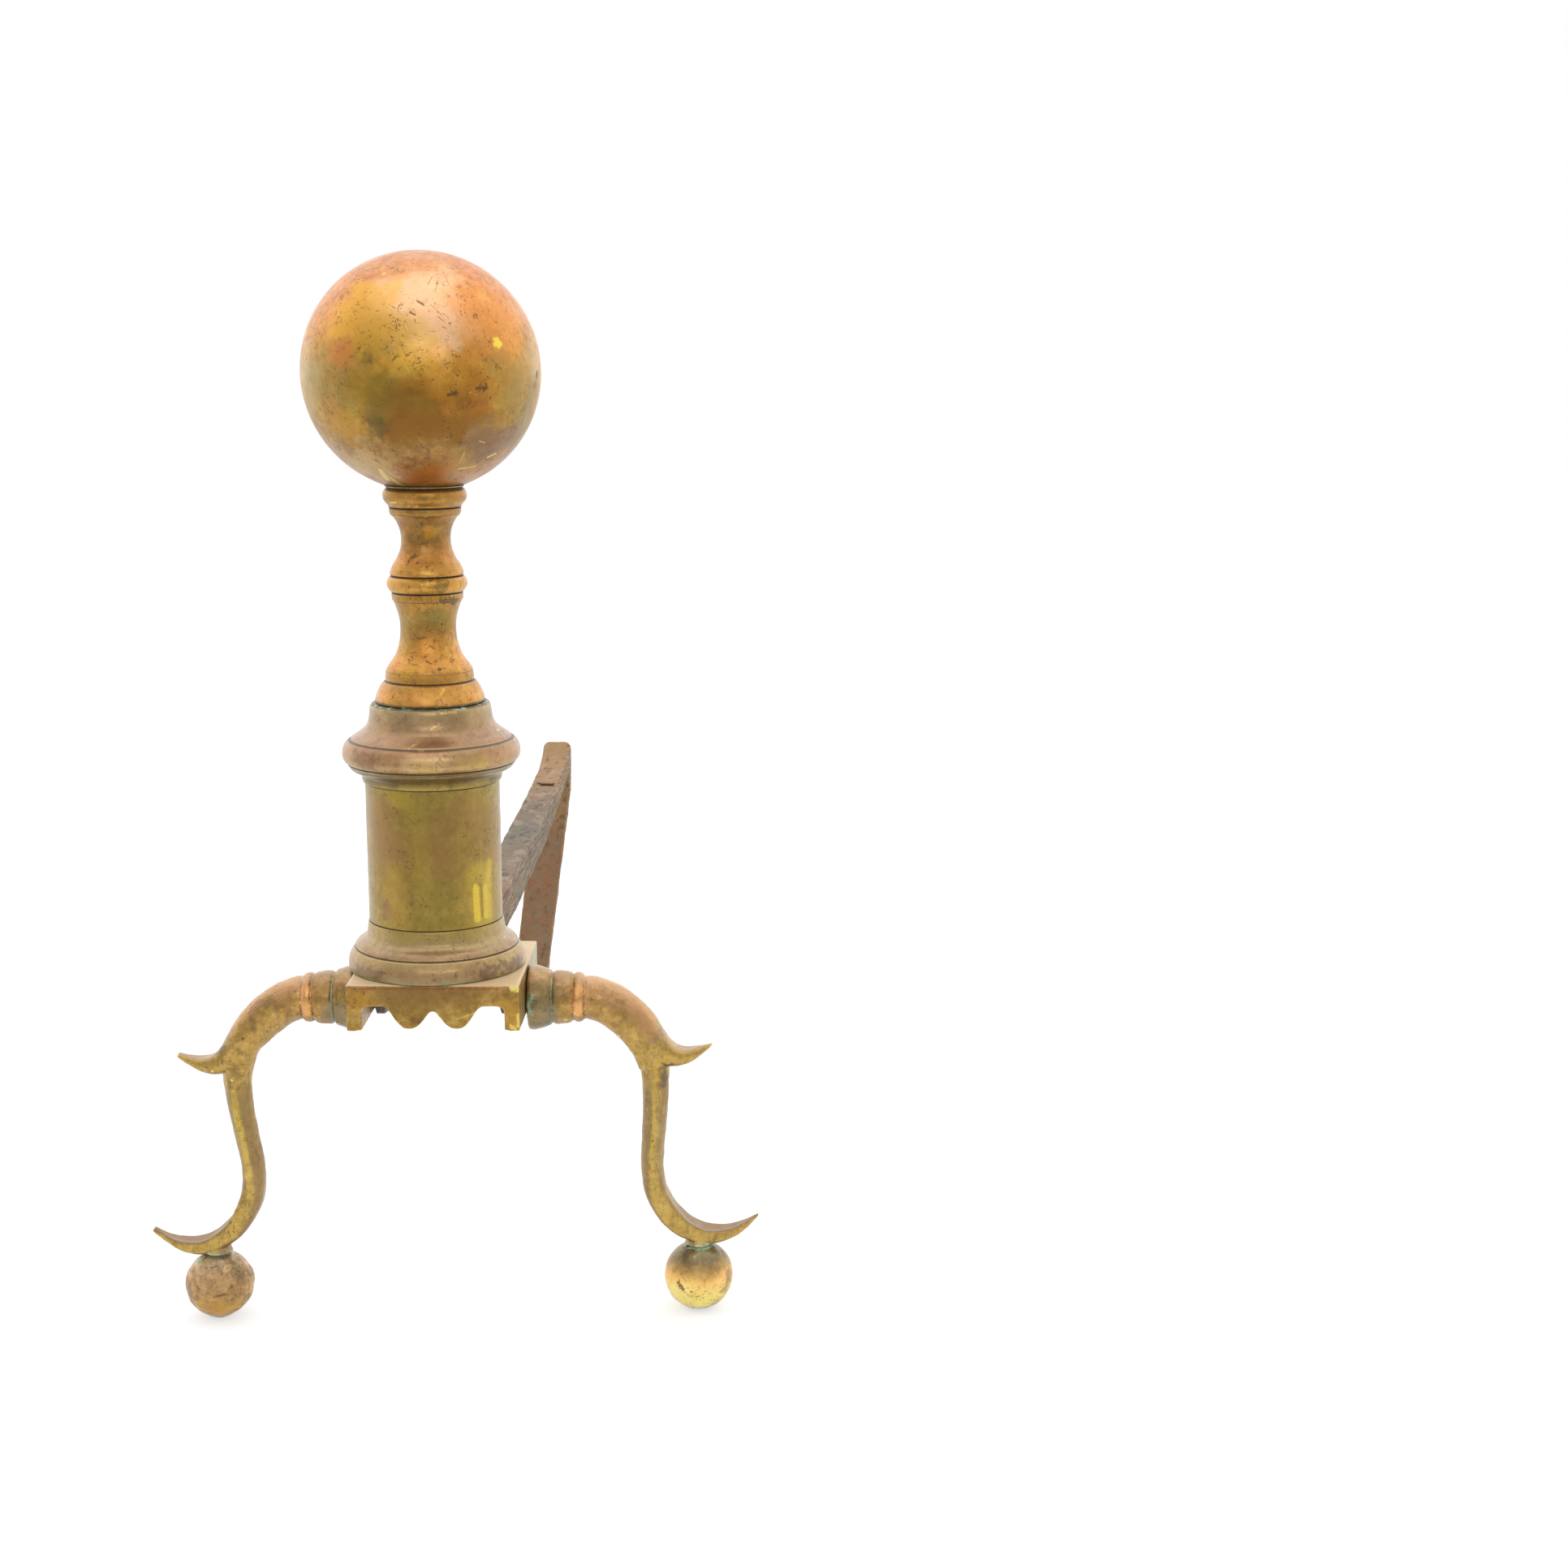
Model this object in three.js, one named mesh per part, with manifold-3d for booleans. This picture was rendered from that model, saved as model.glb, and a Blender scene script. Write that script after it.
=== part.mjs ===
// A ball-top andiron: a turned brass column on an apron plinth, two cast cabriole legs on ball feet,
// and a wrought-iron billet bar whose back end is bent down as the third leg.
// Millimetres, +Z up, the front faces -Y. The pieces are drawn with the column's axis at x = 0, y = 0
// and the hearth at z = 0; at the end the whole is moved so that its origin is the middle of its footprint.

import * as THREE from 'three';
import { mergeVertices } from 'three/addons/utils/BufferGeometryUtils.js';
import Module from 'manifold-3d';

const wasm = await Module();
wasm.setup();

// ---------------------------------------------------------------- driving dimensions

const SEAT_GAP = 0.3; // between pieces that rest on or pass through each other
const ROD_FIT = 0.4; // round the tie rod, all the way up

const foot = {
  ballRadius: 15.2,
  ballCentre: 14.8, // lower than the radius, so the ball has a small flat to stand on
  topFlat: 29.3, // height of the flat under the leg's boss
  pinRadius: 2.5,
  pinBelow: 8.0,
  pinAbove: 4.6,
};

const leg = {
  rise: 113.6, // foot seat to the axis of the root boss
  footReach: 72.7, // plinth side to the foot's centre, before any tuck
  rootRadius: 13.9,
  rootLength: 10.6,
  ringRadius: 11.2,
  ringLength: 8.7,
  beadRadius: 10.1,
  beadLength: 5.4,
  grooveDepth: 1.1,
  grooveWidth: 1.3,
  archRadius: 9.4,
  lap: 3.0, // how far the turned root runs on inside the arch
  tenonRadius: 3.5,
  bossRadius: 5.6,
  bossHeight: 4.5,
};

const plinth = {
  width: 72.0,
  depth: 75.0,
  offsetX: 2.6, // the column stands a little off the plinth's middle
  offsetY: 1.5,
  plate: 6.0,
  rootBelowTop: 15.0,
  apronDepth: 19.7,
  apronWall: 6.5,
  bracket: 5.0,
  archRise: 10.4, // apron's lower edge to the top of its arches
  archCorner: 4.2,
  notchRise: 8.4, // apron's lower edge to the notch between the two lobes
  lobeRise: 0.7, // the lobes stop this much above the brackets
  lobeSpacing: 20.0,
  archSpacing: 41.2, // between the inner ends of the two arches' flat tops
  archRound: 3.2, // pull of the apron's curve at an arch's end, a lobe's foot and the notch
  lobeRound: 5.6,
  notchRound: 2.6,
};

const nut = { square: 12.0, thick: 5.0, stickOut: 1.6 };

// A turned piece's profile is a list of [radius beyond the radius it is drawn from, share of its height].
const base = {
  height: 20.7,
  overhang: 9.2, // beyond the tube all round
  rim: [[0, 0.097]],
  ovolo: [[-0.6, 0.285], [-2.4, 0.43]],
  quirk: [[-3.2, 0.449], [-2.9, 0.473]],
  scotia: [[-4.0, 0.551], [-6.5, 0.643], [-8.2, 0.715]],
  neck: [[-8.5, 0.86], [-9.2, 0.961]],
  floor: 4.0,
  spigot: 6.0,
  wall: 4.0,
};
const tube = { height: 59.4, radius: 28.2, wall: 2.0 };
const cap = {
  height: 33.2,
  overhang: 9.0, // the torus beyond the tube
  waist: 25.4,
  top: 23.0,
  lip: [[0.6, 0], [1.1, 0.081]], // drawn from the tube
  hollow: [[-5.2, 0.163], [-2.9, 0.229]], // this and the next three are drawn from the torus
  underQuirk: [[-2.4, 0.259]],
  torus: [[0, 0.367], [-3.0, 0.53]],
  overQuirk: [[-3.9, 0.545]],
  bell: [[4.1, 0.617], [1.3, 0.705], [0, 0.843], [-0.2, 0.922]], // drawn from the waist
  roof: 5.0,
  chamber: 9.0, // height of the slope under the roof
  spigot: 8.0,
  wall: 3.6,
};
const lowerSpool = {
  height: 46.1,
  foot: 22.8,
  swell: [[-0.4, 0.065], [-1.5, 0.132], [-3.9, 0.2]],
  band: 18.3,
  bandEdges: [[0, 0.215], [-0.3, 0.306]],
  waist: 11.6,
  body: [[3.6, 0.395], [1.1, 0.508], [0, 0.666], [0.7, 0.811], [2.7, 0.924]],
  head: 14.8,
  headEdge: [[0, 0.946]],
  core: 14.0, // depth of the hollow under it
  coreWall: 4.0,
};
const middleRing = { height: 6.9, radius: 16.7, edge: 15.1, bead: [[-0.5, 0.261], [0, 0.5], [-0.5, 0.739]] };
const upperSpool = {
  height: 28.1,
  foot: 15.1,
  footEdge: [[-0.3, 0.107]],
  waist: 10.3,
  body: [[2.1, 0.253], [0.3, 0.423], [0, 0.534], [0.8, 0.719], [4.1, 0.922]],
  head: 14.9,
  headEdge: [[0, 0.947]],
};
const collar = { height: 9.3, radius: 17.4, lower: 15.0, upper: 16.4, bead: [[-0.8, 0.258], [0, 0.527]] };
const ball = { radius: 48.8, wall: 2.6, neck: 17.2, lip: 3.0, lipWall: 1.2 };
const register = { radius: 8.2, height: 2.2 }; // the spigot that centres each spool on the next
const capRegister = { radius: 12.0, height: 3.0 };
const bush = { stem: 8.0, flange: 14.0, height: 11.0, socket: 3.0, chamfer: 3.5 };

const rod = { radius: 4.5, above: 3.0, below: 1.2 };
const rodNut = { square: 15.0, thick: 5.4 };
const washer = { radius: 11.0, thick: 1.5 };

const bar = {
  width: 18.0,
  reach: 526.0, // column axis to the front face of the rear leg
  tongueFront: 12.0, // how far the tongue runs in front of the rod
  tongueThick: 4.5,
  tongueBack: 20.0,
  topBelowPlinth: 10.2,
  shoulder: 20.0, // from the plinth's back to where the top reaches its full height
  level: 140.0, // from the plinth's back to where the top starts to sag and rise
  thick: 19.2,
  edge: 0.9,
  kneeRise: 15.0,
  // from the end of the level part to the knee: [share of the way, height above or depth below the top]
  topLine: [[0.22, -0.5], [0.637, 0.5], [0.867, 3.3]],
  underLine: [[0.22, 19.4], [0.61, 16.0]],
  kneeBend: 20.0, // length of the inside of the bend
  kneeRound: 5.0,
  legThick: 13.0,
  legWidth: 22.0,
  legSwell: 0.6,
  kneeShift: 1.5, // the knee sits this far to the right of the column's axis
  legLean: 20.5, // how far the foot stands to the left of the knee
};

const TURN_SEGMENTS = 24;
const BALL_SEGMENTS = 32;
const ROUND_SEGMENTS = 20;
const RING_POINTS = 12;

// heights above the hearth, each worked out from the piece below it
const footSeatZ = foot.topFlat + SEAT_GAP;
const rootZ = footSeatZ + leg.rise;
const plinthTopZ = rootZ + plinth.rootBelowTop;
const apronBottomZ = plinthTopZ - plinth.apronDepth;
const plateUnderZ = plinthTopZ - plinth.plate;
const tubeZ = plinthTopZ + base.height;
const capZ = tubeZ + tube.height;
const lowerSpoolZ = capZ + cap.height;
const middleRingZ = lowerSpoolZ + lowerSpool.height;
const upperSpoolZ = middleRingZ + middleRing.height;
const collarZ = upperSpoolZ + upperSpool.height;
const ballBottomZ = collarZ + collar.height;
const ballZ = ballBottomZ + Math.sqrt(ball.radius ** 2 - ball.neck ** 2);
const ballInner = ball.radius - ball.wall;
const boreRadius = rod.radius + ROD_FIT;
const tubeBore = tube.radius - tube.wall;
const baseRadius = tube.radius + base.overhang;
const torusRadius = tube.radius + cap.overhang;

// ---------------------------------------------------------------- solids and finishes

/** A closed geometry as a solid: positions only, shared corners merged, empty triangles dropped. */
function toSolid(geometry) {
  const bare = new THREE.BufferGeometry();
  bare.setAttribute('position', geometry.getAttribute('position'));
  bare.setIndex(geometry.getIndex());
  const merged = mergeVertices(bare, 1e-4);
  const corners = merged.getIndex().array;
  const triangles = [];
  for (let i = 0; i < corners.length; i += 3) {
    const [a, b, c] = [corners[i], corners[i + 1], corners[i + 2]];
    if (a !== b && b !== c && c !== a) triangles.push(a, b, c);
  }
  return new wasm.Manifold(new wasm.Mesh({
    numProp: 3,
    vertProperties: new Float32Array(merged.getAttribute('position').array),
    triVerts: new Uint32Array(triangles),
  }));
}

function toGeometry(solid) {
  const mesh = solid.getMesh();
  const geometry = new THREE.BufferGeometry();
  geometry.setAttribute('position', new THREE.BufferAttribute(mesh.vertProperties, 3));
  geometry.setIndex(new THREE.BufferAttribute(mesh.triVerts, 1));
  geometry.computeVertexNormals();
  return geometry;
}

/** The points of a profile drawn from a radius, for a piece that starts at z and has this height. */
function profile(rows, radius, z, height) {
  return rows.map(([beyond, share]) => new THREE.Vector2(radius + beyond, z + share * height));
}

function straight(outline, points) {
  points.forEach((point) => outline.lineTo(point.x, point.y));
}

/** Turns a closed outline of (radius, height) about the column's axis. */
function turned(outline, segments = TURN_SEGMENTS, steps = 2) {
  const geometry = new THREE.LatheGeometry(outline.getPoints(steps), segments);
  return toSolid(geometry.rotateX(Math.PI / 2));
}

function upright(radius, fromZ, toZ, x = 0, y = 0) {
  const geometry = new THREE.CylinderGeometry(radius, radius, toZ - fromZ, ROUND_SEGMENTS);
  return toSolid(geometry.rotateX(Math.PI / 2).translate(x, y, (fromZ + toZ) / 2));
}

function block(from, to) {
  const size = to.clone().sub(from);
  const middle = from.clone().add(to).multiplyScalar(0.5);
  const geometry = new THREE.BoxGeometry(size.x, size.y, size.z);
  return toSolid(geometry.translate(middle.x, middle.y, middle.z));
}

/** Pushes an outline of (across, height) straight through the plinth from front to back. */
function throughCut(shape, length) {
  const geometry = new THREE.ExtrudeGeometry(shape, { depth: length, bevelEnabled: false, curveSegments: 5 });
  geometry.translate(0, 0, -length / 2).rotateX(Math.PI / 2);
  return toSolid(geometry.translate(plinth.offsetX, plinth.offsetY, 0));
}

const andiron = new THREE.Group();

const finishes = {
  tarnished: { color: 0xa5713d, roughness: 0.42, metalness: 0.9 },
  brown: { color: 0x83663f, roughness: 0.5, metalness: 0.85 },
  golden: { color: 0xa8823a, roughness: 0.38, metalness: 0.9 },
  olive: { color: 0x9a8440, roughness: 0.4, metalness: 0.9 },
  iron: { color: 0x5b4338, roughness: 0.85, metalness: 0.35 },
};

function addPiece(name, solid, finish) {
  const mesh = new THREE.Mesh(toGeometry(solid), new THREE.MeshStandardMaterial(finishes[finish]));
  mesh.name = name;
  andiron.add(mesh);
}

// ---------------------------------------------------------------- the turned column

/** Closes a spool's outline: spigot up into the next piece, bore for the rod, socket for the one below. */
function closeSpool(outline, fromZ, toZ, hasSpigot, socket) {
  const spigotTop = hasSpigot ? toZ + register.height : toZ;
  if (hasSpigot) {
    outline.lineTo(register.radius, toZ);
    outline.lineTo(register.radius, spigotTop);
  }
  outline.lineTo(boreRadius, spigotTop);
  outline.lineTo(boreRadius, fromZ + socket.height + SEAT_GAP);
  outline.lineTo(socket.radius + SEAT_GAP, fromZ + socket.height + SEAT_GAP);
  outline.lineTo(socket.radius + SEAT_GAP, fromZ);
  outline.closePath();
  return outline;
}

function columnBase() {
  const z = plinthTopZ;
  const at = (rows) => profile(rows, baseRadius, z, base.height);
  const spigot = tubeBore - SEAT_GAP;
  const outline = new THREE.Path();
  outline.moveTo(baseRadius, z);
  straight(outline, at(base.rim));
  outline.splineThru(at(base.ovolo));
  straight(outline, at(base.quirk));
  outline.splineThru(at(base.scotia));
  straight(outline, at(base.neck));
  outline.lineTo(tube.radius, tubeZ);
  outline.lineTo(spigot, tubeZ);
  outline.lineTo(spigot, tubeZ + base.spigot);
  outline.lineTo(spigot - base.wall, tubeZ + base.spigot);
  outline.lineTo(spigot - base.wall, z + base.floor);
  outline.lineTo(boreRadius, z + base.floor);
  outline.lineTo(boreRadius, z);
  outline.closePath();
  return turned(outline);
}

function columnTube() {
  const outline = new THREE.Path();
  outline.moveTo(tube.radius, tubeZ);
  outline.lineTo(tube.radius, capZ);
  outline.lineTo(tubeBore, capZ);
  outline.lineTo(tubeBore, tubeZ);
  outline.closePath();
  return turned(outline);
}

function columnCap() {
  const z = capZ;
  const at = (rows, radius) => profile(rows, radius, z, cap.height);
  const spigot = tubeBore - SEAT_GAP;
  const inner = spigot - cap.wall;
  const roofZ = lowerSpoolZ - cap.roof;
  const outline = new THREE.Path();
  outline.moveTo(spigot, z - cap.spigot);
  outline.lineTo(spigot, z);
  straight(outline, at(cap.lip, tube.radius));
  outline.splineThru(at(cap.hollow, torusRadius));
  straight(outline, at(cap.underQuirk, torusRadius));
  outline.splineThru(at(cap.torus, torusRadius));
  straight(outline, at(cap.overQuirk, torusRadius));
  outline.splineThru(at(cap.bell, cap.waist));
  outline.lineTo(cap.top, lowerSpoolZ);
  outline.lineTo(capRegister.radius, lowerSpoolZ);
  outline.lineTo(capRegister.radius, lowerSpoolZ + capRegister.height);
  outline.lineTo(boreRadius, lowerSpoolZ + capRegister.height);
  outline.lineTo(boreRadius, roofZ);
  outline.lineTo(inner - cap.wall, roofZ);
  outline.lineTo(inner, roofZ - cap.chamber);
  outline.lineTo(inner, z - cap.spigot);
  outline.closePath();
  return turned(outline);
}

function lowerSpoolPiece() {
  const z = lowerSpoolZ;
  const at = (rows, radius) => profile(rows, radius, z, lowerSpool.height);
  const coreRadius = lowerSpool.band - lowerSpool.coreWall;
  const socket = capRegister.radius + SEAT_GAP;
  const outline = new THREE.Path();
  outline.moveTo(lowerSpool.foot, z);
  outline.splineThru(at(lowerSpool.swell, lowerSpool.foot));
  straight(outline, at(lowerSpool.bandEdges, lowerSpool.band));
  outline.splineThru(at(lowerSpool.body, lowerSpool.waist));
  straight(outline, at(lowerSpool.headEdge, lowerSpool.head));
  outline.lineTo(lowerSpool.head, middleRingZ);
  outline.lineTo(register.radius, middleRingZ);
  outline.lineTo(register.radius, middleRingZ + register.height);
  outline.lineTo(boreRadius, middleRingZ + register.height);
  outline.lineTo(boreRadius, z + lowerSpool.core);
  outline.lineTo(coreRadius - lowerSpool.coreWall, z + lowerSpool.core);
  outline.lineTo(coreRadius, z + capRegister.height);
  outline.lineTo(socket, z + capRegister.height);
  outline.lineTo(socket, z);
  outline.closePath();
  return turned(outline);
}

function middleRingPiece() {
  const z = middleRingZ;
  const outline = new THREE.Path();
  outline.moveTo(middleRing.edge, z);
  outline.splineThru([
    ...profile(middleRing.bead, middleRing.radius, z, middleRing.height),
    new THREE.Vector2(middleRing.edge, upperSpoolZ),
  ]);
  return turned(closeSpool(outline, z, upperSpoolZ, true, register));
}

function upperSpoolPiece() {
  const z = upperSpoolZ;
  const at = (rows, radius) => profile(rows, radius, z, upperSpool.height);
  const outline = new THREE.Path();
  outline.moveTo(upperSpool.foot, z);
  straight(outline, at(upperSpool.footEdge, upperSpool.foot));
  outline.splineThru(at(upperSpool.body, upperSpool.waist));
  straight(outline, at(upperSpool.headEdge, upperSpool.head));
  outline.lineTo(upperSpool.head, collarZ);
  return turned(closeSpool(outline, z, collarZ, true, register));
}

function finialCollar() {
  const z = collarZ;
  const socketZ = ballBottomZ - bush.socket;
  const outline = new THREE.Path();
  outline.moveTo(collar.lower, z);
  outline.splineThru([
    ...profile(collar.bead, collar.radius, z, collar.height),
    new THREE.Vector2(collar.upper, ballBottomZ - ball.lipWall),
  ]);
  outline.lineTo(collar.upper, ballBottomZ);
  outline.lineTo(bush.stem + SEAT_GAP, ballBottomZ);
  outline.lineTo(bush.stem + SEAT_GAP, socketZ);
  return turned(closeSpool(outline, z, socketZ, false, register));
}

// ---------------------------------------------------------------- the hollow ball, cast in two halves

const boreAngle = Math.asin((bush.stem + SEAT_GAP) / ballInner);
const neckAngle = Math.asin(ball.neck / ball.radius);

function ballLower() {
  const lipOuter = ballInner - SEAT_GAP;
  const outline = new THREE.Path();
  outline.absarc(0, ballZ, ball.radius, neckAngle - Math.PI / 2, 0, false);
  outline.lineTo(ballInner, ballZ);
  outline.lineTo(lipOuter, ballZ - SEAT_GAP);
  outline.lineTo(lipOuter, ballZ + ball.lip);
  outline.lineTo(lipOuter - ball.lipWall, ballZ + ball.lip);
  outline.lineTo(lipOuter - ball.lipWall, ballZ - ball.lip);
  outline.absarc(0, ballZ, ballInner - ball.lipWall, -0.12, boreAngle - Math.PI / 2, true);
  outline.lineTo(bush.stem + SEAT_GAP, ballBottomZ);
  outline.closePath();
  return turned(outline, BALL_SEGMENTS, 4);
}

function ballUpper() {
  const lipTop = ballZ + ball.lip + SEAT_GAP;
  const lipAngle = Math.asin((ball.lip + SEAT_GAP) / ballInner);
  const outline = new THREE.Path();
  outline.absarc(0, ballZ, ball.radius, 0, Math.PI / 2, false);
  outline.lineTo(0, ballZ + ballInner);
  outline.absarc(0, ballZ, ballInner, Math.PI / 2, lipAngle, true);
  outline.lineTo(ballInner, lipTop);
  outline.lineTo(ballInner, ballZ);
  outline.closePath();
  return turned(outline, BALL_SEGMENTS, 4);
}

/** The bush inside the ball: the tie rod screws into it, and its flange pulls the ball down. */
function ballBush() {
  const seat = ballInner - ball.lipWall - SEAT_GAP;
  const stemAngle = Math.asin(bush.stem / seat);
  const flangeAngle = Math.asin(bush.flange / seat);
  const outline = new THREE.Path();
  outline.moveTo(bush.stem, ballBottomZ - bush.socket + SEAT_GAP);
  outline.lineTo(bush.stem, ballZ - seat * Math.cos(stemAngle));
  outline.absarc(0, ballZ, seat, stemAngle - Math.PI / 2, flangeAngle - Math.PI / 2, false);
  outline.lineTo(bush.flange, ballBottomZ + bush.height - bush.chamfer);
  outline.lineTo(bush.flange - bush.chamfer, ballBottomZ + bush.height);
  outline.lineTo(boreRadius, ballBottomZ + bush.height);
  outline.lineTo(boreRadius, ballBottomZ - bush.socket + SEAT_GAP);
  outline.closePath();
  return turned(outline, TURN_SEGMENTS, 3);
}

// ---------------------------------------------------------------- the plinth

/** The space under a front or back apron: an arch beside each corner bracket, two lobes, a notch. */
function lobedOpening() {
  const low = apronBottomZ - 1.0;
  const archZ = apronBottomZ + plinth.archRise;
  const lobeZ = apronBottomZ + plinth.lobeRise;
  const notchZ = apronBottomZ + plinth.notchRise;
  const half = plinth.width / 2 - plinth.bracket;
  const corner = half - plinth.archCorner;
  const archEnd = plinth.archSpacing / 2;
  const lobe = plinth.lobeSpacing / 2;
  const { archRound, lobeRound, notchRound } = plinth;
  const shape = new THREE.Shape();
  shape.moveTo(-half, low);
  shape.lineTo(half, low);
  shape.lineTo(half, apronBottomZ + 1.5);
  shape.quadraticCurveTo(half - 1.4, archZ, corner, archZ);
  shape.lineTo(archEnd, archZ);
  shape.bezierCurveTo(archEnd - archRound, archZ, lobe + lobeRound, lobeZ, lobe, lobeZ);
  shape.bezierCurveTo(lobe - lobeRound, lobeZ, notchRound, notchZ, 0, notchZ);
  shape.bezierCurveTo(-notchRound, notchZ, lobeRound - lobe, lobeZ, -lobe, lobeZ);
  shape.bezierCurveTo(-lobe - lobeRound, lobeZ, archRound - archEnd, archZ, -archEnd, archZ);
  shape.lineTo(-corner, archZ);
  shape.quadraticCurveTo(1.4 - half, archZ, -half, apronBottomZ + 1.5);
  return shape;
}

const sideX = (side) => plinth.offsetX + side * plinth.width / 2;
const frontY = plinth.offsetY - plinth.depth / 2;
const rearY = plinth.offsetY + plinth.depth / 2;

function plinthPiece() {
  const wall = plinth.apronWall;
  const low = apronBottomZ - 1.0;
  let solid = block(
    new THREE.Vector3(sideX(-1), frontY, apronBottomZ),
    new THREE.Vector3(sideX(1), rearY, plinthTopZ),
  );
  solid = solid.subtract(block(
    new THREE.Vector3(sideX(-1) + wall, frontY + wall, low),
    new THREE.Vector3(sideX(1) - wall, rearY - wall, plateUnderZ),
  ));
  solid = solid.subtract(throughCut(lobedOpening(), plinth.depth + 2));
  for (const side of [-1, 1]) {
    solid = solid.subtract(tenonBore(side));
  }
  solid = solid.subtract(block(
    new THREE.Vector3(-bar.width / 2 - SEAT_GAP, rearY - wall - 1, low),
    new THREE.Vector3(bar.width / 2 + SEAT_GAP, rearY + 1, plateUnderZ),
  ));
  return solid.subtract(upright(boreRadius, plateUnderZ - 1, plinthTopZ + 1));
}

function crosswise(radius, fromX, toX) {
  const geometry = new THREE.CylinderGeometry(radius, radius, Math.abs(toX - fromX), ROUND_SEGMENTS);
  return toSolid(geometry.rotateZ(Math.PI / 2).translate((fromX + toX) / 2, 0, rootZ));
}

function tenonBore(side) {
  const inside = sideX(side) - side * (plinth.apronWall + 1);
  return crosswise(leg.tenonRadius + SEAT_GAP, inside, sideX(side) + side);
}

// ---------------------------------------------------------------- the cabriole legs

/** A rounded section: half sizes a in the leg's plane and b across it, n = 2 round, more is squarer. */
function sectionPoint(angle, a, b, n) {
  const bulge = (value) => Math.sign(value) * Math.abs(value) ** (2 / n);
  return [a * bulge(Math.cos(angle)), b * bulge(Math.sin(angle))];
}

/** Skins sections along a curve in the leg's plane; each station is [out, z, a, b, n]. */
function sweptLimb(stations, stepsPerStation, place) {
  const route = new THREE.CatmullRomCurve3(stations.map(([out, z]) => new THREE.Vector3(out, 0, z)));
  const sizes = new THREE.CatmullRomCurve3(stations.map(([, , a, b, n]) => new THREE.Vector3(a, b, n)));
  route.curveType = 'catmullrom';
  sizes.curveType = 'catmullrom';
  const rings = (stations.length - 1) * stepsPerStation;
  const positions = [];
  for (let i = 0; i <= rings; i += 1) {
    const centre = route.getPoint(i / rings);
    const along = route.getTangent(i / rings);
    const size = sizes.getPoint(i / rings);
    for (let k = 0; k < RING_POINTS; k += 1) {
      const [u, v] = sectionPoint((2 * Math.PI * k) / RING_POINTS, size.x, size.y, size.z);
      positions.push(...place(centre.x - along.z * u, v, centre.z + along.x * u));
    }
  }
  const index = [];
  for (let i = 0; i < rings; i += 1) {
    for (let k = 0; k < RING_POINTS; k += 1) {
      const a = i * RING_POINTS + k;
      const b = i * RING_POINTS + ((k + 1) % RING_POINTS);
      index.push(a, a + RING_POINTS, b, b, a + RING_POINTS, b + RING_POINTS);
    }
  }
  for (let k = 1; k < RING_POINTS - 1; k += 1) {
    const last = rings * RING_POINTS;
    index.push(0, k, k + 1, last, last + k + 1, last + k);
  }
  return [positions, index];
}

/** Makes a solid of a skin; a skin drawn on the left is mirrored, so its triangles turn over. */
function skinSolid([positions, index], side) {
  const geometry = new THREE.BufferGeometry();
  geometry.setAttribute('position', new THREE.Float32BufferAttribute(positions, 3));
  geometry.setIndex(side > 0 ? index : [...index].reverse());
  return toSolid(geometry);
}

// Both legs come from one pattern. The left one is bent: tucked in, sagging, and its toe dips.
const hands = {
  left: { side: -1, tuck: 7.6, sag: 1.3, toeDip: 0.09, stepY: -3.6 },
  right: { side: 1, tuck: 0.7, sag: 0.0, toeDip: 0.0, stepY: 6.4 },
};
const tuckStartZ = rootZ - 36.0;
const archStart = leg.rootLength + leg.ringLength + leg.beadLength;

// The stations of a leg start with the share of the way from the arch's start to the foot's centre and
// end with the section's half thickness, half width and squareness.
// arch and spur: second value the drop below the root's axis, sizes as shares of the arch's radius
const archRows = [
  [0, 0, 0.99, 0.99, 2], [0.056, 0.3, 1, 1, 2], [0.204, 3.3, 0.99, 0.98, 2], [0.335, 8.0, 0.99, 0.95, 2],
  [0.44, 13.7, 0.96, 0.92, 2], [0.531, 19.4, 0.87, 0.88, 2], [0.635, 24.6, 0.72, 0.81, 2],
  [0.76, 27.4, 0.55, 0.71, 2], [0.885, 27.4, 0.39, 0.55, 2], [1.01, 25.6, 0.22, 0.35, 2],
  [1.123, 23.0, 0.05, 0.09, 2],
];
// top of the shank, inside the arch: second value the drop below the root's axis
const calfRows = [
  [0.444, 14.5, 6.0, 6.8, 2], [0.544, 23.0, 6.9, 7.2, 2.3], [0.6, 31.2, 6.5, 6.8, 2.6],
  [0.61, 39.2, 5.9, 6.3, 3],
];
// middle of the shank: second value the share of the way down to the ankle
const shinRows = [
  [0.608, 0.26, 5.5, 6.0, 3], [0.593, 0.53, 5.3, 5.9, 3], [0.579, 0.8, 5.1, 5.8, 3],
];
// ankle and toe: second value the height above the foot's seat
const toeRows = [
  [0.594, 30.0, 5.0, 5.8, 3], [0.628, 23.7, 5.0, 5.9, 2.8], [0.7, 17.1, 5.0, 6.0, 2.6],
  [0.796, 11.4, 4.8, 6.1, 2.5], [0.905, 7.3, 4.4, 6.1, 2.5], [1.037, 4.5, 3.9, 5.9, 2.5],
  [1.177, 3.9, 3.4, 5.3, 2.5], [1.308, 5.3, 2.7, 4.3, 2.3], [1.427, 8.3, 1.8, 2.9, 2.2],
  [1.548, 12.6, 0.4, 0.8, 2],
];

/** Carries a point of the leg pattern to its side of the plinth, bent and stepped as that leg is. */
function placeOn({ side, tuck, sag, toeDip, stepY }) {
  return (out, y, z) => {
    const down = THREE.MathUtils.clamp((tuckStartZ - z) / (tuckStartZ - footSeatZ), 0, 1);
    const away = THREE.MathUtils.clamp((out - archStart) / (leg.footReach - archStart), 0, 1.2);
    const lower = sag * away * (1 - down) + toeDip * (out - leg.footReach) * down;
    return [sideX(side) + side * (out - tuck * down), y + stepY * away, z - lower];
  };
}

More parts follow.
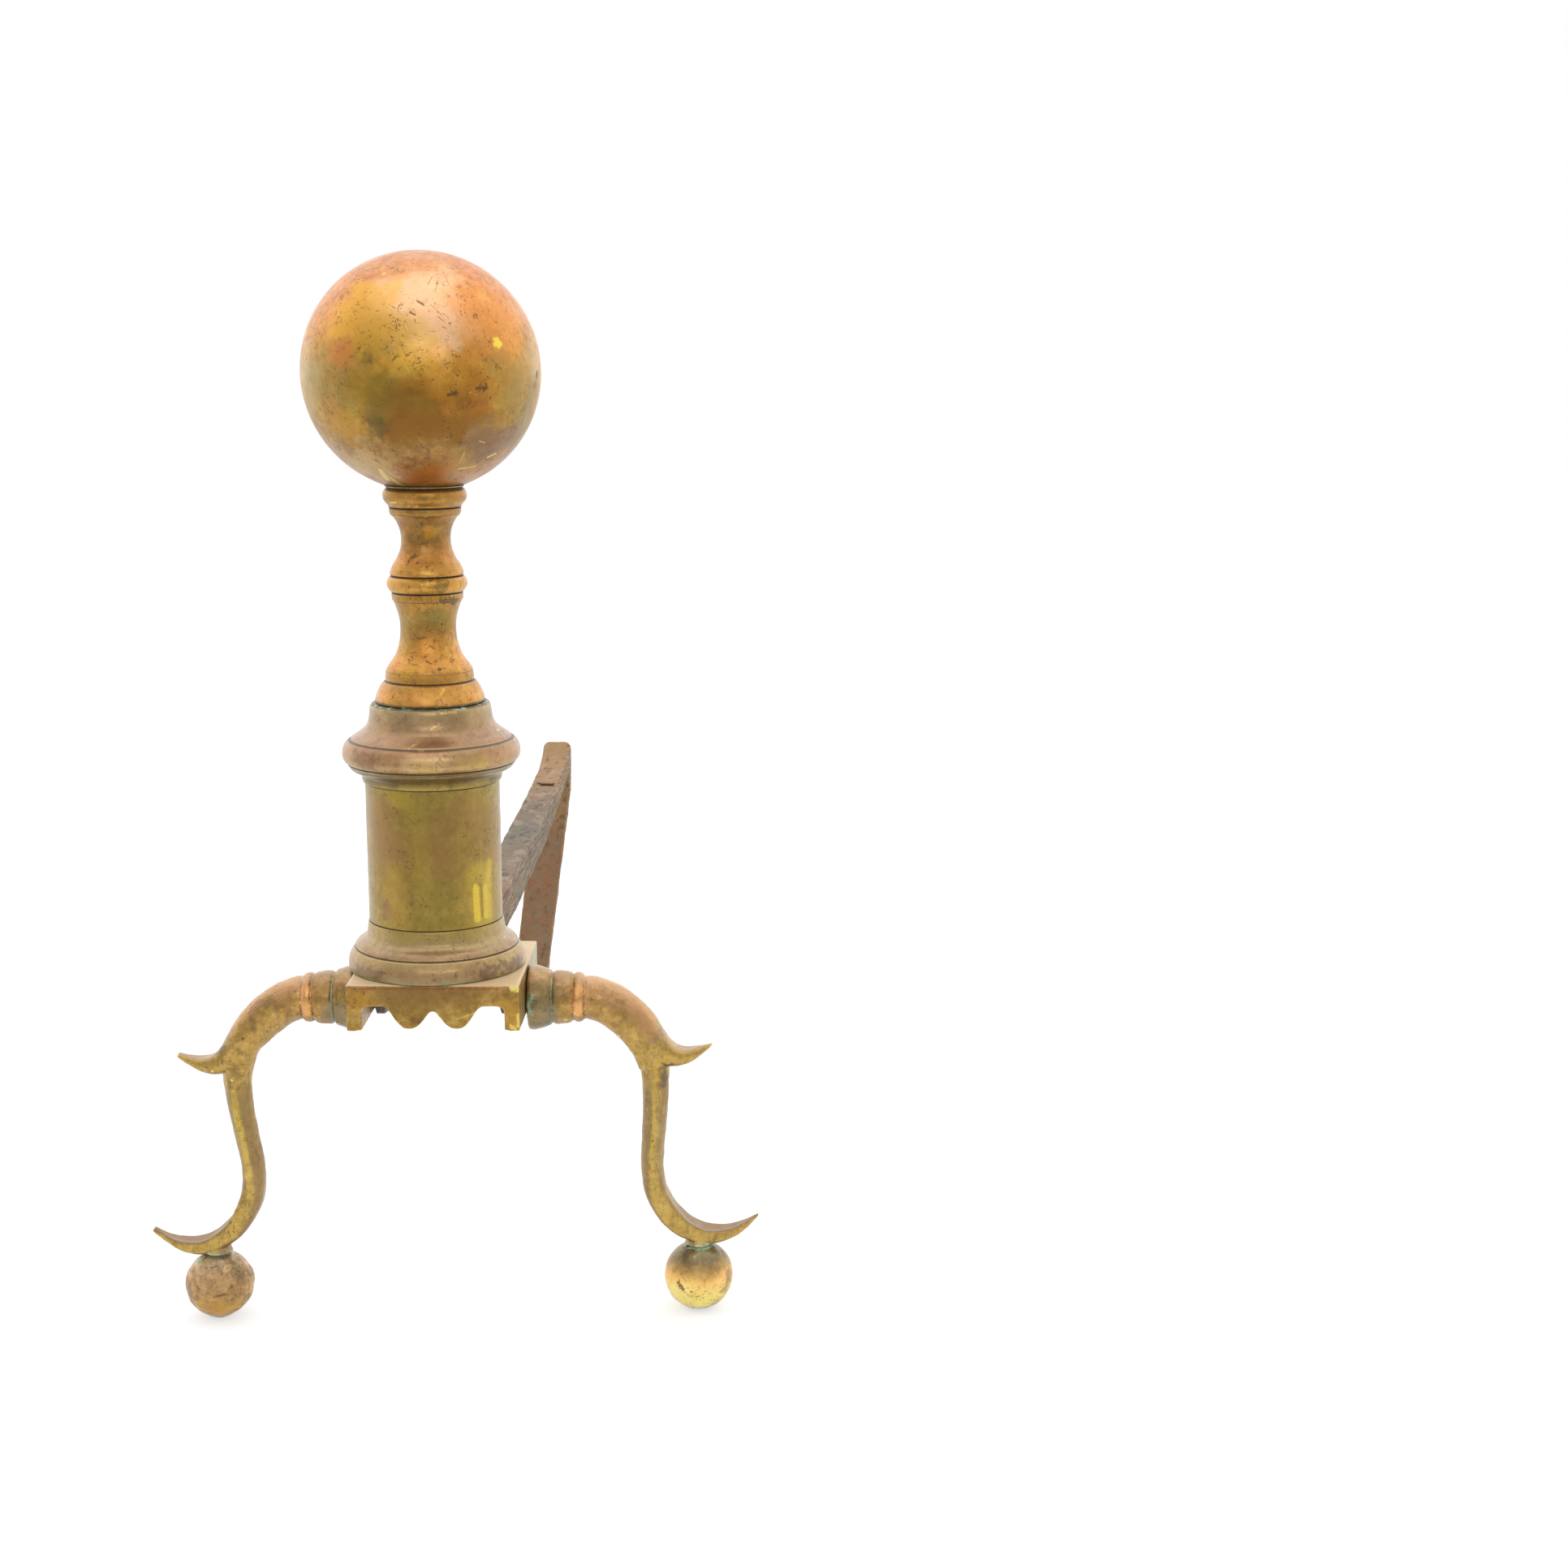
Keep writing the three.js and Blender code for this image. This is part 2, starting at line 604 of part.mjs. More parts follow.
/** The root: a tenon through the plinth's side, a swelling boss, a ring and a bead with grooves between. */
function legRoot(side) {
  const half = leg.grooveWidth / 2;
  const groove1 = leg.rootLength;
  const groove2 = groove1 + leg.ringLength;
  const groove3 = groove2 + leg.beadLength;
  const core = leg.archRadius - leg.grooveDepth;
  const tenonEnd = plinth.apronWall + SEAT_GAP + nut.thick + nut.stickOut;
  const outline = new THREE.Path();
  outline.moveTo(0, -tenonEnd);
  outline.lineTo(leg.tenonRadius, -tenonEnd);
  outline.lineTo(leg.tenonRadius, SEAT_GAP);
  outline.lineTo(leg.rootRadius - 0.5, SEAT_GAP);
  outline.quadraticCurveTo(leg.rootRadius + 0.6, 3.0, leg.ringRadius + 0.6, groove1 - half);
  outline.lineTo(leg.ringRadius - leg.grooveDepth, groove1);
  outline.lineTo(leg.ringRadius, groove1 + half);
  outline.lineTo(leg.ringRadius - 0.5, groove2 - half);
  outline.lineTo(leg.beadRadius - leg.grooveDepth, groove2);
  outline.quadraticCurveTo(leg.beadRadius + 1.0, (groove2 + groove3) / 2, core + 0.6, groove3 - half);
  outline.lineTo(core, groove3);
  outline.lineTo(core, groove3 + leg.lap);
  outline.lineTo(0, groove3 + leg.lap);
  outline.closePath();
  const geometry = new THREE.LatheGeometry(outline.getPoints(4), ROUND_SEGMENTS + 4);
  geometry.rotateZ(-side * Math.PI / 2);
  return toSolid(geometry.translate(sideX(side), 0, rootZ));
}

function legPiece(hand) {
  const { side } = hand;
  const place = placeOn(hand);
  const outAt = (share) => archStart + share * (leg.footReach - archStart);
  const calfZ = rootZ - calfRows.at(-1)[1];
  const ankleZ = footSeatZ + toeRows[0][1];
  const archAndSpur = archRows.map(([out, drop, a, b, n]) => (
    [outAt(out), rootZ - drop, a * leg.archRadius, b * leg.archRadius, n]
  ));
  const shankAndToe = [
    ...calfRows.map(([out, drop, ...section]) => [outAt(out), rootZ - drop, ...section]),
    ...shinRows.map(([out, share, ...section]) => (
      [outAt(out), THREE.MathUtils.lerp(calfZ, ankleZ, share), ...section]
    )),
    ...toeRows.map(([out, height, ...section]) => [outAt(out), footSeatZ + height, ...section]),
  ];
  const [footX, footY] = footPlace(hand);
  let solid = legRoot(side);
  solid = solid.add(skinSolid(sweptLimb(archAndSpur, 2, place), side));
  solid = solid.add(skinSolid(sweptLimb(shankAndToe, 2, place), side));
  solid = solid.add(upright(leg.bossRadius, footSeatZ, footSeatZ + leg.bossHeight, footX, footY));
  const boreTop = footSeatZ + foot.pinAbove + SEAT_GAP;
  return solid.subtract(upright(foot.pinRadius + SEAT_GAP, footSeatZ - 1, boreTop, footX, footY));
}

function footPlace(hand) {
  const [x, y] = placeOn(hand)(leg.footReach, 0, footSeatZ);
  return [x, y];
}

function legNut(side) {
  const inner = sideX(side) - side * (plinth.apronWall + SEAT_GAP);
  const far = inner - side * nut.thick;
  const half = nut.square / 2;
  return block(
    new THREE.Vector3(Math.min(inner, far), -half, rootZ - half),
    new THREE.Vector3(Math.max(inner, far), half, rootZ + half),
  ).subtract(crosswise(leg.tenonRadius + SEAT_GAP, inner + side, far - side));
}

function footBall(hand) {
  const [x, y] = footPlace(hand);
  const low = Math.asin(foot.ballCentre / foot.ballRadius);
  const high = Math.asin((foot.topFlat - foot.ballCentre) / foot.ballRadius);
  const bore = foot.pinRadius + SEAT_GAP;
  const floor = foot.topFlat - foot.pinBelow - SEAT_GAP;
  const outline = new THREE.Path();
  outline.moveTo(0, 0);
  outline.lineTo(foot.ballRadius * Math.cos(low), 0);
  outline.absarc(0, foot.ballCentre, foot.ballRadius, -low, high, false);
  outline.lineTo(bore, foot.topFlat);
  outline.lineTo(bore, floor);
  outline.lineTo(0, floor);
  outline.closePath();
  return turned(outline, 24, 5).translate([x, y, 0]);
}

function footPin(hand) {
  const [x, y] = footPlace(hand);
  return upright(foot.pinRadius, foot.topFlat - foot.pinBelow, footSeatZ + foot.pinAbove, x, y);
}

// ---------------------------------------------------------------- the billet bar, one forging

const tongueTopZ = plateUnderZ - SEAT_GAP;
const tongueUnderZ = tongueTopZ - bar.tongueThick;
const barTopZ = plinthTopZ - bar.topBelowPlinth;

/** Side view, (y, z): tongue under the plate, the bar, the knee, and the leg down to the hearth. */
function barOutline() {
  const knee = bar.reach;
  const heel = knee + bar.legThick;
  const kneeTop = barTopZ + bar.kneeRise;
  const kneeUnder = kneeTop - bar.kneeBend - 1.0;
  const levelEnd = rearY + bar.level;
  const underZ = barTopZ - bar.thick;
  const anklesZ = footSeatZ / 5;
  const alongBar = (share, z) => new THREE.Vector2(levelEnd + share * (knee - levelEnd), z);
  const shape = new THREE.Shape();
  shape.moveTo(-bar.tongueFront, tongueUnderZ);
  shape.lineTo(bar.tongueBack, tongueUnderZ);
  shape.lineTo(rearY + bar.shoulder / 3, underZ);
  shape.lineTo(levelEnd, underZ);
  shape.splineThru([
    ...bar.underLine.map(([share, depth]) => alongBar(share, barTopZ - depth)),
    new THREE.Vector2(knee - bar.kneeBend, kneeUnder),
    new THREE.Vector2(knee - 3.0, kneeUnder - 0.4),
    new THREE.Vector2(knee, kneeUnder - 4.0),
  ]);
  shape.lineTo(knee + bar.legSwell, barTopZ / 2);
  shape.lineTo(knee, anklesZ);
  shape.lineTo(knee - bar.legSwell * 2, 0);
  shape.lineTo(heel + bar.legSwell, 0);
  shape.lineTo(heel, anklesZ);
  shape.lineTo(heel + bar.legSwell, barTopZ / 2);
  shape.lineTo(heel, kneeTop - bar.legThick);
  shape.quadraticCurveTo(heel, kneeTop, heel - bar.kneeRound, kneeTop);
  shape.splineThru([
    new THREE.Vector2(knee - bar.kneeBend / 2, barTopZ + bar.kneeRise / 2),
    ...bar.topLine.map(([share, height]) => alongBar(share, barTopZ + height)).reverse(),
    new THREE.Vector2(levelEnd, barTopZ),
  ]);
  shape.lineTo(rearY + bar.shoulder, barTopZ);
  shape.lineTo(bar.tongueBack + bar.tongueThick, tongueTopZ);
  shape.lineTo(-bar.tongueFront, tongueTopZ);
  return shape;
}

function billetBar() {
  const depth = bar.width - 2 * bar.edge;
  const bevel = { bevelSize: bar.edge, bevelOffset: -bar.edge, bevelThickness: bar.edge, bevelSegments: 1 };
  const geometry = new THREE.ExtrudeGeometry(barOutline(), { depth, curveSegments: 3, ...bevel });
  geometry.translate(0, 0, -depth / 2).rotateX(Math.PI / 2).rotateZ(Math.PI / 2);
  const position = geometry.getAttribute('position');
  const legFront = bar.reach - bar.legSwell * 2;
  for (let i = 0; i < position.count; i += 1) {
    const back = THREE.MathUtils.clamp(position.getY(i) / legFront, 0, 1);
    const onLeg = back > 0.9999;
    const down = onLeg ? THREE.MathUtils.clamp(1 - position.getZ(i) / barTopZ, 0, 1) : 0;
    const widen = down > 0 ? bar.legWidth / bar.width : 1;
    position.setX(i, position.getX(i) * widen + bar.kneeShift * back - bar.legLean * down);
  }
  return toSolid(geometry).subtract(upright(boreRadius, tongueUnderZ - 1, tongueTopZ + 1));
}

// ---------------------------------------------------------------- the tie rod and its nut

const washerTopZ = tongueUnderZ - SEAT_GAP;
const rodNutTopZ = washerTopZ - washer.thick - SEAT_GAP;
const rodBottomZ = rodNutTopZ - rodNut.thick - rod.below;
const rodTopZ = ballBottomZ + bush.height + rod.above;

function rodWasher() {
  return upright(washer.radius, washerTopZ - washer.thick, washerTopZ)
    .subtract(upright(boreRadius, washerTopZ - washer.thick - 1, washerTopZ + 1));
}

function rodNutPiece() {
  const half = rodNut.square / 2;
  const low = rodNutTopZ - rodNut.thick;
  return block(new THREE.Vector3(-half, -half, low), new THREE.Vector3(half, half, rodNutTopZ))
    .subtract(upright(boreRadius, low - 1, rodNutTopZ + 1));
}

// ---------------------------------------------------------------- assembly

addPiece('ball_upper_half', ballUpper(), 'tarnished');
addPiece('ball_lower_half', ballLower(), 'tarnished');
addPiece('ball_bush', ballBush(), 'brown');
addPiece('finial_collar', finialCollar(), 'tarnished');
addPiece('upper_spool', upperSpoolPiece(), 'tarnished');
addPiece('middle_ring', middleRingPiece(), 'tarnished');
addPiece('lower_spool', lowerSpoolPiece(), 'tarnished');
addPiece('column_cap', columnCap(), 'brown');
addPiece('column_tube', columnTube(), 'olive');
addPiece('column_base', columnBase(), 'brown');
addPiece('plinth', plinthPiece(), 'golden');
for (const [name, hand] of Object.entries(hands)) {
  addPiece(`${name}_leg`, legPiece(hand), 'golden');
  addPiece(`${name}_leg_nut`, legNut(hand.side), 'iron');
  addPiece(`${name}_foot_ball`, footBall(hand), 'golden');
  addPiece(`${name}_foot_pin`, footPin(hand), 'iron');
}
addPiece('billet_bar', billetBar(), 'iron');
addPiece('tie_rod', upright(rod.radius, rodBottomZ, rodTopZ), 'iron');
addPiece('tie_rod_nut', rodNutPiece(), 'iron');
addPiece('tie_rod_washer', rodWasher(), 'iron');

const footprint = new THREE.Box3().setFromObject(andiron);
const middle = footprint.getCenter(new THREE.Vector3());
andiron.position.set(-middle.x, -middle.y, 0);
andiron.updateMatrixWorld(true);

export default andiron;
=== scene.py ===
"""A ball-top andiron: old tarnished brass on a forged iron billet bar, on a plain pale floor.

Sizes and places are in millimetres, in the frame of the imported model: the front faces -Y, +Z is up and
the hearth is z = 0. Meshes are written in metres. A turned piece stands on the column's axis, and its
outline is a list of (radius, height above its own foot).
"""

import logging
import math
from dataclasses import dataclass, field
from enum import Enum
from typing import Callable, Optional, Sequence, Union

import bmesh
import bpy
import numpy as np
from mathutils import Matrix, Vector, noise


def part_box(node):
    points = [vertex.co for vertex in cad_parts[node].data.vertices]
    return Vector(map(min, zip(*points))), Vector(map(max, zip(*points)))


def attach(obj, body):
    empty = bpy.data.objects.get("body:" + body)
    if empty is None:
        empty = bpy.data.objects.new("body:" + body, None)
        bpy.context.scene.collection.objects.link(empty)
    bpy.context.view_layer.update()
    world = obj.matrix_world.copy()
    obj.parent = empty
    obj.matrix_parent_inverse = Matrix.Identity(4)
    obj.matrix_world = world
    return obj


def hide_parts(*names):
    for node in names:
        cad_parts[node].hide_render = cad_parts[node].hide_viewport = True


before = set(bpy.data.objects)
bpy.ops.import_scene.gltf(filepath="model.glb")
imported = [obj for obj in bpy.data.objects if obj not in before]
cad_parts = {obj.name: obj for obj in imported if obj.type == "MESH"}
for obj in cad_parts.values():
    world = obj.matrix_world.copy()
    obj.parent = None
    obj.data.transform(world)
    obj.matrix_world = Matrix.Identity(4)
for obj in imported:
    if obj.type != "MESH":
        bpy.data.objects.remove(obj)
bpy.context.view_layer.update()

MM = 0.001
TURN_SEGMENTS = 168
RING_POINTS = 28
BORE = 4.9  # hole for the tie rod, up the whole column
SEAT = 8.5  # socket under a spool, round the spigot of the piece below
SPIGOT = 8.2
SOCKET_DEPTH = 2.5
SPIGOT_RISE = 2.2
FOOT_MIDDLE = 14.8  # height of a foot ball's middle; it is worn flat underneath
BRIGHTEST = 0.93  # no surface is paler than this
DRUM_RADIUS = 28.2  # of the plain tube

log = logging.getLogger("andiron")

Point = Sequence[float]
Socket = bpy.types.NodeSocket
Number = Union[float, Socket]


class Slot(Enum):
    """The record's material slots."""

    BALL = "ball_brass"
    SPOOL = "spool_brass"
    MOULDING = "moulding_brass"
    TUBE = "tube_brass"
    PLINTH = "plinth_brass"
    LEG = "leg_brass"
    LEFT_FOOT = "left_foot_brass"
    RIGHT_FOOT = "right_foot_brass"
    HIDDEN = "hidden_brass"
    IRON = "forged_iron"
    FIXING = "fixing_iron"


class Side(Enum):
    """Which side of the plinth a leg stands on; the value is the sign of its x."""

    LEFT = -1
    RIGHT = 1

    def node(self, piece: str) -> str:
        """The CAD node of this side's piece."""
        return f"{self.name.lower()}_{piece}"


def low_corner(node: str) -> np.ndarray:
    """Lowest corner of a CAD node's box, in millimetres."""
    return np.array(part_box(node)[0]) / MM


def high_corner(node: str) -> np.ndarray:
    """Highest corner of a CAD node's box, in millimetres."""
    return np.array(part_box(node)[1]) / MM


def middle(node: str) -> np.ndarray:
    """Middle of a CAD node's box, in millimetres."""
    return (low_corner(node) + high_corner(node)) / 2


AXIS = middle("tie_rod")[:2]


# ---- meshes


@dataclass
class Shell:
    """Points in millimetres and the faces between them, before they become a mesh."""

    points: np.ndarray
    faces: list[tuple[int, ...]]

    def joined(self, other: "Shell") -> "Shell":
        """This shell and another as one; they may run into each other."""
        shift = len(self.points)
        moved = [tuple(i + shift for i in face) for face in other.faces]
        return Shell(np.vstack([self.points, other.points]), self.faces + moved)


def flowing(points: Sequence[Point], steps: int) -> np.ndarray:
    """A uniform Catmull-Rom curve through points of any dimension.

    Args:
        points: the points that it passes through.
        steps: steps between two of them.

    Returns:
        The points of the curve, first and last among them.
    """
    known = np.array(points, float)
    padded = np.vstack([2 * known[0] - known[1], known, 2 * known[-1] - known[-2]])
    rows = []
    for i in range(1, len(padded) - 2):
        a, b, c, d = padded[i - 1 : i + 3]
        for t in np.arange(steps) / steps:
            bend = (2 * a - 5 * b + 4 * c - d) * t**2 + (3 * b - a - 3 * c + d) * t**3
            rows.append(0.5 * (2 * b + (c - a) * t + bend))
    rows.append(known[-1])
    return np.array(rows)


def outline_of(runs: Sequence[Sequence[Point]], steps: int = 6) -> np.ndarray:
    """Joins smooth runs of an outline; where one run ends and the next begins there is a corner."""
    return np.vstack([flowing(run, steps) if len(run) > 2 else np.array(run, float) for run in runs])


def wound_faces(rings: int, count: int, closed: bool) -> list[tuple[int, ...]]:
    """Faces between rings of points; where closed, the last ring joins the first."""
    faces = []
    for i in range(rings if closed else rings - 1):
        following = (i + 1) % rings
        for k in range(count):
            after = (k + 1) % count
            faces.append((i * count + k, i * count + after, following * count + after,
                          following * count + k))
    return faces


def turned(outline: np.ndarray, centre: Point, segments: int = TURN_SEGMENTS) -> Shell:
    """Turns a closed outline about an upright axis.

    Args:
        outline: rows of (radius, height).
        centre: (x, y) of the axis and the height that the outline's zero stands at.
        segments: steps round the axis.

    Returns:
        The closed shell.
    """
    angles = np.linspace(0, 2 * math.pi, segments, endpoint=False)
    radius, height = outline[:, 0], outline[:, 1]
    grid = np.stack([
        centre[0] + np.outer(np.sin(angles), radius),
        centre[1] - np.outer(np.cos(angles), radius),
        np.broadcast_to(centre[2] + height, (segments, len(outline))),
    ], axis=-1)
    return Shell(grid.reshape(-1, 3), wound_faces(segments, len(outline), True))


def tube_faces(rings: int, count: int) -> list[tuple[int, ...]]:
    """Faces of a limb made of rings of points, with a lid on each end."""
    faces = wound_faces(rings, count, False)
    faces.append(tuple(range(count))[::-1])
    faces.append(tuple((rings - 1) * count + k for k in range(count)))
    return faces


def make_object(name: str, shell: Shell) -> bpy.types.Object:
    """Makes a clean mesh object: doubles welded, faces pointing out.

    Args:
        name: the object's name.
        shell: its points in millimetres and faces.

    Returns:
        The object, linked to the scene.
    """
    mesh = bpy.data.meshes.new(name)
    mesh.from_pydata((shell.points * MM).tolist(), [], shell.faces)
    work = bmesh.new()
    work.from_mesh(mesh)
    bmesh.ops.remove_doubles(work, verts=work.verts, dist=1e-6)
    bmesh.ops.dissolve_degenerate(work, dist=1e-7, edges=work.edges)
    bmesh.ops.recalc_face_normals(work, faces=work.faces)
    work.to_mesh(mesh)
    work.free()
    obj = bpy.data.objects.new(name, mesh)
    bpy.context.scene.collection.objects.link(obj)
    return obj


def apply_modifiers(obj: bpy.types.Object) -> None:
    """Replaces the object's mesh by what its modifiers make of it."""
    bpy.context.view_layer.update()
    graph = bpy.context.evaluated_depsgraph_get()
    result = bpy.data.meshes.new_from_object(obj.evaluated_get(graph))
    obj.modifiers.clear()
    old = obj.data
    obj.data = result
    bpy.data.meshes.remove(old)


def cast_as_one(obj: bpy.types.Object, voxel: float, rounds: int) -> None:
    """Melts overlapping shells into one skin and eases its edges, as a casting's or a forging's are.

    Args:
        obj: the object that holds the shells.
        voxel: fineness of the new skin.
        rounds: how many times it is smoothed.
    """
    remesh = obj.modifiers.new("skin", "REMESH")
    remesh.mode = "VOXEL"
    remesh.voxel_size = voxel * MM
    smooth = obj.modifiers.new("ease", "SMOOTH")
    smooth.factor = 0.5
    smooth.iterations = rounds
    apply_modifiers(obj)


def read_points(obj: bpy.types.Object) -> np.ndarray:
    """The mesh's points in millimetres."""
    flat = np.empty(len(obj.data.vertices) * 3)
    obj.data.vertices.foreach_get("co", flat)
    return flat.reshape(-1, 3) / MM


def read_normals(obj: bpy.types.Object) -> np.ndarray:
    """The outward direction at each of the mesh's points."""
    flat = np.empty(len(obj.data.vertices) * 3)
    obj.data.vertices.foreach_get("normal", flat)
    return flat.reshape(-1, 3)


def write_points(obj: bpy.types.Object, points: np.ndarray) -> None:
    """Moves the mesh's points to these places, in millimetres."""
    obj.data.vertices.foreach_set("co", (points * MM).ravel())
    obj.data.update()


def uneven(points: np.ndarray, size: Point, octaves: int, seed: float) -> np.ndarray:
    """Smooth uneven values, about -1 to 1, at each point.

    Args:
        points: rows of x, y, z.
        size: how far one swell reaches along each axis.
        octaves: how many finer layers lie on the first.
        seed: a shift that gives each use its own pattern.

    Returns:
        One value for each point.
    """
    scaled = points / np.array(size) + seed
    return np.array([noise.fractal(Vector(p), 1.0, 2.0, octaves) for p in scaled])


def swell(obj: bpy.types.Object, amounts: Callable[[np.ndarray, np.ndarray], np.ndarray]) -> None:
    """Moves each point along its normal by what the function gives for it."""
    points = read_points(obj)
    normals = read_normals(obj)
    write_points(obj, points + normals * amounts(points, normals)[:, None])


def keep_in_box(obj: bpy.types.Object, node: str) -> None:
    """Trims bumps that stand out of the CAD node's box."""
    write_points(obj, np.clip(read_points(obj), low_corner(node), high_corner(node)))


def shade(obj: bpy.types.Object, crease: float = 38.0) -> None:
    """Smooth shading, with a sharp edge where two faces meet at more than crease degrees."""
    mesh = obj.data
    mesh.polygons.foreach_set("use_smooth", [True] * len(mesh.polygons))
    mesh.set_sharp_from_angle(angle=math.radians(crease))


def settle(obj: bpy.types.Object, node: str, slot: Slot, finish: bpy.types.Material) -> bpy.types.Object:
    """Dresses a finished piece and puts it in its CAD node's place.

    Args:
        obj: the piece.
        node: the CAD node that it stands for.
        slot: the record's material slot of that node; not used.
        finish: its material.

    Returns:
        The same piece.
    """
    keep_in_box(obj, node)
    obj.data.materials.clear()
    obj.data.materials.append(finish)
    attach(obj, "root")
    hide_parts(node)
    log.info("%s stands for %s, %d faces", obj.name, node, len(obj.data.polygons))
    return obj


# ---- materials


def tint(code: str) -> tuple[float, float, float, float]:
    """Linear colour of a hex code as it looks on a screen."""
    levels = [int(code[i : i + 2], 16) / 255 for i in (0, 2, 4)]
    linear = [v / 12.92 if v <= 0.04045 else ((v + 0.055) / 1.055) ** 2.4 for v in levels]
    return (*linear, 1.0)


class Graph:
    """Writes a node tree in a few words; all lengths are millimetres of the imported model's frame."""

    def __init__(self, tree: bpy.types.NodeTree) -> None:
        """Empties the tree and starts with the place of the shaded point."""
        self.tree = tree
        tree.nodes.clear()
        place = self.node("ShaderNodeTexCoord").outputs["Object"]
        self.place = self.vector("MULTIPLY", place, (1 / MM,) * 3)

    def node(self, kind: str, **settings: object) -> bpy.types.Node:
        """Adds a node and sets its properties."""
        made = self.tree.nodes.new(kind)
        for name, value in settings.items():
            setattr(made, name, value)
        return made

    def feed(self, socket: Socket, value: object) -> None:
        """Links a socket to another one, or sets its number or colour."""
        if isinstance(value, bpy.types.NodeSocket):
            self.tree.links.new(value, socket)
        else:
            socket.default_value = value

    def math(self, operation: str, first: Number, second: Number = 0.0) -> Socket:
        """One step of arithmetic."""
        made = self.node("ShaderNodeMath", operation=operation)
        self.feed(made.inputs[0], first)
        self.feed(made.inputs[1], second)
        return made.outputs[0]

    def times(self, first: Number, second: Number) -> Socket:
        """The product of two values."""
        return self.math("MULTIPLY", first, second)

    def plus(self, first: Number, second: Number) -> Socket:
        """The sum of two values."""
        return self.math("ADD", first, second)

    def minus(self, first: Number, second: Number) -> Socket:
        """The first value less the second."""
        return self.math("SUBTRACT", first, second)

    def larger(self, first: Number, second: Number) -> Socket:
        """The larger of two values."""
        return self.math("MAXIMUM", first, second)

    def vector(self, operation: str, first: object, second: object) -> Socket:
        """One step of vector arithmetic; a length or a product comes out as a number."""
        made = self.node("ShaderNodeVectorMath", operation=operation)
        self.feed(made.inputs[0], first)
        self.feed(made.inputs[1], second)
        return made.outputs["Value" if operation in ("DOT_PRODUCT", "LENGTH", "DISTANCE") else "Vector"]

    def height(self) -> Socket:
        """The shaded point's height."""
        return self.vector("DOT_PRODUCT", self.place, (0.0, 0.0, 1.0))

    def facing(self, axis: Point) -> Socket:
        """How much the surface faces along an axis, from -1 to 1."""
        normal = self.node("ShaderNodeNewGeometry").outputs["Normal"]
        return self.vector("DOT_PRODUCT", normal, tuple(axis))

    def between(self, value: Number, low: float, high: float) -> Socket:
        """Rises smoothly from 0 at low to 1 at high; falls when high is the smaller one."""
        made = self.node("ShaderNodeMapRange", interpolation_type="SMOOTHSTEP")
        falls = high < low
        self.feed(made.inputs["Value"], value)
        self.feed(made.inputs["From Min"], high if falls else low)
        self.feed(made.inputs["From Max"], low if falls else high)
        self.feed(made.inputs["To Min"], 1.0 if falls else 0.0)
        self.feed(made.inputs["To Max"], 0.0 if falls else 1.0)
        return made.outputs["Result"]

    def spread(self, size: Point, offset: float = 0.0, turn: Point = (0.0, 0.0, 0.0)) -> Socket:
        """Coordinates in which a pattern's unit is size long along each turned axis."""
        turned_place = self.place
        if any(turn):
            mapping = self.node("ShaderNodeMapping", vector_type="POINT")
            self.feed(mapping.inputs["Vector"], self.place)
            self.feed(mapping.inputs["Rotation"], tuple(math.radians(a) for a in turn))
            turned_place = mapping.outputs["Vector"]
        scaled = self.vector("MULTIPLY", turned_place, tuple(1 / s for s in size))
        return self.vector("ADD", scaled, (offset,) * 3)

    def clouds(self, size: Point, offset: float, detail: float = 4.0, turn: Point = (0.0, 0.0, 0.0),
               wander: float = 0.0) -> Socket:
        """Cloudy values about 0.5.

        Args:
            size: length of a cloud along each axis.
            offset: a shift that gives each use its own pattern.
            detail: how many finer layers it has.
            turn: degrees that the pattern is turned by.
            wander: how much the clouds are stirred.

        Returns:
            The value.
        """
        made = self.node("ShaderNodeTexNoise")
        self.feed(made.inputs["Vector"], self.spread(size, offset, turn))
        self.feed(made.inputs["Scale"], 1.0)
        self.feed(made.inputs["Detail"], detail)
        self.feed(made.inputs["Roughness"], 0.55)
        self.feed(made.inputs["Distortion"], wander)
        return made.outputs["Fac"]

    def dots(self, spacing: float, radius: float, offset: float, share: float) -> Socket:
        """Small ragged dots, 1 inside.

        Args:
            spacing: size of the cell that holds one dot.
            radius: of a dot.
            offset: a shift that gives each use its own pattern.
            share: how many of the cells have a dot, from 0 to 1.

        Returns:
            The mask.
        """
        made = self.node("ShaderNodeTexVoronoi", feature="F1")
        self.feed(made.inputs["Vector"], self.spread((spacing,) * 3, offset))
        self.feed(made.inputs["Scale"], 1.0)
        wobble = self.times(self.minus(self.clouds((radius * 2,) * 3, offset), 0.5),
                            radius / spacing * 2.4)
        ragged = self.plus(made.outputs["Distance"], wobble)
        chosen = self.vector("DOT_PRODUCT", made.outputs["Color"], (1.0, 0.0, 0.0))
        dot = self.between(ragged, radius / spacing, radius / spacing * 0.5)
        return self.times(dot, self.between(chosen, share + 0.01, share))

    def mix(self, amount: Number, under: object, over: object) -> Socket:
        """Lays one colour over another."""
        made = self.node("ShaderNodeMix", data_type="RGBA")
        self.feed(made.inputs[0], amount)
        self.feed(made.inputs[6], under)
        self.feed(made.inputs[7], over)
        return made.outputs[2]

    def lay(self, colour: object, code: str, mask: Number, strength: Number = 1.0) -> Socket:
        """Lays a colour over another where a mask says, as strongly as it is told."""
        return self.mix(self.times(mask, strength), colour, tint(code))

    def ramp(self, value: Socket, stops: Sequence[tuple[float, str]]) -> Socket:
        """A colour that changes with a value from 0 to 1; stops are (value, hex code)."""
        made = self.node("ShaderNodeValToRGB")
        self.feed(made.inputs["Fac"], value)
        elements = made.color_ramp.elements
        while len(elements) < len(stops):
            elements.new(0.5)
        for element, (place, code) in zip(elements, stops):
            element.position = place
            element.color = tint(code)
        return made.outputs["Color"]

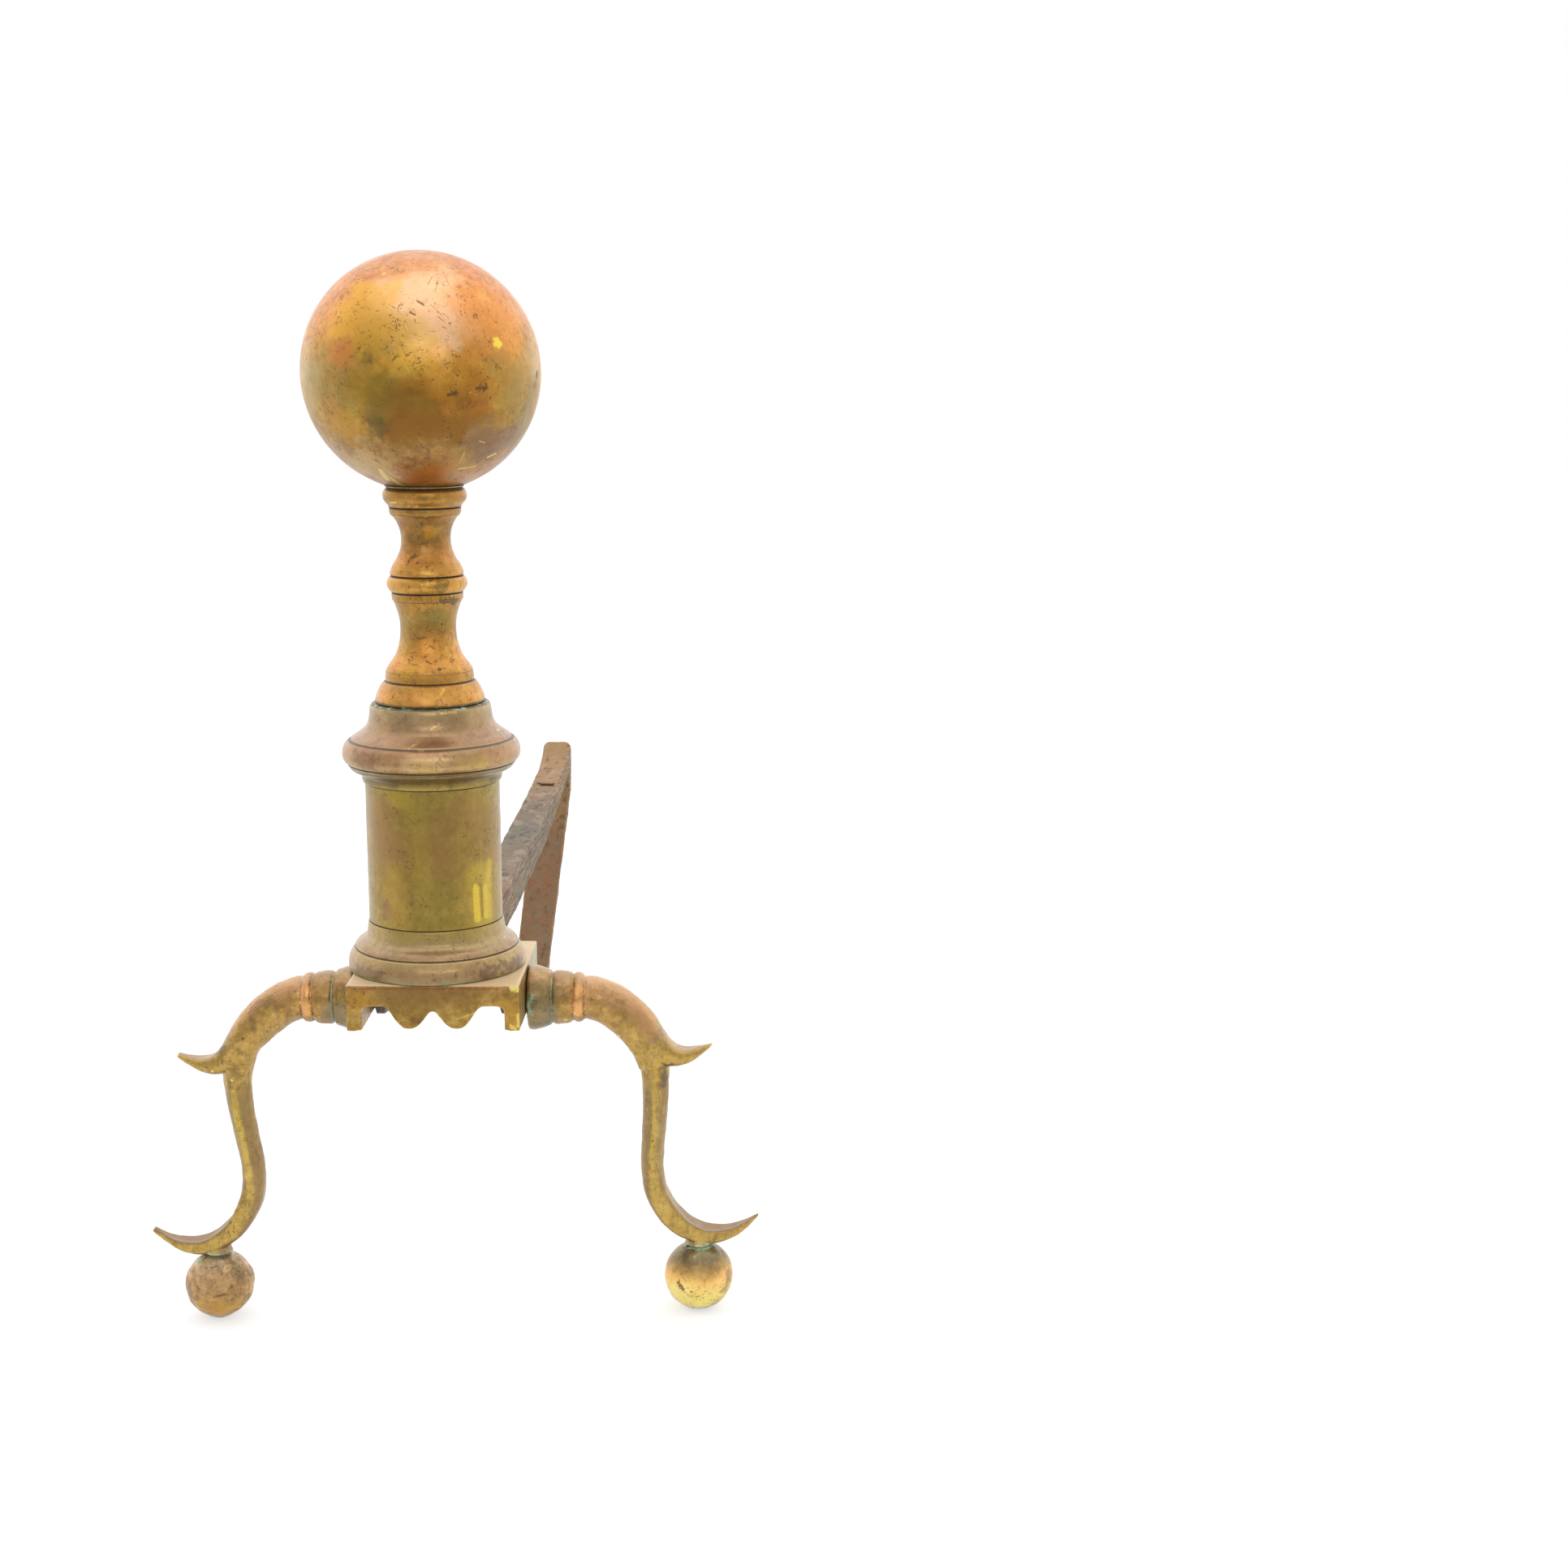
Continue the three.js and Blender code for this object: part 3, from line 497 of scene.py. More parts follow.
    def mark(self, start: Point, end: Optional[Point], radius: float, soft: float,
             ragged: float) -> Socket:
        """A spot, or a streak from start to end: 1 within the radius, fading out over soft.

        Args:
            start: the spot's middle or the streak's first point.
            end: the streak's last point, or None for a spot.
            radius: how far it is full.
            soft: how far beyond that it fades.
            ragged: how far its edge wanders.

        Returns:
            The mask.
        """
        away = self.vector("SUBTRACT", self.place, tuple(start))
        if end is not None:
            run = np.subtract(end, start)
            share = self.vector("DOT_PRODUCT", away, tuple(run / (run @ run)))
            share = self.math("MINIMUM", self.larger(share, 0.0), 1.0)
            scale = self.node("ShaderNodeVectorMath", operation="SCALE")
            self.feed(scale.inputs[0], tuple(run))
            self.feed(scale.inputs["Scale"], share)
            away = self.vector("SUBTRACT", away, scale.outputs["Vector"])
        distance = self.vector("LENGTH", away, (0.0, 0.0, 0.0))
        if ragged:
            wobble = self.minus(self.clouds(((radius + soft) * 0.7,) * 3, start[0], 5.0), 0.5)
            distance = self.plus(distance, self.times(wobble, ragged * 5))
        return self.between(distance, radius + soft, radius)

    def band(self, height: float, half: float, soft: float) -> Socket:
        """A ring at one height, 1 within half its width of it."""
        away = self.math("ABSOLUTE", self.minus(self.height(), height))
        return self.between(away, half + soft, half)

    def crevice(self, reach: float) -> Socket:
        """1 in corners and grooves narrower than reach, 0 in the open."""
        made = self.node("ShaderNodeAmbientOcclusion", samples=8)
        self.feed(made.inputs["Distance"], reach * MM)
        return self.minus(1.0, made.outputs["AO"])

    def bumped(self, height: Socket) -> Socket:
        """The surface's direction once this relief, in millimetres, is on it."""
        bump = self.node("ShaderNodeBump")
        self.feed(bump.inputs["Strength"], 1.0)
        self.feed(bump.inputs["Distance"], MM)
        self.feed(bump.inputs["Height"], height)
        return bump.outputs["Normal"]

    def end(self, surface: Socket) -> None:
        """Ends a material's tree in this surface."""
        output = self.node("ShaderNodeOutputMaterial")
        self.feed(output.inputs["Surface"], surface)

    def edges(self, low: float, high: float) -> Socket:
        """1 along edges that stand out."""
        pointed = self.node("ShaderNodeNewGeometry").outputs["Pointiness"]
        return self.between(pointed, low, high)


@dataclass(frozen=True)
class Patch:
    """Cloudy patches of a colour.

    Attributes:
        code: their colour.
        size: how far one reaches along each axis.
        start: cloud value at which they begin.
        full: cloud value at which they are solid.
        offset: shift of the pattern.
        strength: how much of the ground they hide.
        turn: degrees that the pattern is turned by.
    """

    code: str
    size: tuple[float, float, float]
    start: float
    full: float
    offset: float
    strength: float = 1.0
    turn: tuple[float, float, float] = (0.0, 0.0, 0.0)


@dataclass(frozen=True)
class Mark:
    """A spot or a streak of a colour at one place.

    Attributes:
        code: its colour.
        start: its middle, or the first point of a streak.
        radius: how far it is full.
        soft: how far beyond that it fades.
        end: the last point of a streak.
        ragged: how far its edge wanders.
        strength: how much of the ground it hides.
    """

    code: str
    start: tuple[float, ...]
    radius: float
    soft: float
    end: Optional[tuple[float, ...]] = None
    ragged: float = 0.0
    strength: float = 1.0


def marks_at(place: Callable[..., tuple[float, ...]], rows: Sequence[tuple]) -> tuple[Mark, ...]:
    """Marks whose places are given in a piece's own way.

    Args:
        place: turns the numbers that name a place into a point.
        rows: (code, start, radius, soft, end, ragged, strength) for each mark.

    Returns:
        The marks.
    """
    return tuple(Mark(code, place(*start), radius, soft, place(*end) if end else None, ragged, strength)
                 for code, start, radius, soft, end, ragged, strength in rows)


@dataclass(frozen=True)
class Ring:
    """A ring of colour round a turned piece: dark lines and verdigris in the grooves, and pale painted
    highlight lines beside some of them.

    Attributes:
        code: its colour.
        height: where it lies.
        half: half its width.
        soft: how far it fades.
        strength: how much of the ground it hides.
        broken: how much of it is missing, from 0 to 1.
    """

    code: str
    height: float
    half: float
    soft: float
    strength: float = 1.0
    broken: float = 0.0


@dataclass(frozen=True)
class Metal:
    """A tarnished metal finish.

    Attributes:
        name: the material's name.
        ground: its main colour, or stops of (height, hex code) from low to high.
        patches: cloudy patches of other colours.
        marks: spots and streaks at chosen places.
        rings: dark lines and verdigris in the grooves, and pale painted highlight lines beside some of
            them.
        metallic: how metallic it is.
        roughness: of the smooth and of the dull areas.
        pits: how many small dark pits there are, from 0 to 1.
        scratches: how strongly fine scratches show, from 0 to 1.
        turning: depth of the lathe's tool marks in millimetres.
        grain: depth of the surface's fine grain in millimetres.
        grime_and_shade_colour: colour laid in corners and grooves, partly grime and partly painted shade.
        grime_and_shade_reach: how wide a corner takes that colour.
        worn: colour of rubbed edges.
        worn_strength: how much the edges are rubbed.
        worn_levels: pointiness at which the rubbing begins and is full.
        stir: how far the ground's stops wander in height.
        mottle: how strongly small light and dark clouds show.
        coat: how much old lacquer lies on it.
        lift: how much the red, green and blue of all its colours are raised.
        dust: how much pale dust, with a painted sheen, lies on what faces up.
        backs: lays colour on faces by which way they point: tarnish and painted shade.
    """

    name: str
    ground: Union[str, tuple[tuple[float, str], ...]]
    patches: tuple[Patch, ...] = ()
    marks: tuple[Mark, ...] = ()
    rings: tuple[Ring, ...] = ()
    metallic: float = 0.8
    roughness: tuple[float, float] = (0.34, 0.52)
    pits: float = 0.5
    scratches: float = 0.5
    turning: float = 0.0
    grain: float = 0.02
    grime_and_shade_colour: str = "3A2E1E"
    grime_and_shade_reach: float = 2.0
    worn: str = "E3C564"
    worn_strength: float = 0.35
    worn_levels: tuple[float, float] = (0.53, 0.6)
    stir: float = 6.0
    mottle: float = 0.2
    coat: float = 0.45
    lift: tuple[float, float, float] = (1.0, 1.0, 1.0)
    dust: float = 0.0
    backs: Optional[Callable[[Graph, Socket], Socket]] = None

    def ground_colour(self, graph: Graph) -> object:
        """The colour under everything else: plain, or changing with height."""
        if isinstance(self.ground, str):
            return tint(self.ground)
        low, high = self.ground[0][0], self.ground[-1][0]
        wander = graph.times(graph.minus(graph.clouds((16.0,) * 3, 3.3), 0.5), self.stir)
        height = graph.plus(graph.height(), wander)
        share = graph.math("DIVIDE", graph.minus(height, low), high - low)
        return graph.ramp(share, [((z - low) / (high - low), code) for z, code in self.ground])

    def scratch_mask(self, graph: Graph) -> Socket:
        """Fine curved scratches a few millimetres long, thicker in some areas than in others."""
        found: Number = 0.0
        for size, turn, offset in (
            ((11.0, 1.9, 1.9), (0.0, 24.0, 12.0), 11.0), ((1.8, 1.8, 9.0), (12.0, 18.0, 0.0), 23.0),
            ((7.0, 2.6, 2.2), (30.0, -38.0, 0.0), 37.0),
        ):
            value = graph.clouds(size, offset, 1.0, turn)
            line = graph.between(graph.math("ABSOLUTE", graph.minus(value, 0.5)), 0.028, 0.009)
            kept = graph.between(graph.clouds((3.4,) * 3, offset + 1.0, 2.0), 0.54, 0.62)
            found = graph.larger(found, graph.times(line, kept))
        return graph.times(found, graph.between(graph.clouds((15.0,) * 3, 31.0), 0.34, 0.58))

    def pit_mask(self, graph: Graph) -> Socket:
        """Small pits that gather in places."""
        area = graph.between(graph.clouds((10.0,) * 3, 41.0), 0.6 - 0.24 * self.pits,
                             0.76 - 0.24 * self.pits)
        small = graph.dots(1.5, 0.27, 5.0, 0.5)
        large = graph.dots(4.4, 0.6, 9.0, 0.5)
        return graph.times(graph.larger(small, large), area)

    def material(self) -> bpy.types.Material:
        """Builds the node material.

        Returns:
            The material.
        """
        made = bpy.data.materials.new(self.name)
        made.use_nodes = True
        graph = Graph(made.node_tree)
        colour = self.ground_colour(graph)
        for patch in self.patches:
            value = graph.clouds(patch.size, patch.offset, 5.0, patch.turn, 0.3)
            cover = graph.times(graph.between(value, patch.start, patch.full), patch.strength)
            colour = graph.lay(colour, patch.code, cover)
        small = graph.clouds((2.4,) * 3, 7.0, 7.0)
        large = graph.clouds((8.0,) * 3, 13.0, 6.0)
        for value, weight in ((small, 0.85), (large, 0.7)):
            darker = graph.times(graph.between(value, 0.53, 0.34), weight * self.mottle)
            colour = graph.lay(colour, "553D18", darker)
            lighter = graph.times(graph.between(value, 0.49, 0.68), weight * 0.7 * self.mottle)
            colour = graph.lay(colour, "E8C684", lighter)
        for mark in self.marks:
            mask = graph.mark(mark.start, mark.end, mark.radius, mark.soft, mark.ragged)
            colour = graph.lay(colour, mark.code, mask, mark.strength)
        scratches = self.scratch_mask(graph)
        pits = self.pit_mask(graph)
        colour = graph.lay(colour, "523C1E", scratches, 0.75 * self.scratches)
        colour = graph.lay(colour, "3B2C1C", pits, 0.75 * min(1.0, self.pits * 2))
        flecks = graph.times(graph.dots(3.1, 0.26, 17.0, 0.4),
                             graph.between(graph.clouds((12.0,) * 3, 45.0), 0.46, 0.6))
        colour = graph.lay(colour, self.worn, flecks, 0.6 * self.mottle)
        if self.worn_strength:
            rub = graph.times(graph.edges(*self.worn_levels),
                              graph.between(graph.clouds((5.0,) * 3, 51.0), 0.38, 0.6))
            colour = graph.lay(colour, self.worn, rub, self.worn_strength)
        # Corners and grooves that ambient occlusion finds take a dark colour: partly grime, partly
        # painted shade.
        grime_and_shade = graph.between(graph.crevice(self.grime_and_shade_reach), 0.3, 0.75)
        colour = graph.lay(colour, self.grime_and_shade_colour, grime_and_shade, 0.85)
        dull: Number = graph.larger(grime_and_shade, pits)
        for ring in self.rings:
            mask = graph.band(ring.height, ring.half, ring.soft)
            if ring.broken:
                start = 0.2 + 0.42 * ring.broken
                gaps = graph.between(graph.clouds((4.0, 4.0, 1.5), ring.height), start, start + 0.14)
                mask = graph.times(mask, gaps)
            mask = graph.times(mask, ring.strength)
            colour = graph.lay(colour, ring.code, mask)
            dull = graph.larger(dull, mask)
        # What faces up takes a pale colour: dust, and a painted sheen of the light from above.
        if self.dust:
            lying = graph.between(graph.facing((0.0, 0.0, 1.0)), 0.55, 0.95)
            lying = graph.times(lying, self.dust)
            colour = graph.lay(colour, "D6B898", lying)
            dull = graph.larger(dull, lying)
        lifted = graph.vector("MINIMUM", graph.vector("MULTIPLY", colour, self.lift), (BRIGHTEST,) * 3)
        if self.backs:
            lifted = self.backs(graph, lifted)
        self.finish(graph, lifted, dull, scratches, pits)
        return made

    def finish(self, graph: Graph, colour: Socket, dull: Socket, scratches: Socket, pits: Socket) -> None:
        """Ends the tree in a shader.

        Args:
            graph: the tree so far.
            colour: the surface's colour.
            dull: where grime and painted shade in corners, pits, rings and dust with its sheen lie; the
                metal is duller there.
            scratches: where scratches are.
            pits: where pits are.
        """
        shader = graph.node("ShaderNodeBsdfPrincipled")
        smooth, rough = self.roughness
        cloud = graph.between(graph.clouds((8.0,) * 3, 61.0), 0.3, 0.7)
        fine = graph.times(graph.minus(graph.clouds((0.9,) * 3, 63.0), 0.5), 0.16)
        level = graph.plus(graph.plus(graph.times(cloud, rough - smooth), smooth), fine)
        level = graph.plus(level, graph.times(dull, 0.35))
        graph.feed(shader.inputs["Base Color"], colour)
        metal = graph.times(graph.minus(1.0, graph.times(dull, 0.8)), self.metallic)
        graph.feed(shader.inputs["Metallic"], metal)
        graph.feed(shader.inputs["Roughness"], graph.math("MINIMUM", level, 0.95))
        graph.feed(shader.inputs["Coat Weight"], self.coat)
        graph.feed(shader.inputs["Coat Roughness"], 0.3)
        relief = graph.times(graph.clouds((1.1,) * 3, 71.0, 6.0), self.grain * 6)
        relief = graph.minus(relief, graph.times(scratches, 0.03 * self.scratches))
        relief = graph.minus(relief, graph.times(pits, 0.12))
        if self.turning:
            tool = graph.clouds((60.0, 60.0, 0.45), 81.0, 3.0)
            relief = graph.plus(relief, graph.times(tool, self.turning * 4))
        graph.feed(shader.inputs["Normal"], graph.bumped(relief))
        graph.end(shader.outputs["BSDF"])


# ---- studio


@dataclass
class Studio:
    """The camera, the pale floor, the white surroundings and the lamps.

    Attributes:
        lens: focal length for a 36 mm wide picture.
        stand: from the column's foot to the camera.
        dip: degrees that the camera looks down.
        floor_half: half the floor's width.
        floor_glow: how much the floor shines for the camera, so that it looks white.
        floor_loss: how much of that is missing far in front, where only the metal sees it.
        near_front: from the plinth to where that loss begins.
        far_front: from the plinth to where it is full.
    """

    lens: float = 55.15
    stand: tuple[float, float, float] = (148.2, -995.6, 424.8)
    dip: float = 10.73
    floor_half: float = 6000.0
    floor_glow: float = 0.62
    floor_loss: float = 0.56
    near_front: float = 380.0
    far_front: float = 620.0

    def camera_place(self) -> np.ndarray:
        """Where the camera stands."""
        return np.array([AXIS[0], AXIS[1], 0.0]) + np.array(self.stand)

    def view_of(self, centre: np.ndarray) -> tuple[np.ndarray, np.ndarray, np.ndarray]:
        """Right, up and toward the camera, as seen from a point of the object."""
        toward = self.camera_place() - centre
        toward = toward / np.linalg.norm(toward)
        right = np.cross([0.0, 0.0, 1.0], toward)
        right = right / np.linalg.norm(right)
        return right, np.cross(toward, right), toward

    def build(self) -> None:
        """Builds the whole studio."""
        self.place_camera()
        self.surround()
        self.lay_floor()
        self.hang_lamps()
        bpy.context.scene.view_settings.view_transform = "Standard"

    def place_camera(self) -> None:
        """Sets the camera at the picture's viewing angle."""
        data = bpy.data.cameras.new("camera")
        data.lens = self.lens
        data.sensor_width = 36.0
        data.clip_end = 30.0
        camera = bpy.data.objects.new("camera", data)
        camera.location = self.camera_place() * MM
        camera.rotation_euler = (math.radians(90 - self.dip), 0.0, 0.0)
        bpy.context.scene.collection.objects.link(camera)
        bpy.context.scene.camera = camera

    def surround(self) -> None:
        """White for the camera; for the metal, bright above and behind and dimmer in front."""
        world = bpy.data.worlds.new("surroundings")
        bpy.context.scene.world = world
        world.use_nodes = True
        graph = Graph(world.node_tree)
        way = graph.node("ShaderNodeTexCoord").outputs["Generated"]
        up = graph.vector("DOT_PRODUCT", way, (0.0, 0.0, 1.0))
        back = graph.vector("DOT_PRODUCT", way, (0.0, 1.0, 0.0))
        level = graph.plus(0.66, graph.times(graph.between(back, -0.55, 0.35), 0.74))
        level = graph.larger(level, graph.times(graph.between(up, 0.25, 0.85), 1.0))
        light = graph.node("ShaderNodeLightPath")
        grey = graph.node("ShaderNodeCombineColor")
        for channel in ("Red", "Green", "Blue"):
            graph.feed(grey.inputs[channel], level)
        seen = graph.mix(light.outputs["Is Camera Ray"], grey.outputs["Color"], (1.0, 1.0, 1.0, 1.0))
        shader = graph.node("ShaderNodeBackground")
        graph.feed(shader.inputs["Color"], seen)
        graph.feed(shader.inputs["Strength"], 1.0)
        output = graph.node("ShaderNodeOutputWorld")
        graph.feed(output.inputs["Surface"], shader.outputs["Background"])

    def lay_floor(self) -> None:
        """A plain floor that shows white and keeps the object's shadow."""
        half = self.floor_half
        corners = np.array([[-half, -half, 0], [half, -half, 0], [half, half, 0], [-half, half, 0]],
                           float)
        floor = make_object("floor", Shell(corners, [(0, 1, 2, 3)]))
        made = bpy.data.materials.new("pale_floor")
        made.use_nodes = True
        graph = Graph(made.node_tree)
        light = graph.node("ShaderNodeLightPath")
        seen = graph.larger(light.outputs["Is Camera Ray"], light.outputs["Is Glossy Ray"])
        seen = graph.larger(seen, light.outputs["Is Transmission Ray"])
        matt = graph.node("ShaderNodeBsdfDiffuse")
        tone = graph.clouds((40.0,) * 3, 1.0)
        graph.feed(matt.inputs["Color"],
                   graph.mix(graph.times(tone, 0.02), tint("B4B4B4"), tint("ACACAC")))
        glow = graph.node("ShaderNodeEmission")
        graph.feed(glow.inputs["Color"], (1.0, 1.0, 1.0, 1.0))
        depth = graph.vector("DOT_PRODUCT", graph.place, (0.0, 1.0, 0.0))
        edge = float(low_corner("plinth")[1])
        far_front = graph.between(depth, edge - self.near_front, edge - self.far_front)
        mirrored = graph.times(light.outputs["Is Glossy Ray"], far_front)
        kept = graph.minus(self.floor_glow, graph.times(mirrored, self.floor_loss))
        graph.feed(glow.inputs["Strength"], graph.times(seen, kept))
        both = graph.node("ShaderNodeAddShader")
        graph.feed(both.inputs[0], matt.outputs["BSDF"])
        graph.feed(both.inputs[1], glow.outputs["Emission"])
        graph.end(both.outputs["Shader"])
        floor.data.materials.append(made)

    def hang_lamps(self) -> None:
        """Two softboxes: a wide one nearly overhead, and a small one above the camera."""
        ball = middle("ball_lower_half")
        right, up, toward = self.view_of(ball)
        for name, lift, turn, distance, size, power in (
            ("overhead_softbox", 77.0, 2.0, 900.0, (900.0, 620.0), 1.1),
            ("front_softbox", 18.5, 1.0, 1500.0, (1300.0, 180.0), 2.6),
        ):
            way = math.cos(math.radians(lift)) * toward + math.sin(math.radians(lift)) * up
            way = way + math.tan(math.radians(turn)) * right
            data = bpy.data.lights.new(name, "AREA")
            data.shape = "RECTANGLE"
            data.size, data.size_y = size[0] * MM, size[1] * MM
            data.energy = power
            lamp = bpy.data.objects.new(name, data)
            lamp.location = (ball + way * distance) * MM
            lamp.rotation_euler = Vector(way).to_track_quat("Z", "Y").to_euler()
            lamp.visible_camera = False
            bpy.context.scene.collection.objects.link(lamp)


# ---- the ball


@dataclass
class Ball:
    """The hollow ball finial in two halves.

    Attributes:
        studio: tells where the camera is, from which the stains' places are given.
        radius: of the ball.
        wall: thickness of its wall.
        neck: radius where it stands on the collar.
        lip: height of the lower half's inner lip.
        lip_wall: thickness of that lip.
        stem: radius of the hole for the bush.
        gap: play between the lip and the upper half.
        dents: (right, up, reach, depth) of its dents as seen in the picture.
    """

    studio: Studio
    radius: float = 48.8
    wall: float = 2.6
    neck: float = 17.2
    lip: float = 3.0
    lip_wall: float = 1.2
    stem: float = 8.3
    gap: float = 0.3
    dents: tuple[tuple[float, float, float, float], ...] = (
        (0.953, -0.028, 1.6, 0.5), (0.45, -0.12, 2.4, 0.12), (0.86, -0.4, 3.0, 0.12),
        (-0.37, -0.41, 3.0, 0.1), (-0.8, -0.1, 12.0, 0.25), (0.55, 0.62, 14.0, 0.22),
    )

    def __post_init__(self) -> None:
        """Finds the ball's middle from its lower half."""
        self.centre = np.array([AXIS[0], AXIS[1], low_corner("ball_upper_half")[2]])
        self.right, self.up, self.toward = self.studio.view_of(self.centre)
        self.foot = low_corner("ball_lower_half")[2] - self.centre[2]

    def at(self, across: float, upward: float) -> tuple[float, ...]:
        """The point of the ball seen this far from its middle, in shares of its radius."""
        depth = math.sqrt(max(0.0, 1.0 - across**2 - upward**2))
        way = across * self.right + upward * self.up + depth * self.toward
        return tuple(self.centre + self.radius * way)

    def arc(self, radius: float, start: float, end: float, count: int) -> list[tuple[float, float]]:
        """Points of a circle between two angles, in degrees above the equator, closer at the equator."""
        shares = np.linspace(0.0, 1.0, count) ** 1.35
        if abs(end) < abs(start):
            shares = 1.0 - shares[::-1]
        angles = np.radians(start + (end - start) * shares)
        return [(radius * math.cos(a), radius * math.sin(a)) for a in angles]

    def lower_outline(self) -> np.ndarray:
        """Outline of the lower half: outside up to the equator, the lip, and the inside down again."""
        neck = -math.degrees(math.acos(self.neck / self.radius))
        inner = self.radius - self.wall
        lip_outer = inner - self.gap
        inside = lip_outer - self.lip_wall
        stem = -math.degrees(math.acos(self.stem / inside))
        rows = self.arc(self.radius, neck, 0.0, 58)
        rows += [(inner, 0.0), (lip_outer, -self.gap), (lip_outer, self.lip), (inside, self.lip)]
        rows += self.arc(inside, -3.9, stem, 20)
        rows += [(self.stem, self.foot)]
        return np.array(rows)

    def upper_outline(self) -> np.ndarray:
        """Outline of the upper half: outside up to the top and the inside down again."""
        inner = self.radius - self.wall
        lip_angle = math.degrees(math.asin((self.lip + self.gap) / inner))
        rows = self.arc(self.radius, 0.0, 90.0, 62)
        rows += self.arc(inner, 90.0, lip_angle, 18)
        rows += [(inner, self.lip + self.gap), (inner, 0.0)]
        return np.array(rows)

    def dent(self, points: np.ndarray) -> np.ndarray:
        """How far each point lies in or out of the true ball."""
        outside = np.linalg.norm(points - self.centre, axis=1) > self.radius - 0.5
        amount = 0.1 * uneven(points, (26.0,) * 3, 2, 4.0) - 0.1
        for across, upward, reach, depth in self.dents:
            away = np.linalg.norm(points - np.array(self.at(across, upward)), axis=1)
            amount -= depth * np.exp(-((away / reach) ** 2))
        for start, end in self.gouges():
            run = np.subtract(end, start)
            share = np.clip((points - start) @ run / (run @ run), 0.0, 1.0)
            away = np.linalg.norm(points - start - share[:, None] * run, axis=1)
            amount -= 0.28 * np.exp(-((away / 0.8) ** 2))
        return np.where(outside, amount, 0.0)

    def gouges(self) -> list[tuple[tuple[float, ...], tuple[float, ...]]]:
        """First and last point of the two short gouges on the upper front."""
        return [(self.at(-0.012, 0.558), self.at(0.03, 0.532)),
                (self.at(-0.075, 0.47), self.at(-0.038, 0.45))]

    def finish(self) -> bpy.types.Material:
        """Orange above, gold in the middle, olive and mauve-brown below; a brighter top, highlights and
        rim reflections are painted light.
        """
        z, r = self.centre[2], self.radius
        # The stops hold the tarnish's colours and also a painted gradient of the light from above:
        # lighter towards the top, darker towards the bottom.
        stops = ((-1.0, "A86C34"), (-0.82, "A67648"), (-0.58, "9A7440"), (-0.36, "AA8022"),
                 (-0.05, "C2902C"),
                 (0.24, "C48A38"), (0.48, "D58E4E"), (0.8, "D08450"), (1.0, "C87C4A"))
        (a, b), (c, d) = self.gouges()
        spots = (
            # The first two spots are painted highlights of the lamp above: pale pink high on the front
            # and pale peach on the crown.
            ("F2C4AA", (0.04, 0.52), 11.0, 18.0, 0.74), ("DEA680", (0.1, 0.86), 8.0, 14.0, 0.3),
            ("DCA43A", (-0.48, 0.42), 9.0, 13.0, 0.75), ("DA8E46", (0.58, 0.42), 11.0, 12.0, 0.6),
            ("A07C3C", (0.72, -0.04), 7.0, 10.0, 0.6),
            # The pale beige spots at the far left and the far right are painted reflections of the white
            # surroundings on the rims.
            ("B0A078", (-0.92, -0.05), 6.0, 10.0, 0.6), ("B49C74", (0.93, 0.12), 4.0, 8.0, 0.5),
            ("D0A63E", (-0.08, 0.16), 7.0, 12.0, 0.55), ("C98A2E", (0.2, -0.05), 8.0, 10.0, 0.45),
            ("967A2E", (-0.42, -0.14), 10.0, 13.0, 0.5), ("8C7A4A", (-0.78, -0.08), 8.0, 10.0, 0.45),
            ("7C641E", (-0.3, -0.1), 3.0, 6.0, 0.4), ("6E5C2A", (-0.43, 0.12), 1.6, 2.6, 0.6),
            ("54461E", (-0.37, -0.43), 2.2, 4.6, 0.7), ("7A6424", (-0.4, -0.27), 3.0, 5.0, 0.4),
            ("B8862E", (-0.64, -0.44), 4.0, 6.0, 0.6), ("C87F3E", (-0.617, 0.163), 3.2, 4.5, 0.8),
            ("B9803C", (-0.72, -0.28), 3.0, 4.0, 0.5), ("C8963A", (-0.3, 0.28), 6.0, 9.0, 0.55),
            ("B06E1E", (0.45, -0.2), 5.0, 7.0, 0.45), ("96804A", (0.82, -0.12), 7.0, 9.0, 0.5),
            ("8A7A48", (0.84, -0.4), 6.0, 7.0, 0.6), ("80604A", (0.56, -0.57), 6.0, 8.0, 0.8),
            ("8C6A58", (0.74, -0.5), 3.0, 5.0, 0.6), ("B4702A", (0.06, -0.86), 6.0, 8.0, 0.75),
            ("B89C70", (-0.45, -0.76), 6.0, 9.0, 0.65), ("A0803E", (0.33, -0.72), 4.0, 7.0, 0.35),
            ("4A4234", (0.953, -0.028), 0.9, 1.2, 0.95), ("5C5444", (0.94, -0.09), 0.9, 2.4, 0.7),
            ("E8D24C", (0.615, 0.233), 1.5, 0.9, 0.95), ("E6BE50", (-0.276, 0.783), 0.6, 0.5, 0.9),
            ("D9B24C", (0.5, 0.62), 1.4, 2.4, 0.3), ("F4ECD8", (0.386, -0.165), 0.22, 0.12, 1.0),
        )
        marks = [Mark(code, self.at(*place), reach, soft, None, (reach + soft) * 0.42, strength)
                 for code, place, reach, soft, strength in spots]
        marks.insert(8, Mark("825400", self.at(-0.14, -0.34), 8.0, 10.0, self.at(0.3, -0.3), 6.0, 0.9))
        marks += [Mark("7C5638", a, 0.42, 0.3, b, 0.0, 0.85), Mark("7C5638", c, 0.36, 0.3, d, 0.0, 0.85)]
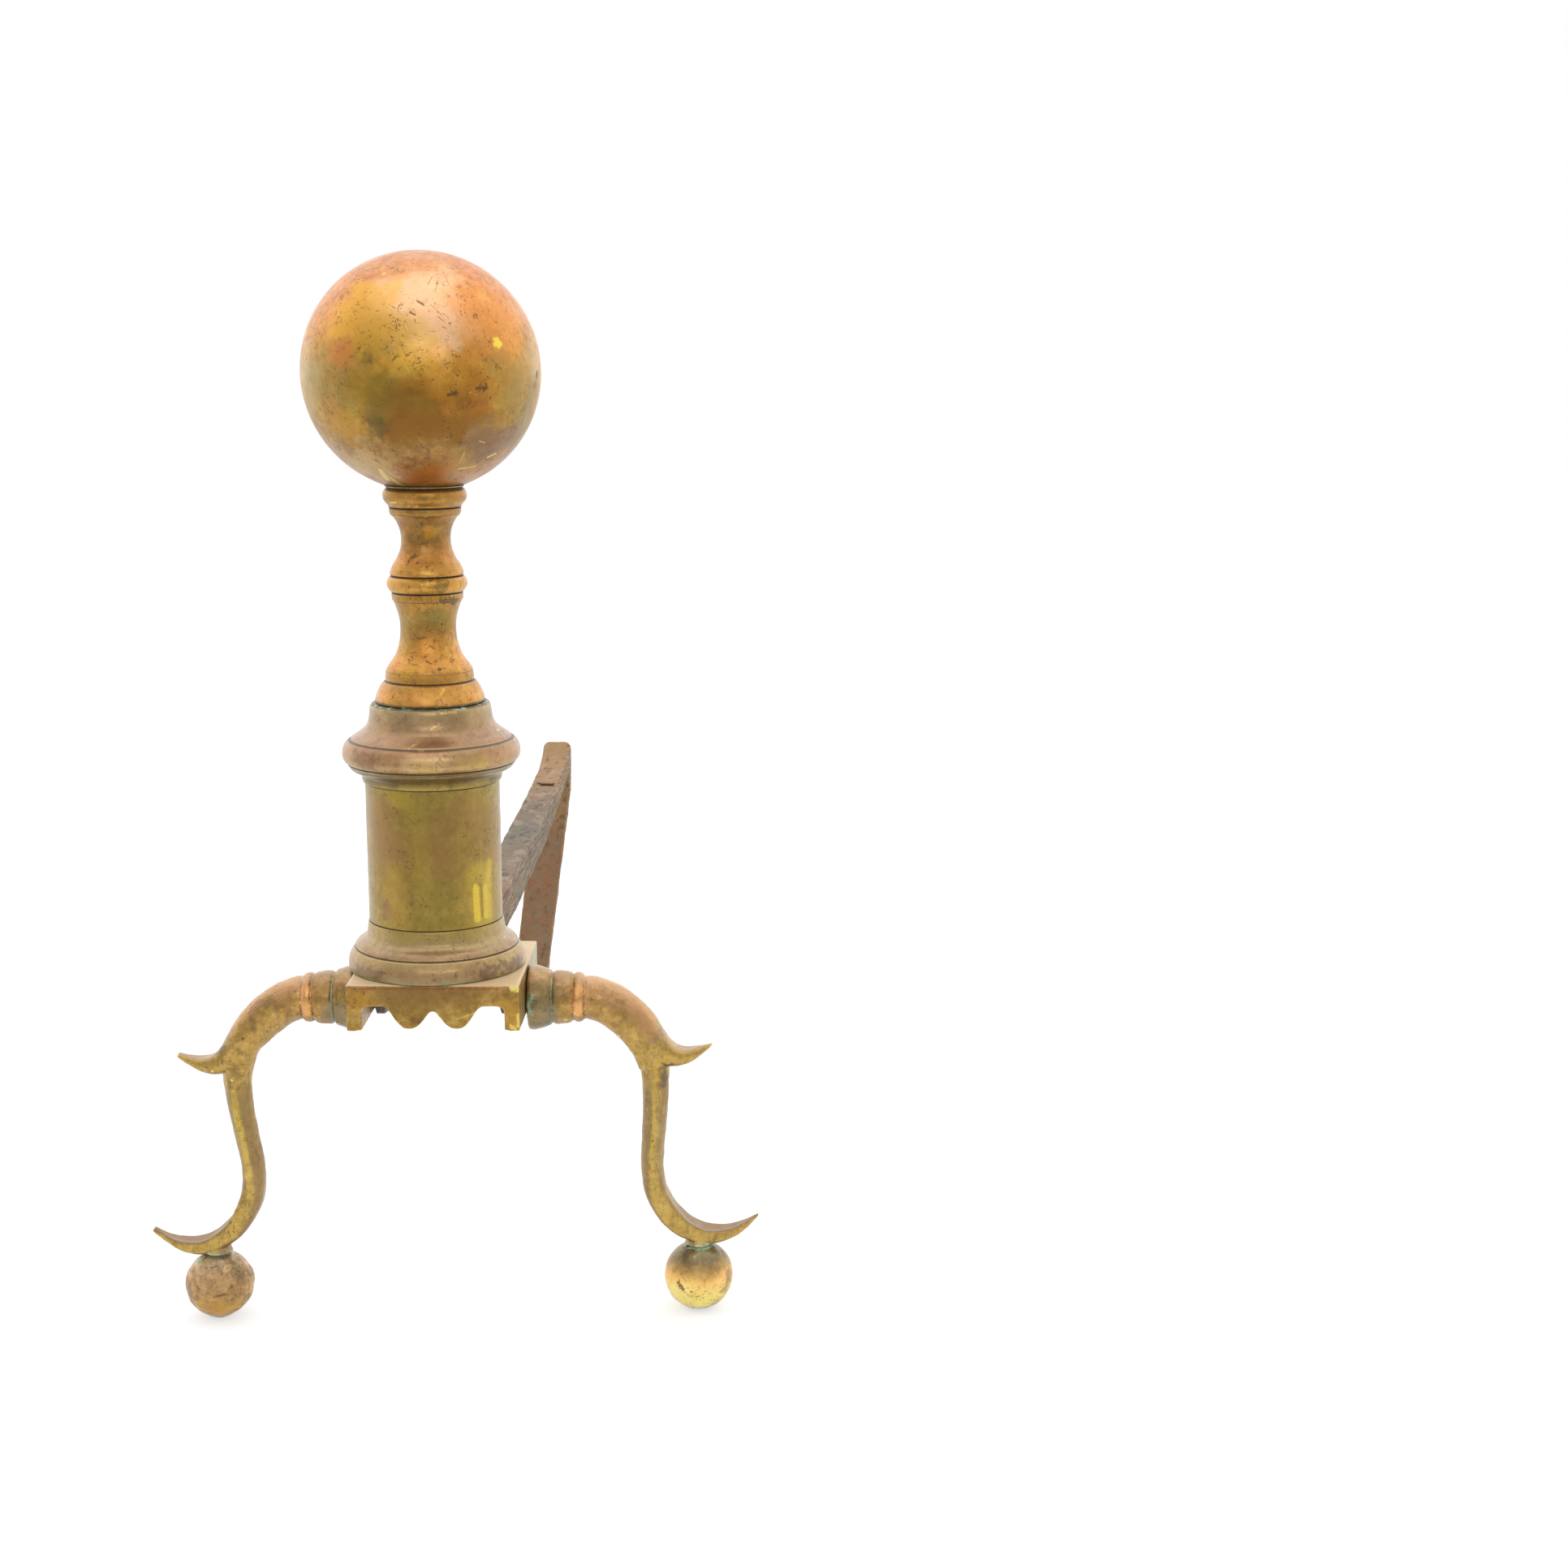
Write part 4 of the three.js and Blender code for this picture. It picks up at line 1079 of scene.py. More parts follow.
        streaks = (
            ("D8BE74", (-0.355, -0.8), (-0.3, -0.88), 0.7, 0.9, 0.8),
            ("D2B870", (-0.285, -0.86), (-0.18, -0.93), 0.6, 0.8, 0.75),
            ("E4C470", (0.52, -0.7), (0.59, -0.668), 0.28, 0.35, 0.9),
            ("E0BE6C", (0.29, -0.79), (0.42, -0.772), 0.25, 0.5, 0.6),
            ("D8B060", (0.335, -0.64), (0.29, -0.74), 0.14, 0.2, 0.6),
            ("E0B858", (0.455, -0.56), (0.5, -0.575), 0.16, 0.2, 0.7),
            ("54401F", (0.195, 0.06), (0.235, 0.075), 0.15, 0.2, 0.6),
            ("4E4020", (0.21, -0.185), (0.275, -0.168), 0.45, 0.6, 0.75),
            ("4E4020", (0.44, -0.135), (0.5, -0.128), 0.35, 0.7, 0.75),
            ("54421F", (0.495, -0.155), (0.52, -0.115), 0.25, 0.5, 0.7),
            ("5E4826", (-0.925, 0.25), (-0.915, 0.29), 0.2, 0.3, 0.8),
            ("5E4826", (-0.225, 0.09), (-0.195, 0.12), 0.22, 0.3, 0.7),
            ("60482A", (0.215, -0.48), (0.23, -0.515), 0.2, 0.25, 0.7),
            ("6A5430", (0.07, 0.69), (0.11, 0.76), 0.13, 0.2, 0.55),
            ("6A5430", (0.13, 0.64), (0.15, 0.73), 0.12, 0.2, 0.55),
            ("6A5430", (0.24, 0.69), (0.215, 0.77), 0.12, 0.2, 0.5),
            ("6A5430", (0.09, 0.53), (0.165, 0.455), 0.12, 0.2, 0.45),
            ("5C4A28", (0.56, 0.1), (0.64, 0.02), 0.12, 0.2, 0.55),
        )
        marks += [Mark(code, self.at(*start), half, soft, self.at(*end), 0.0, strength)
                  for code, start, end, half, soft, strength in streaks]
        return Metal(
            "ball_tarnish",
            tuple((z + share * r, code) for share, code in stops),
            (Patch("7E6A34", (17.0,) * 3, 0.53, 0.7, 5.1, 0.22),
             Patch("C9803A", (12.0,) * 3, 0.56, 0.72, 8.7, 0.4),
             Patch("D8A848", (5.0,) * 3, 0.58, 0.74, 2.2, 0.25)),
            tuple(marks),
            (Ring("3E3220", z + self.foot + 0.2, 0.3, 0.7, 0.6),),
            metallic=0.72, roughness=(0.34, 0.46), pits=0.22, scratches=1.0, grain=0.006,
            worn_strength=0.0, stir=10.0,
            mottle=0.26, coat=0.3, lift=(1.09, 1.07, 0.84), worn="F0CC58",
        ).material()

    def build(self) -> None:
        """Makes and dresses both halves."""
        dress = self.finish()
        for name, node, outline in (
            ("ball_shell_lower", "ball_lower_half", self.lower_outline()),
            ("ball_shell_upper", "ball_upper_half", self.upper_outline()),
        ):
            obj = make_object(name, turned(outline, self.centre, 240))
            points = read_points(obj)
            away = points - self.centre
            outward = away / np.linalg.norm(away, axis=1)[:, None]
            write_points(obj, points + outward * self.dent(points)[:, None])
            shade(obj)
            settle(obj, node, Slot.BALL, dress)


# ---- the turned column


@dataclass(frozen=True)
class Turning:
    """A piece turned about the column's axis.

    Attributes:
        node: the CAD node that it stands for.
        name: the piece's own name.
        slot: its material slot.
        outside: smooth runs of its outside, from its foot up.
        inside: corners of its inside, from its top down.
        out_of_true: how far its surface wanders.
    """

    node: str
    name: str
    slot: Slot
    outside: tuple[tuple[tuple[float, float], ...], ...]
    inside: tuple[tuple[float, float], ...]
    out_of_true: float = 0.05

    def foot(self) -> float:
        """Height at which the piece stands, a spigot that hangs below it left out."""
        hang = min(0.0, min(height for _, height in self.inside))
        return float(low_corner(self.node)[2]) - hang

    def build(self, dress: bpy.types.Material) -> None:
        """Makes the mesh and puts it in its place.

        Args:
            dress: its material.
        """
        outline = np.vstack([outline_of(self.outside), np.array(self.inside)])
        obj = make_object(self.name, turned(outline, (*AXIS, self.foot())))
        widest = max(radius for run in self.outside for radius, _ in run)

        def wander(points: np.ndarray, normals: np.ndarray) -> np.ndarray:
            """Slow unevenness of hand-finished metal, only on the outside."""
            away = np.linalg.norm(points[:, :2] - AXIS, axis=1)
            slow = uneven(points, (widest * 0.8, widest * 0.8, 9.0), 2, widest)
            return np.where(away > SEAT + 1.0, self.out_of_true * (slow - 1.0), 0.0)

        swell(obj, wander)
        shade(obj)
        settle(obj, self.node, self.slot, dress)


@dataclass
class Column:
    """Everything turned between the plinth and the ball; the studio tells where its front is."""

    studio: Studio

    def front(self, angle: float, radius: float, height: float) -> tuple[float, ...]:
        """A point of the column: angle in degrees to the right of what faces the camera."""
        right, _, toward = self.studio.view_of(np.array([AXIS[0], AXIS[1], height]))
        turn = math.radians(angle)
        flat = math.sin(turn) * right + math.cos(turn) * np.array([toward[0], toward[1], 0.0])
        return tuple(np.array([AXIS[0], AXIS[1], height]) + radius * flat)

    def stains(self, foot: float, rows: Sequence[tuple]) -> tuple[Mark, ...]:
        """Marks on a piece that stands at foot, each placed by its angle, radius and height on the piece.

        Args:
            foot: where the piece stands.
            rows: the marks; a place is (angle, radius, height), or (angle, height) on the drum.

        Returns:
            The marks.
        """
        def place(angle: float, *rest: float) -> tuple[float, ...]:
            """The named point of the piece."""
            radius = rest[0] if len(rest) > 1 else DRUM_RADIUS
            return self.front(angle, radius, foot + rest[-1])

        return marks_at(place, rows)

    def collar(self) -> Turning:
        """The ring under the ball: a round bead with a fine groove above it."""
        return Turning(
            "finial_collar", "collar_turning", Slot.SPOOL,
            (
                ((14.7, 0.0), (15.05, 0.3), (15.4, 1.1), (16.4, 2.2), (17.1, 3.3), (17.4, 4.9),
                 (17.1, 6.6), (16.5, 7.5)),
                ((15.9, 7.75), (15.75, 8.0), (16.0, 8.3), (16.3, 8.5)),
                ((16.3, 9.0), (16.1, 9.3)),
            ),
            ((8.3, 9.3), (8.3, 6.3), (BORE, 6.3), (BORE, SOCKET_DEPTH), (SEAT, SOCKET_DEPTH),
             (SEAT, 0.0)),
        )

    def upper_spool(self) -> Turning:
        """The short waisted spool."""
        return Turning(
            "upper_spool", "upper_spool_turning", Slot.SPOOL,
            (
                ((14.8, 0.0), (15.25, 0.4), (15.25, 1.5), (14.75, 3.1)),
                ((14.6, 3.3), (13.7, 5.1), (12.4, 7.1), (11.45, 9.2), (10.75, 11.3), (10.3, 14.2),
                 (10.3, 16.2),
                 (10.65, 18.6), (11.2, 20.4), (12.1, 22.3), (13.3, 24.1), (14.3, 25.0)),
                ((14.5, 25.3), (14.85, 26.4), (14.9, 27.7), (14.55, 28.1)),
            ),
            ((SPIGOT, 28.1), (SPIGOT, 28.1 + SPIGOT_RISE), (BORE, 28.1 + SPIGOT_RISE),
             (BORE, SOCKET_DEPTH),
             (SEAT, SOCKET_DEPTH), (SEAT, 0.0)),
        )

    def ring(self) -> Turning:
        """The ring between the spools."""
        return Turning(
            "middle_ring", "ring_turning", Slot.SPOOL,
            (((14.8, 0.0), (15.3, 0.5), (16.05, 1.5), (16.6, 2.7), (16.7, 3.9), (16.4, 5.3), (15.7, 6.2),
              (14.9, 6.9)),),
            ((SPIGOT, 6.9), (SPIGOT, 6.9 + SPIGOT_RISE), (BORE, 6.9 + SPIGOT_RISE), (BORE, SOCKET_DEPTH),
             (SEAT, SOCKET_DEPTH), (SEAT, 0.0)),
        )

    def lower_spool(self) -> Turning:
        """The taller spool with a stepped, swelling foot."""
        return Turning(
            "lower_spool", "lower_spool_turning", Slot.SPOOL,
            (
                ((22.3, 0.0), (22.8, 0.5), (22.75, 1.8), (22.3, 3.4), (21.6, 5.2), (20.5, 7.3),
                 (19.5, 8.6), (18.7, 9.1)),
                ((18.35, 9.3), (18.45, 9.7), (18.4, 11.5), (18.15, 13.2)),
                ((18.05, 13.4), (17.8, 14.4), (17.1, 15.5), (15.75, 17.4), (14.3, 19.5), (13.3, 21.7),
                 (12.4, 24.6),
                 (11.8, 27.7), (11.6, 30.9), (11.8, 34.6), (12.6, 38.2), (13.5, 40.9), (14.2, 42.6)),
                ((14.45, 42.8), (14.8, 43.7), (14.85, 45.6), (14.5, 46.1)),
            ),
            ((SPIGOT, 46.1), (SPIGOT, 46.1 + SPIGOT_RISE), (BORE, 46.1 + SPIGOT_RISE), (BORE, 14.0),
             (10.3, 14.0),
             (14.3, 3.0), (12.3, 3.0), (12.3, 0.0)),
        )

    def cap(self) -> Turning:
        """The bell-shaped moulding with its large torus."""
        return Turning(
            "column_cap", "cap_turning", Slot.MOULDING,
            (
                ((28.5, 0.0), (29.0, 0.3), (29.3, 1.4), (29.3, 2.6)),
                ((29.4, 2.75), (30.0, 3.4), (31.1, 4.2), (32.9, 5.2), (34.0, 6.0), (34.5, 6.9)),
                ((34.6, 7.1), (35.0, 7.5), (35.3, 8.0)),
                ((35.1, 8.2), (35.9, 8.7), (36.7, 9.7), (37.15, 11.0), (37.2, 12.6), (36.9, 14.3),
                 (36.2, 16.0),
                 (35.1, 17.3), (34.3, 17.8)),
                ((33.7, 17.9), (33.5, 18.2), (33.2, 18.8), (31.8, 19.8), (30.3, 20.8), (28.9, 21.9),
                 (27.7, 23.0),
                 (26.7, 24.4), (26.0, 26.2), (25.6, 28.4), (25.35, 30.8), (25.0, 32.2), (24.4, 32.9),
                 (23.6, 33.2)),
            ),
            ((12.0, 33.2), (12.0, 36.2), (BORE, 36.2), (BORE, 28.2), (18.7, 28.2), (22.3, 19.2),
             (22.3, -8.0),
             (25.9, -8.0), (25.9, 0.0)),
        )

    def tube(self) -> Turning:
        """The plain drum."""
        heights = np.linspace(0.4, 59.0, 26)
        return Turning(
            "column_tube", "tube_drum", Slot.TUBE,
            (((28.0, 0.0), (DRUM_RADIUS, 0.2)), tuple((DRUM_RADIUS, float(h)) for h in heights),
             ((DRUM_RADIUS, 59.2), (28.0, 59.4))),
            ((26.2, 59.4), (26.2, 0.0)),
            0.12,
        )

    def base(self) -> Turning:
        """The moulding that spreads from the drum to the plinth."""
        return Turning(
            "column_base", "base_turning", Slot.MOULDING,
            (
                ((36.9, 0.0), (37.35, 0.4), (37.4, 2.0), (37.25, 3.8), (36.8, 5.7), (36.0, 7.4),
                 (35.1, 8.7), (34.6, 9.1)),
                ((34.3, 9.25), (34.45, 9.6), (34.5, 10.0)),
                ((34.4, 10.2), (33.7, 11.1), (32.5, 12.1), (31.0, 13.0), (29.8, 14.1), (29.2, 15.4),
                 (28.9, 17.6),
                 (28.6, 19.6), (28.4, 20.4)),
                ((28.2, 20.6), (28.0, 20.7)),
            ),
            ((25.9, 20.7), (25.9, 26.7), (21.9, 26.7), (21.9, 4.0), (BORE, 4.0), (BORE, 0.0)),
        )

    def spool_finish(self) -> bpy.types.Material:
        """Orange-brown tarnish that turns olive at the waists, with dark quirks."""
        low = self.lower_spool().foot()
        ring = self.ring().foot()
        upper = self.upper_spool().foot()
        top = self.collar().foot()
        stops = (
            (low, "BC8438"), (low + 4.0, "D09248"), (low + 9.5, "B07C34"), (low + 12.0, "B48234"),
            (low + 16.0, "D09044"),
            (low + 23.0, "C88E40"), (low + 29.0, "AC7C36"), (low + 37.0, "9A7632"),
            (low + 42.0, "AC7C30"),
            (ring + 3.0, "CC9640"), (upper + 3.0, "C28838"), (upper + 8.0, "BE7E3A"),
            (upper + 15.0, "8E6426"),
            (upper + 22.0, "885E20"), (upper + 26.0, "A87830"), (top + 4.5, "A87628"),
        )
        marks = self.stains(low, (
            ("7C7034", (20, 12, 36), 3.2, 4, None, 2, 0.5), ("8C7640", (-62, 12, 30), 4, 6, None, 2, 0.4),
            ("C9822F", (2, 12.5, 24), 3.5, 5, None, 1.5, 0.5),
            ("D0A03C", (-30, 17.5, 14), 1.6, 2, None, 1.6, 0.7),
            ("E0B24C", (12, 21.5, 6), 0.35, 0.4, (16, 20.5, 7.6), 0.2, 0.9),
            ("5E4526", (-36, 15, 19.5), 0.5, 0.8, (-30, 14.4, 22), 1.2, 0.8),
            ("5E4526", (40, 15.2, 18.6), 0.35, 0.5, (44, 14.8, 20.2), 0.8, 0.8),
            ("54401F", (14, 17, 15.4), 0.6, 0.5, None, 0.5, 0.85),
            ("5A4222", (-4, 15, 18.8), 0.25, 0.3, (2, 15.2, 17.9), 0.4, 0.7),
            ("5A4222", (2, 12.4, 24.8), 0.25, 0.3, (10, 12.6, 23.8), 0.4, 0.7),
            ("5A4222", (-24, 12, 28), 0.3, 0.3, (-6, 12, 28.2), 0.6, 0.7),
            ("4A3A22", (26, 14.6, 43.4), 1, 1.4, (52, 14.4, 42.8), 1.4, 0.75),
        )) + self.stains(upper, (
            ("4E3C22", (-36, 12.6, 6.2), 0.4, 0.7, (-26, 11.4, 9), 1, 0.75),
            ("5A4426", (-10, 10.4, 13.6), 0.2, 0.4, (2, 10.4, 14.2), 0.5, 0.7),
            ("5A4426", (-6, 11.6, 21.8), 0.5, 0.6, None, 0.6, 0.7),
            ("C48A26", (8, 10.6, 18.4), 1.6, 2.6, None, 0.8, 0.6),
        )) + self.stains(ring, (
            ("B9B4A0", (2, 15.8, 6), 0.35, 0.4, None, 0.2, 0.9),
            ("6E5A24", (20, 16.6, 3), 1.6, 2.2, None, 1.6, 0.6),
        ))
        dark = "332818"
        rings = (
            Ring("3C3822", low + 0.4, 0.35, 0.9, 0.75, 0.2),
            Ring("8FB09A", low + 0.3, 0.2, 0.45, 0.8, 0.8), Ring(dark, low + 9.3, 0.18, 0.4, 0.85),
            Ring(dark, low + 13.3, 0.05, 0.3, 0.35), Ring(dark, ring, 0.22, 0.45, 0.9),
            Ring(dark, upper, 0.22, 0.45, 0.9),
            Ring("4A3A1E", low + 42.7, 0.1, 0.3, 0.35), Ring(dark, top, 0.22, 0.45, 0.9),
            Ring("4A3A1E", upper + 25.2, 0.08, 0.25, 0.35), Ring(dark, top + 8.0, 0.3, 0.45, 0.95),
            Ring(dark, top + 9.2, 0.2, 0.4, 0.95),
        )
        return Metal(
            "spool_tarnish", stops,
            (Patch("8A7A3C", (9.0, 9.0, 7.0), 0.54, 0.7, 14.0, 0.35),
             Patch("CC8440", (7.0, 7.0, 6.0), 0.55, 0.72, 17.0, 0.4),
             Patch("6E5226", (4.0, 4.0, 3.0), 0.6, 0.74, 19.0, 0.35)),
            marks, rings,
            metallic=0.8, roughness=(0.34, 0.46), pits=0.6, scratches=1.0, turning=0.003, grain=0.006,
            worn="F0C864", worn_strength=0.55, worn_levels=(0.512, 0.55), grime_and_shade_reach=1.2, stir=3.0,
            mottle=0.2,
            lift=(1.12, 1.12, 0.88),
        ).material()

    def moulding_finish(self) -> bpy.types.Material:
        """Dull taupe and olive tarnish on the cap and the base, with painted highlights on the torus and
        beside two quirks.
        """
        cap = self.cap().foot()
        base = self.base().foot()
        stops = (
            (base, "907C50"), (base + 4.0, "9A7A56"), (base + 8.5, "9C8252"), (base + 10.5, "947656"),
            (base + 14.0, "9C845E"),
            (base + 20.0, "9C8244"), (cap, "806C34"), (cap + 2.0, "70602C"), (cap + 3.4, "6A562C"),
            (cap + 6.0, "64522A"), (cap + 8.4, "8A7040"), (cap + 10.5, "A8865A"),
            (cap + 13.0, "A8825A"), (cap + 17.5, "946E4E"), (cap + 21.0, "967256"),
            (cap + 27.0, "967A56"), (cap + 32.5, "9C845C"),
        )
        marks = self.stains(cap, (
            ("D9B078", (-16, 33.6, 18.4), 0.16, 0.28, (3, 26, 26.6), 0.5, 0.8),
            ("D4A870", (-13, 32.6, 19.2), 0.12, 0.28, (8, 25.7, 27.6), 0.6, 0.7),
            ("D8AC58", (10, 25.2, 31.6), 0.25, 0.4, (24, 25.2, 31.8), 0.3, 0.8),
            ("C9A05C", (-6, 25.2, 31.4), 0.2, 0.4, (3, 25.3, 31.4), 0.3, 0.6),
            ("E8D078", (-9, 34.4, 18), 0.3, 0.4, (-6, 34.4, 18), 0.2, 0.9),
            ("E8D078", (-11, 37.2, 12.4), 0.3, 0.4, None, 0.2, 0.9),
            ("6B4A34", (-55, 37, 13), 2, 3, (-42, 37, 12.4), 2, 0.6),
            # A pale streak across the torus's front is a painted highlight.
            ("D0AC80", (-14, 37, 13.2), 1.6, 4, (4, 37.2, 13), 1.2, 0.5),
            ("B89A4E", (-8, 37, 11.6), 1.4, 2.6, (34, 37, 12.2), 1.5, 0.55),
            ("B29440", (-25, 30.4, 1.4), 1, 1.2, (10, 30.4, 1.4), 1, 0.45),
            ("A88A3C", (18, 30.6, 1.8), 1, 1.2, (50, 30.6, 1.8), 1, 0.4),
        )) + self.stains(base, (
            ("DCC07C", (-14, 35.2, 8.9), 0.14, 0.3, (18, 35.2, 8.9), 0.3, 0.7),
            ("E0C88C", (-4, 37, 5.4), 0.3, 0.4, (-1, 37.2, 4.2), 0.2, 0.85),
            ("5A4A34", (30, 37.3, 3), 1.6, 2.6, (66, 37.3, 3), 2.5, 0.65),
            ("5E4C34", (-60, 37.3, 3), 1.6, 2.6, (-42, 37.3, 2.6), 2, 0.55),
            ("9A8238", (-30, 28.8, 18), 2, 4, (30, 28.8, 18), 2, 0.45),
        ))
        dark = "3A2F20"
        rings = (
            Ring("6E8A70", base + 0.4, 0.35, 0.8, 0.65, 0.6), Ring(dark, base + 9.3, 0.14, 0.3, 0.8),
            # The two pale lines beside the quirks at base + 8.7 and cap + 18.5 are painted highlights
            # along their edges.
            Ring("C2A478", base + 8.7, 0.1, 0.25, 0.5, 0.2),
            Ring("C2A478", cap + 18.5, 0.1, 0.25, 0.5, 0.2),
            Ring(dark, base + 20.7, 0.14, 0.3, 0.8), Ring(dark, cap, 0.12, 0.25, 0.6),
            Ring(dark, cap + 2.7, 0.08, 0.25, 0.45),
            Ring("463E26", cap + 8.1, 0.18, 0.4, 0.8, 0.0),
            Ring("4A4030", cap + 17.9, 0.14, 0.35, 0.8, 0.0),
            Ring("3E3A26", cap + 33.1, 0.3, 0.5, 0.8, 0.0),
            Ring("9AB8A0", cap + 32.9, 0.2, 0.45, 0.8, 0.7),
        )
        return Metal(
            "moulding_tarnish", stops,
            (Patch("94804C", (16.0, 16.0, 7.0), 0.52, 0.72, 24.0, 0.5),
             Patch("7A5C40", (11.0, 11.0, 6.0), 0.56, 0.74, 27.0, 0.5),
             Patch("A8885C", (6.0, 6.0, 3.0), 0.58, 0.75, 29.0, 0.35)),
            marks, rings,
            metallic=0.74, roughness=(0.3, 0.42), pits=0.25, scratches=0.8, turning=0.003, grain=0.006,
            worn="D8B880", worn_strength=0.5, worn_levels=(0.512, 0.55), grime_and_shade_reach=1.2, stir=3.0,
            mottle=0.1,
            lift=(1.26, 1.25, 1.2),
        ).material()

    def tube_finish(self) -> bpy.types.Material:
        """Olive-yellow satin sheet with brown stains and a bright worn patch."""
        foot = self.tube().foot()
        stops = ((foot, "8C7A2E"), (foot + 8.0, "907A30"), (foot + 30.0, "8C7434"),
                 (foot + 50.0, "8E7C34"), (foot + 59.4, "90803A"))
        marks = self.stains(foot, (
            ("8A6C40", (-58, 50), 5, 8, (-38, 36), 5, 0.75), ("8C6E44", (-52, 34), 4, 8, None, 4, 0.55),
            ("7C5C44", (-44, 7.5), 2.6, 3.4, None, 2, 0.8), ("8A6A44", (28, 50), 4, 9, (46, 42), 4, 0.5),
            ("8A6C40", (0, 40), 5, 12, None, 4, 0.45), ("866840", (10, 26), 3, 7, None, 3, 0.4),
            ("A08C34", (-34, 56), 1.6, 4, (-22, 54), 2, 0.7),
            ("9C8A34", (-14, 46), 1.8, 5, (-8, 10), 2, 0.35),
            ("A88E3C", (-38, 22), 2, 7, (-34, 5), 2, 0.45), ("827838", (-4, 8), 3, 6, (6, 16), 2, 0.35),
            ("B4A038", (38, 21), 3, 6, (44, 4), 1, 0.5),
            ("DCC44A", (35.5, 17), 1.3, 0.8, (36.5, 3.6), 0.2, 0.6),
            ("D8C44A", (46.5, 16.5), 0.9, 0.7, (46.5, 4), 0.2, 0.5),
            ("C4B048", (52, 26), 0.6, 3, (50, 5), 0.8, 0.6),
            ("8A6A30", (41.6, 17), 0.35, 0.5, (41.6, 4), 0.1, 0.7),
        ))
        rings = (Ring("43371F", foot + 0.1, 0.1, 0.25, 0.7), Ring("43371F", foot + 59.3, 0.1, 0.25, 0.7))
        return Metal(
            "drum_tarnish", stops,
            (Patch("7C6C30", (8.0, 8.0, 60.0), 0.5, 0.66, 34.0, 0.45),
             Patch("8A6640", (14.0, 14.0, 20.0), 0.56, 0.72, 37.0, 0.45),
             Patch("A09038", (5.0, 5.0, 50.0), 0.56, 0.7, 39.0, 0.4)),
            marks, rings,
            metallic=0.78, roughness=(0.32, 0.42), pits=0.25, scratches=0.8, grain=0.004,
            worn_strength=0.0, stir=5.0,
            mottle=0.14, coat=0.5, lift=(1.23, 1.14, 0.86),
        ).material()

    def build(self) -> None:
        """Makes every turned piece between the plinth and the ball."""
        spool = self.spool_finish()
        moulding = self.moulding_finish()
        for piece in (self.collar(), self.upper_spool(), self.ring(), self.lower_spool()):
            piece.build(spool)
        for piece in (self.cap(), self.base()):
            piece.build(moulding)
        self.tube().build(self.tube_finish())


# ---- the plinth


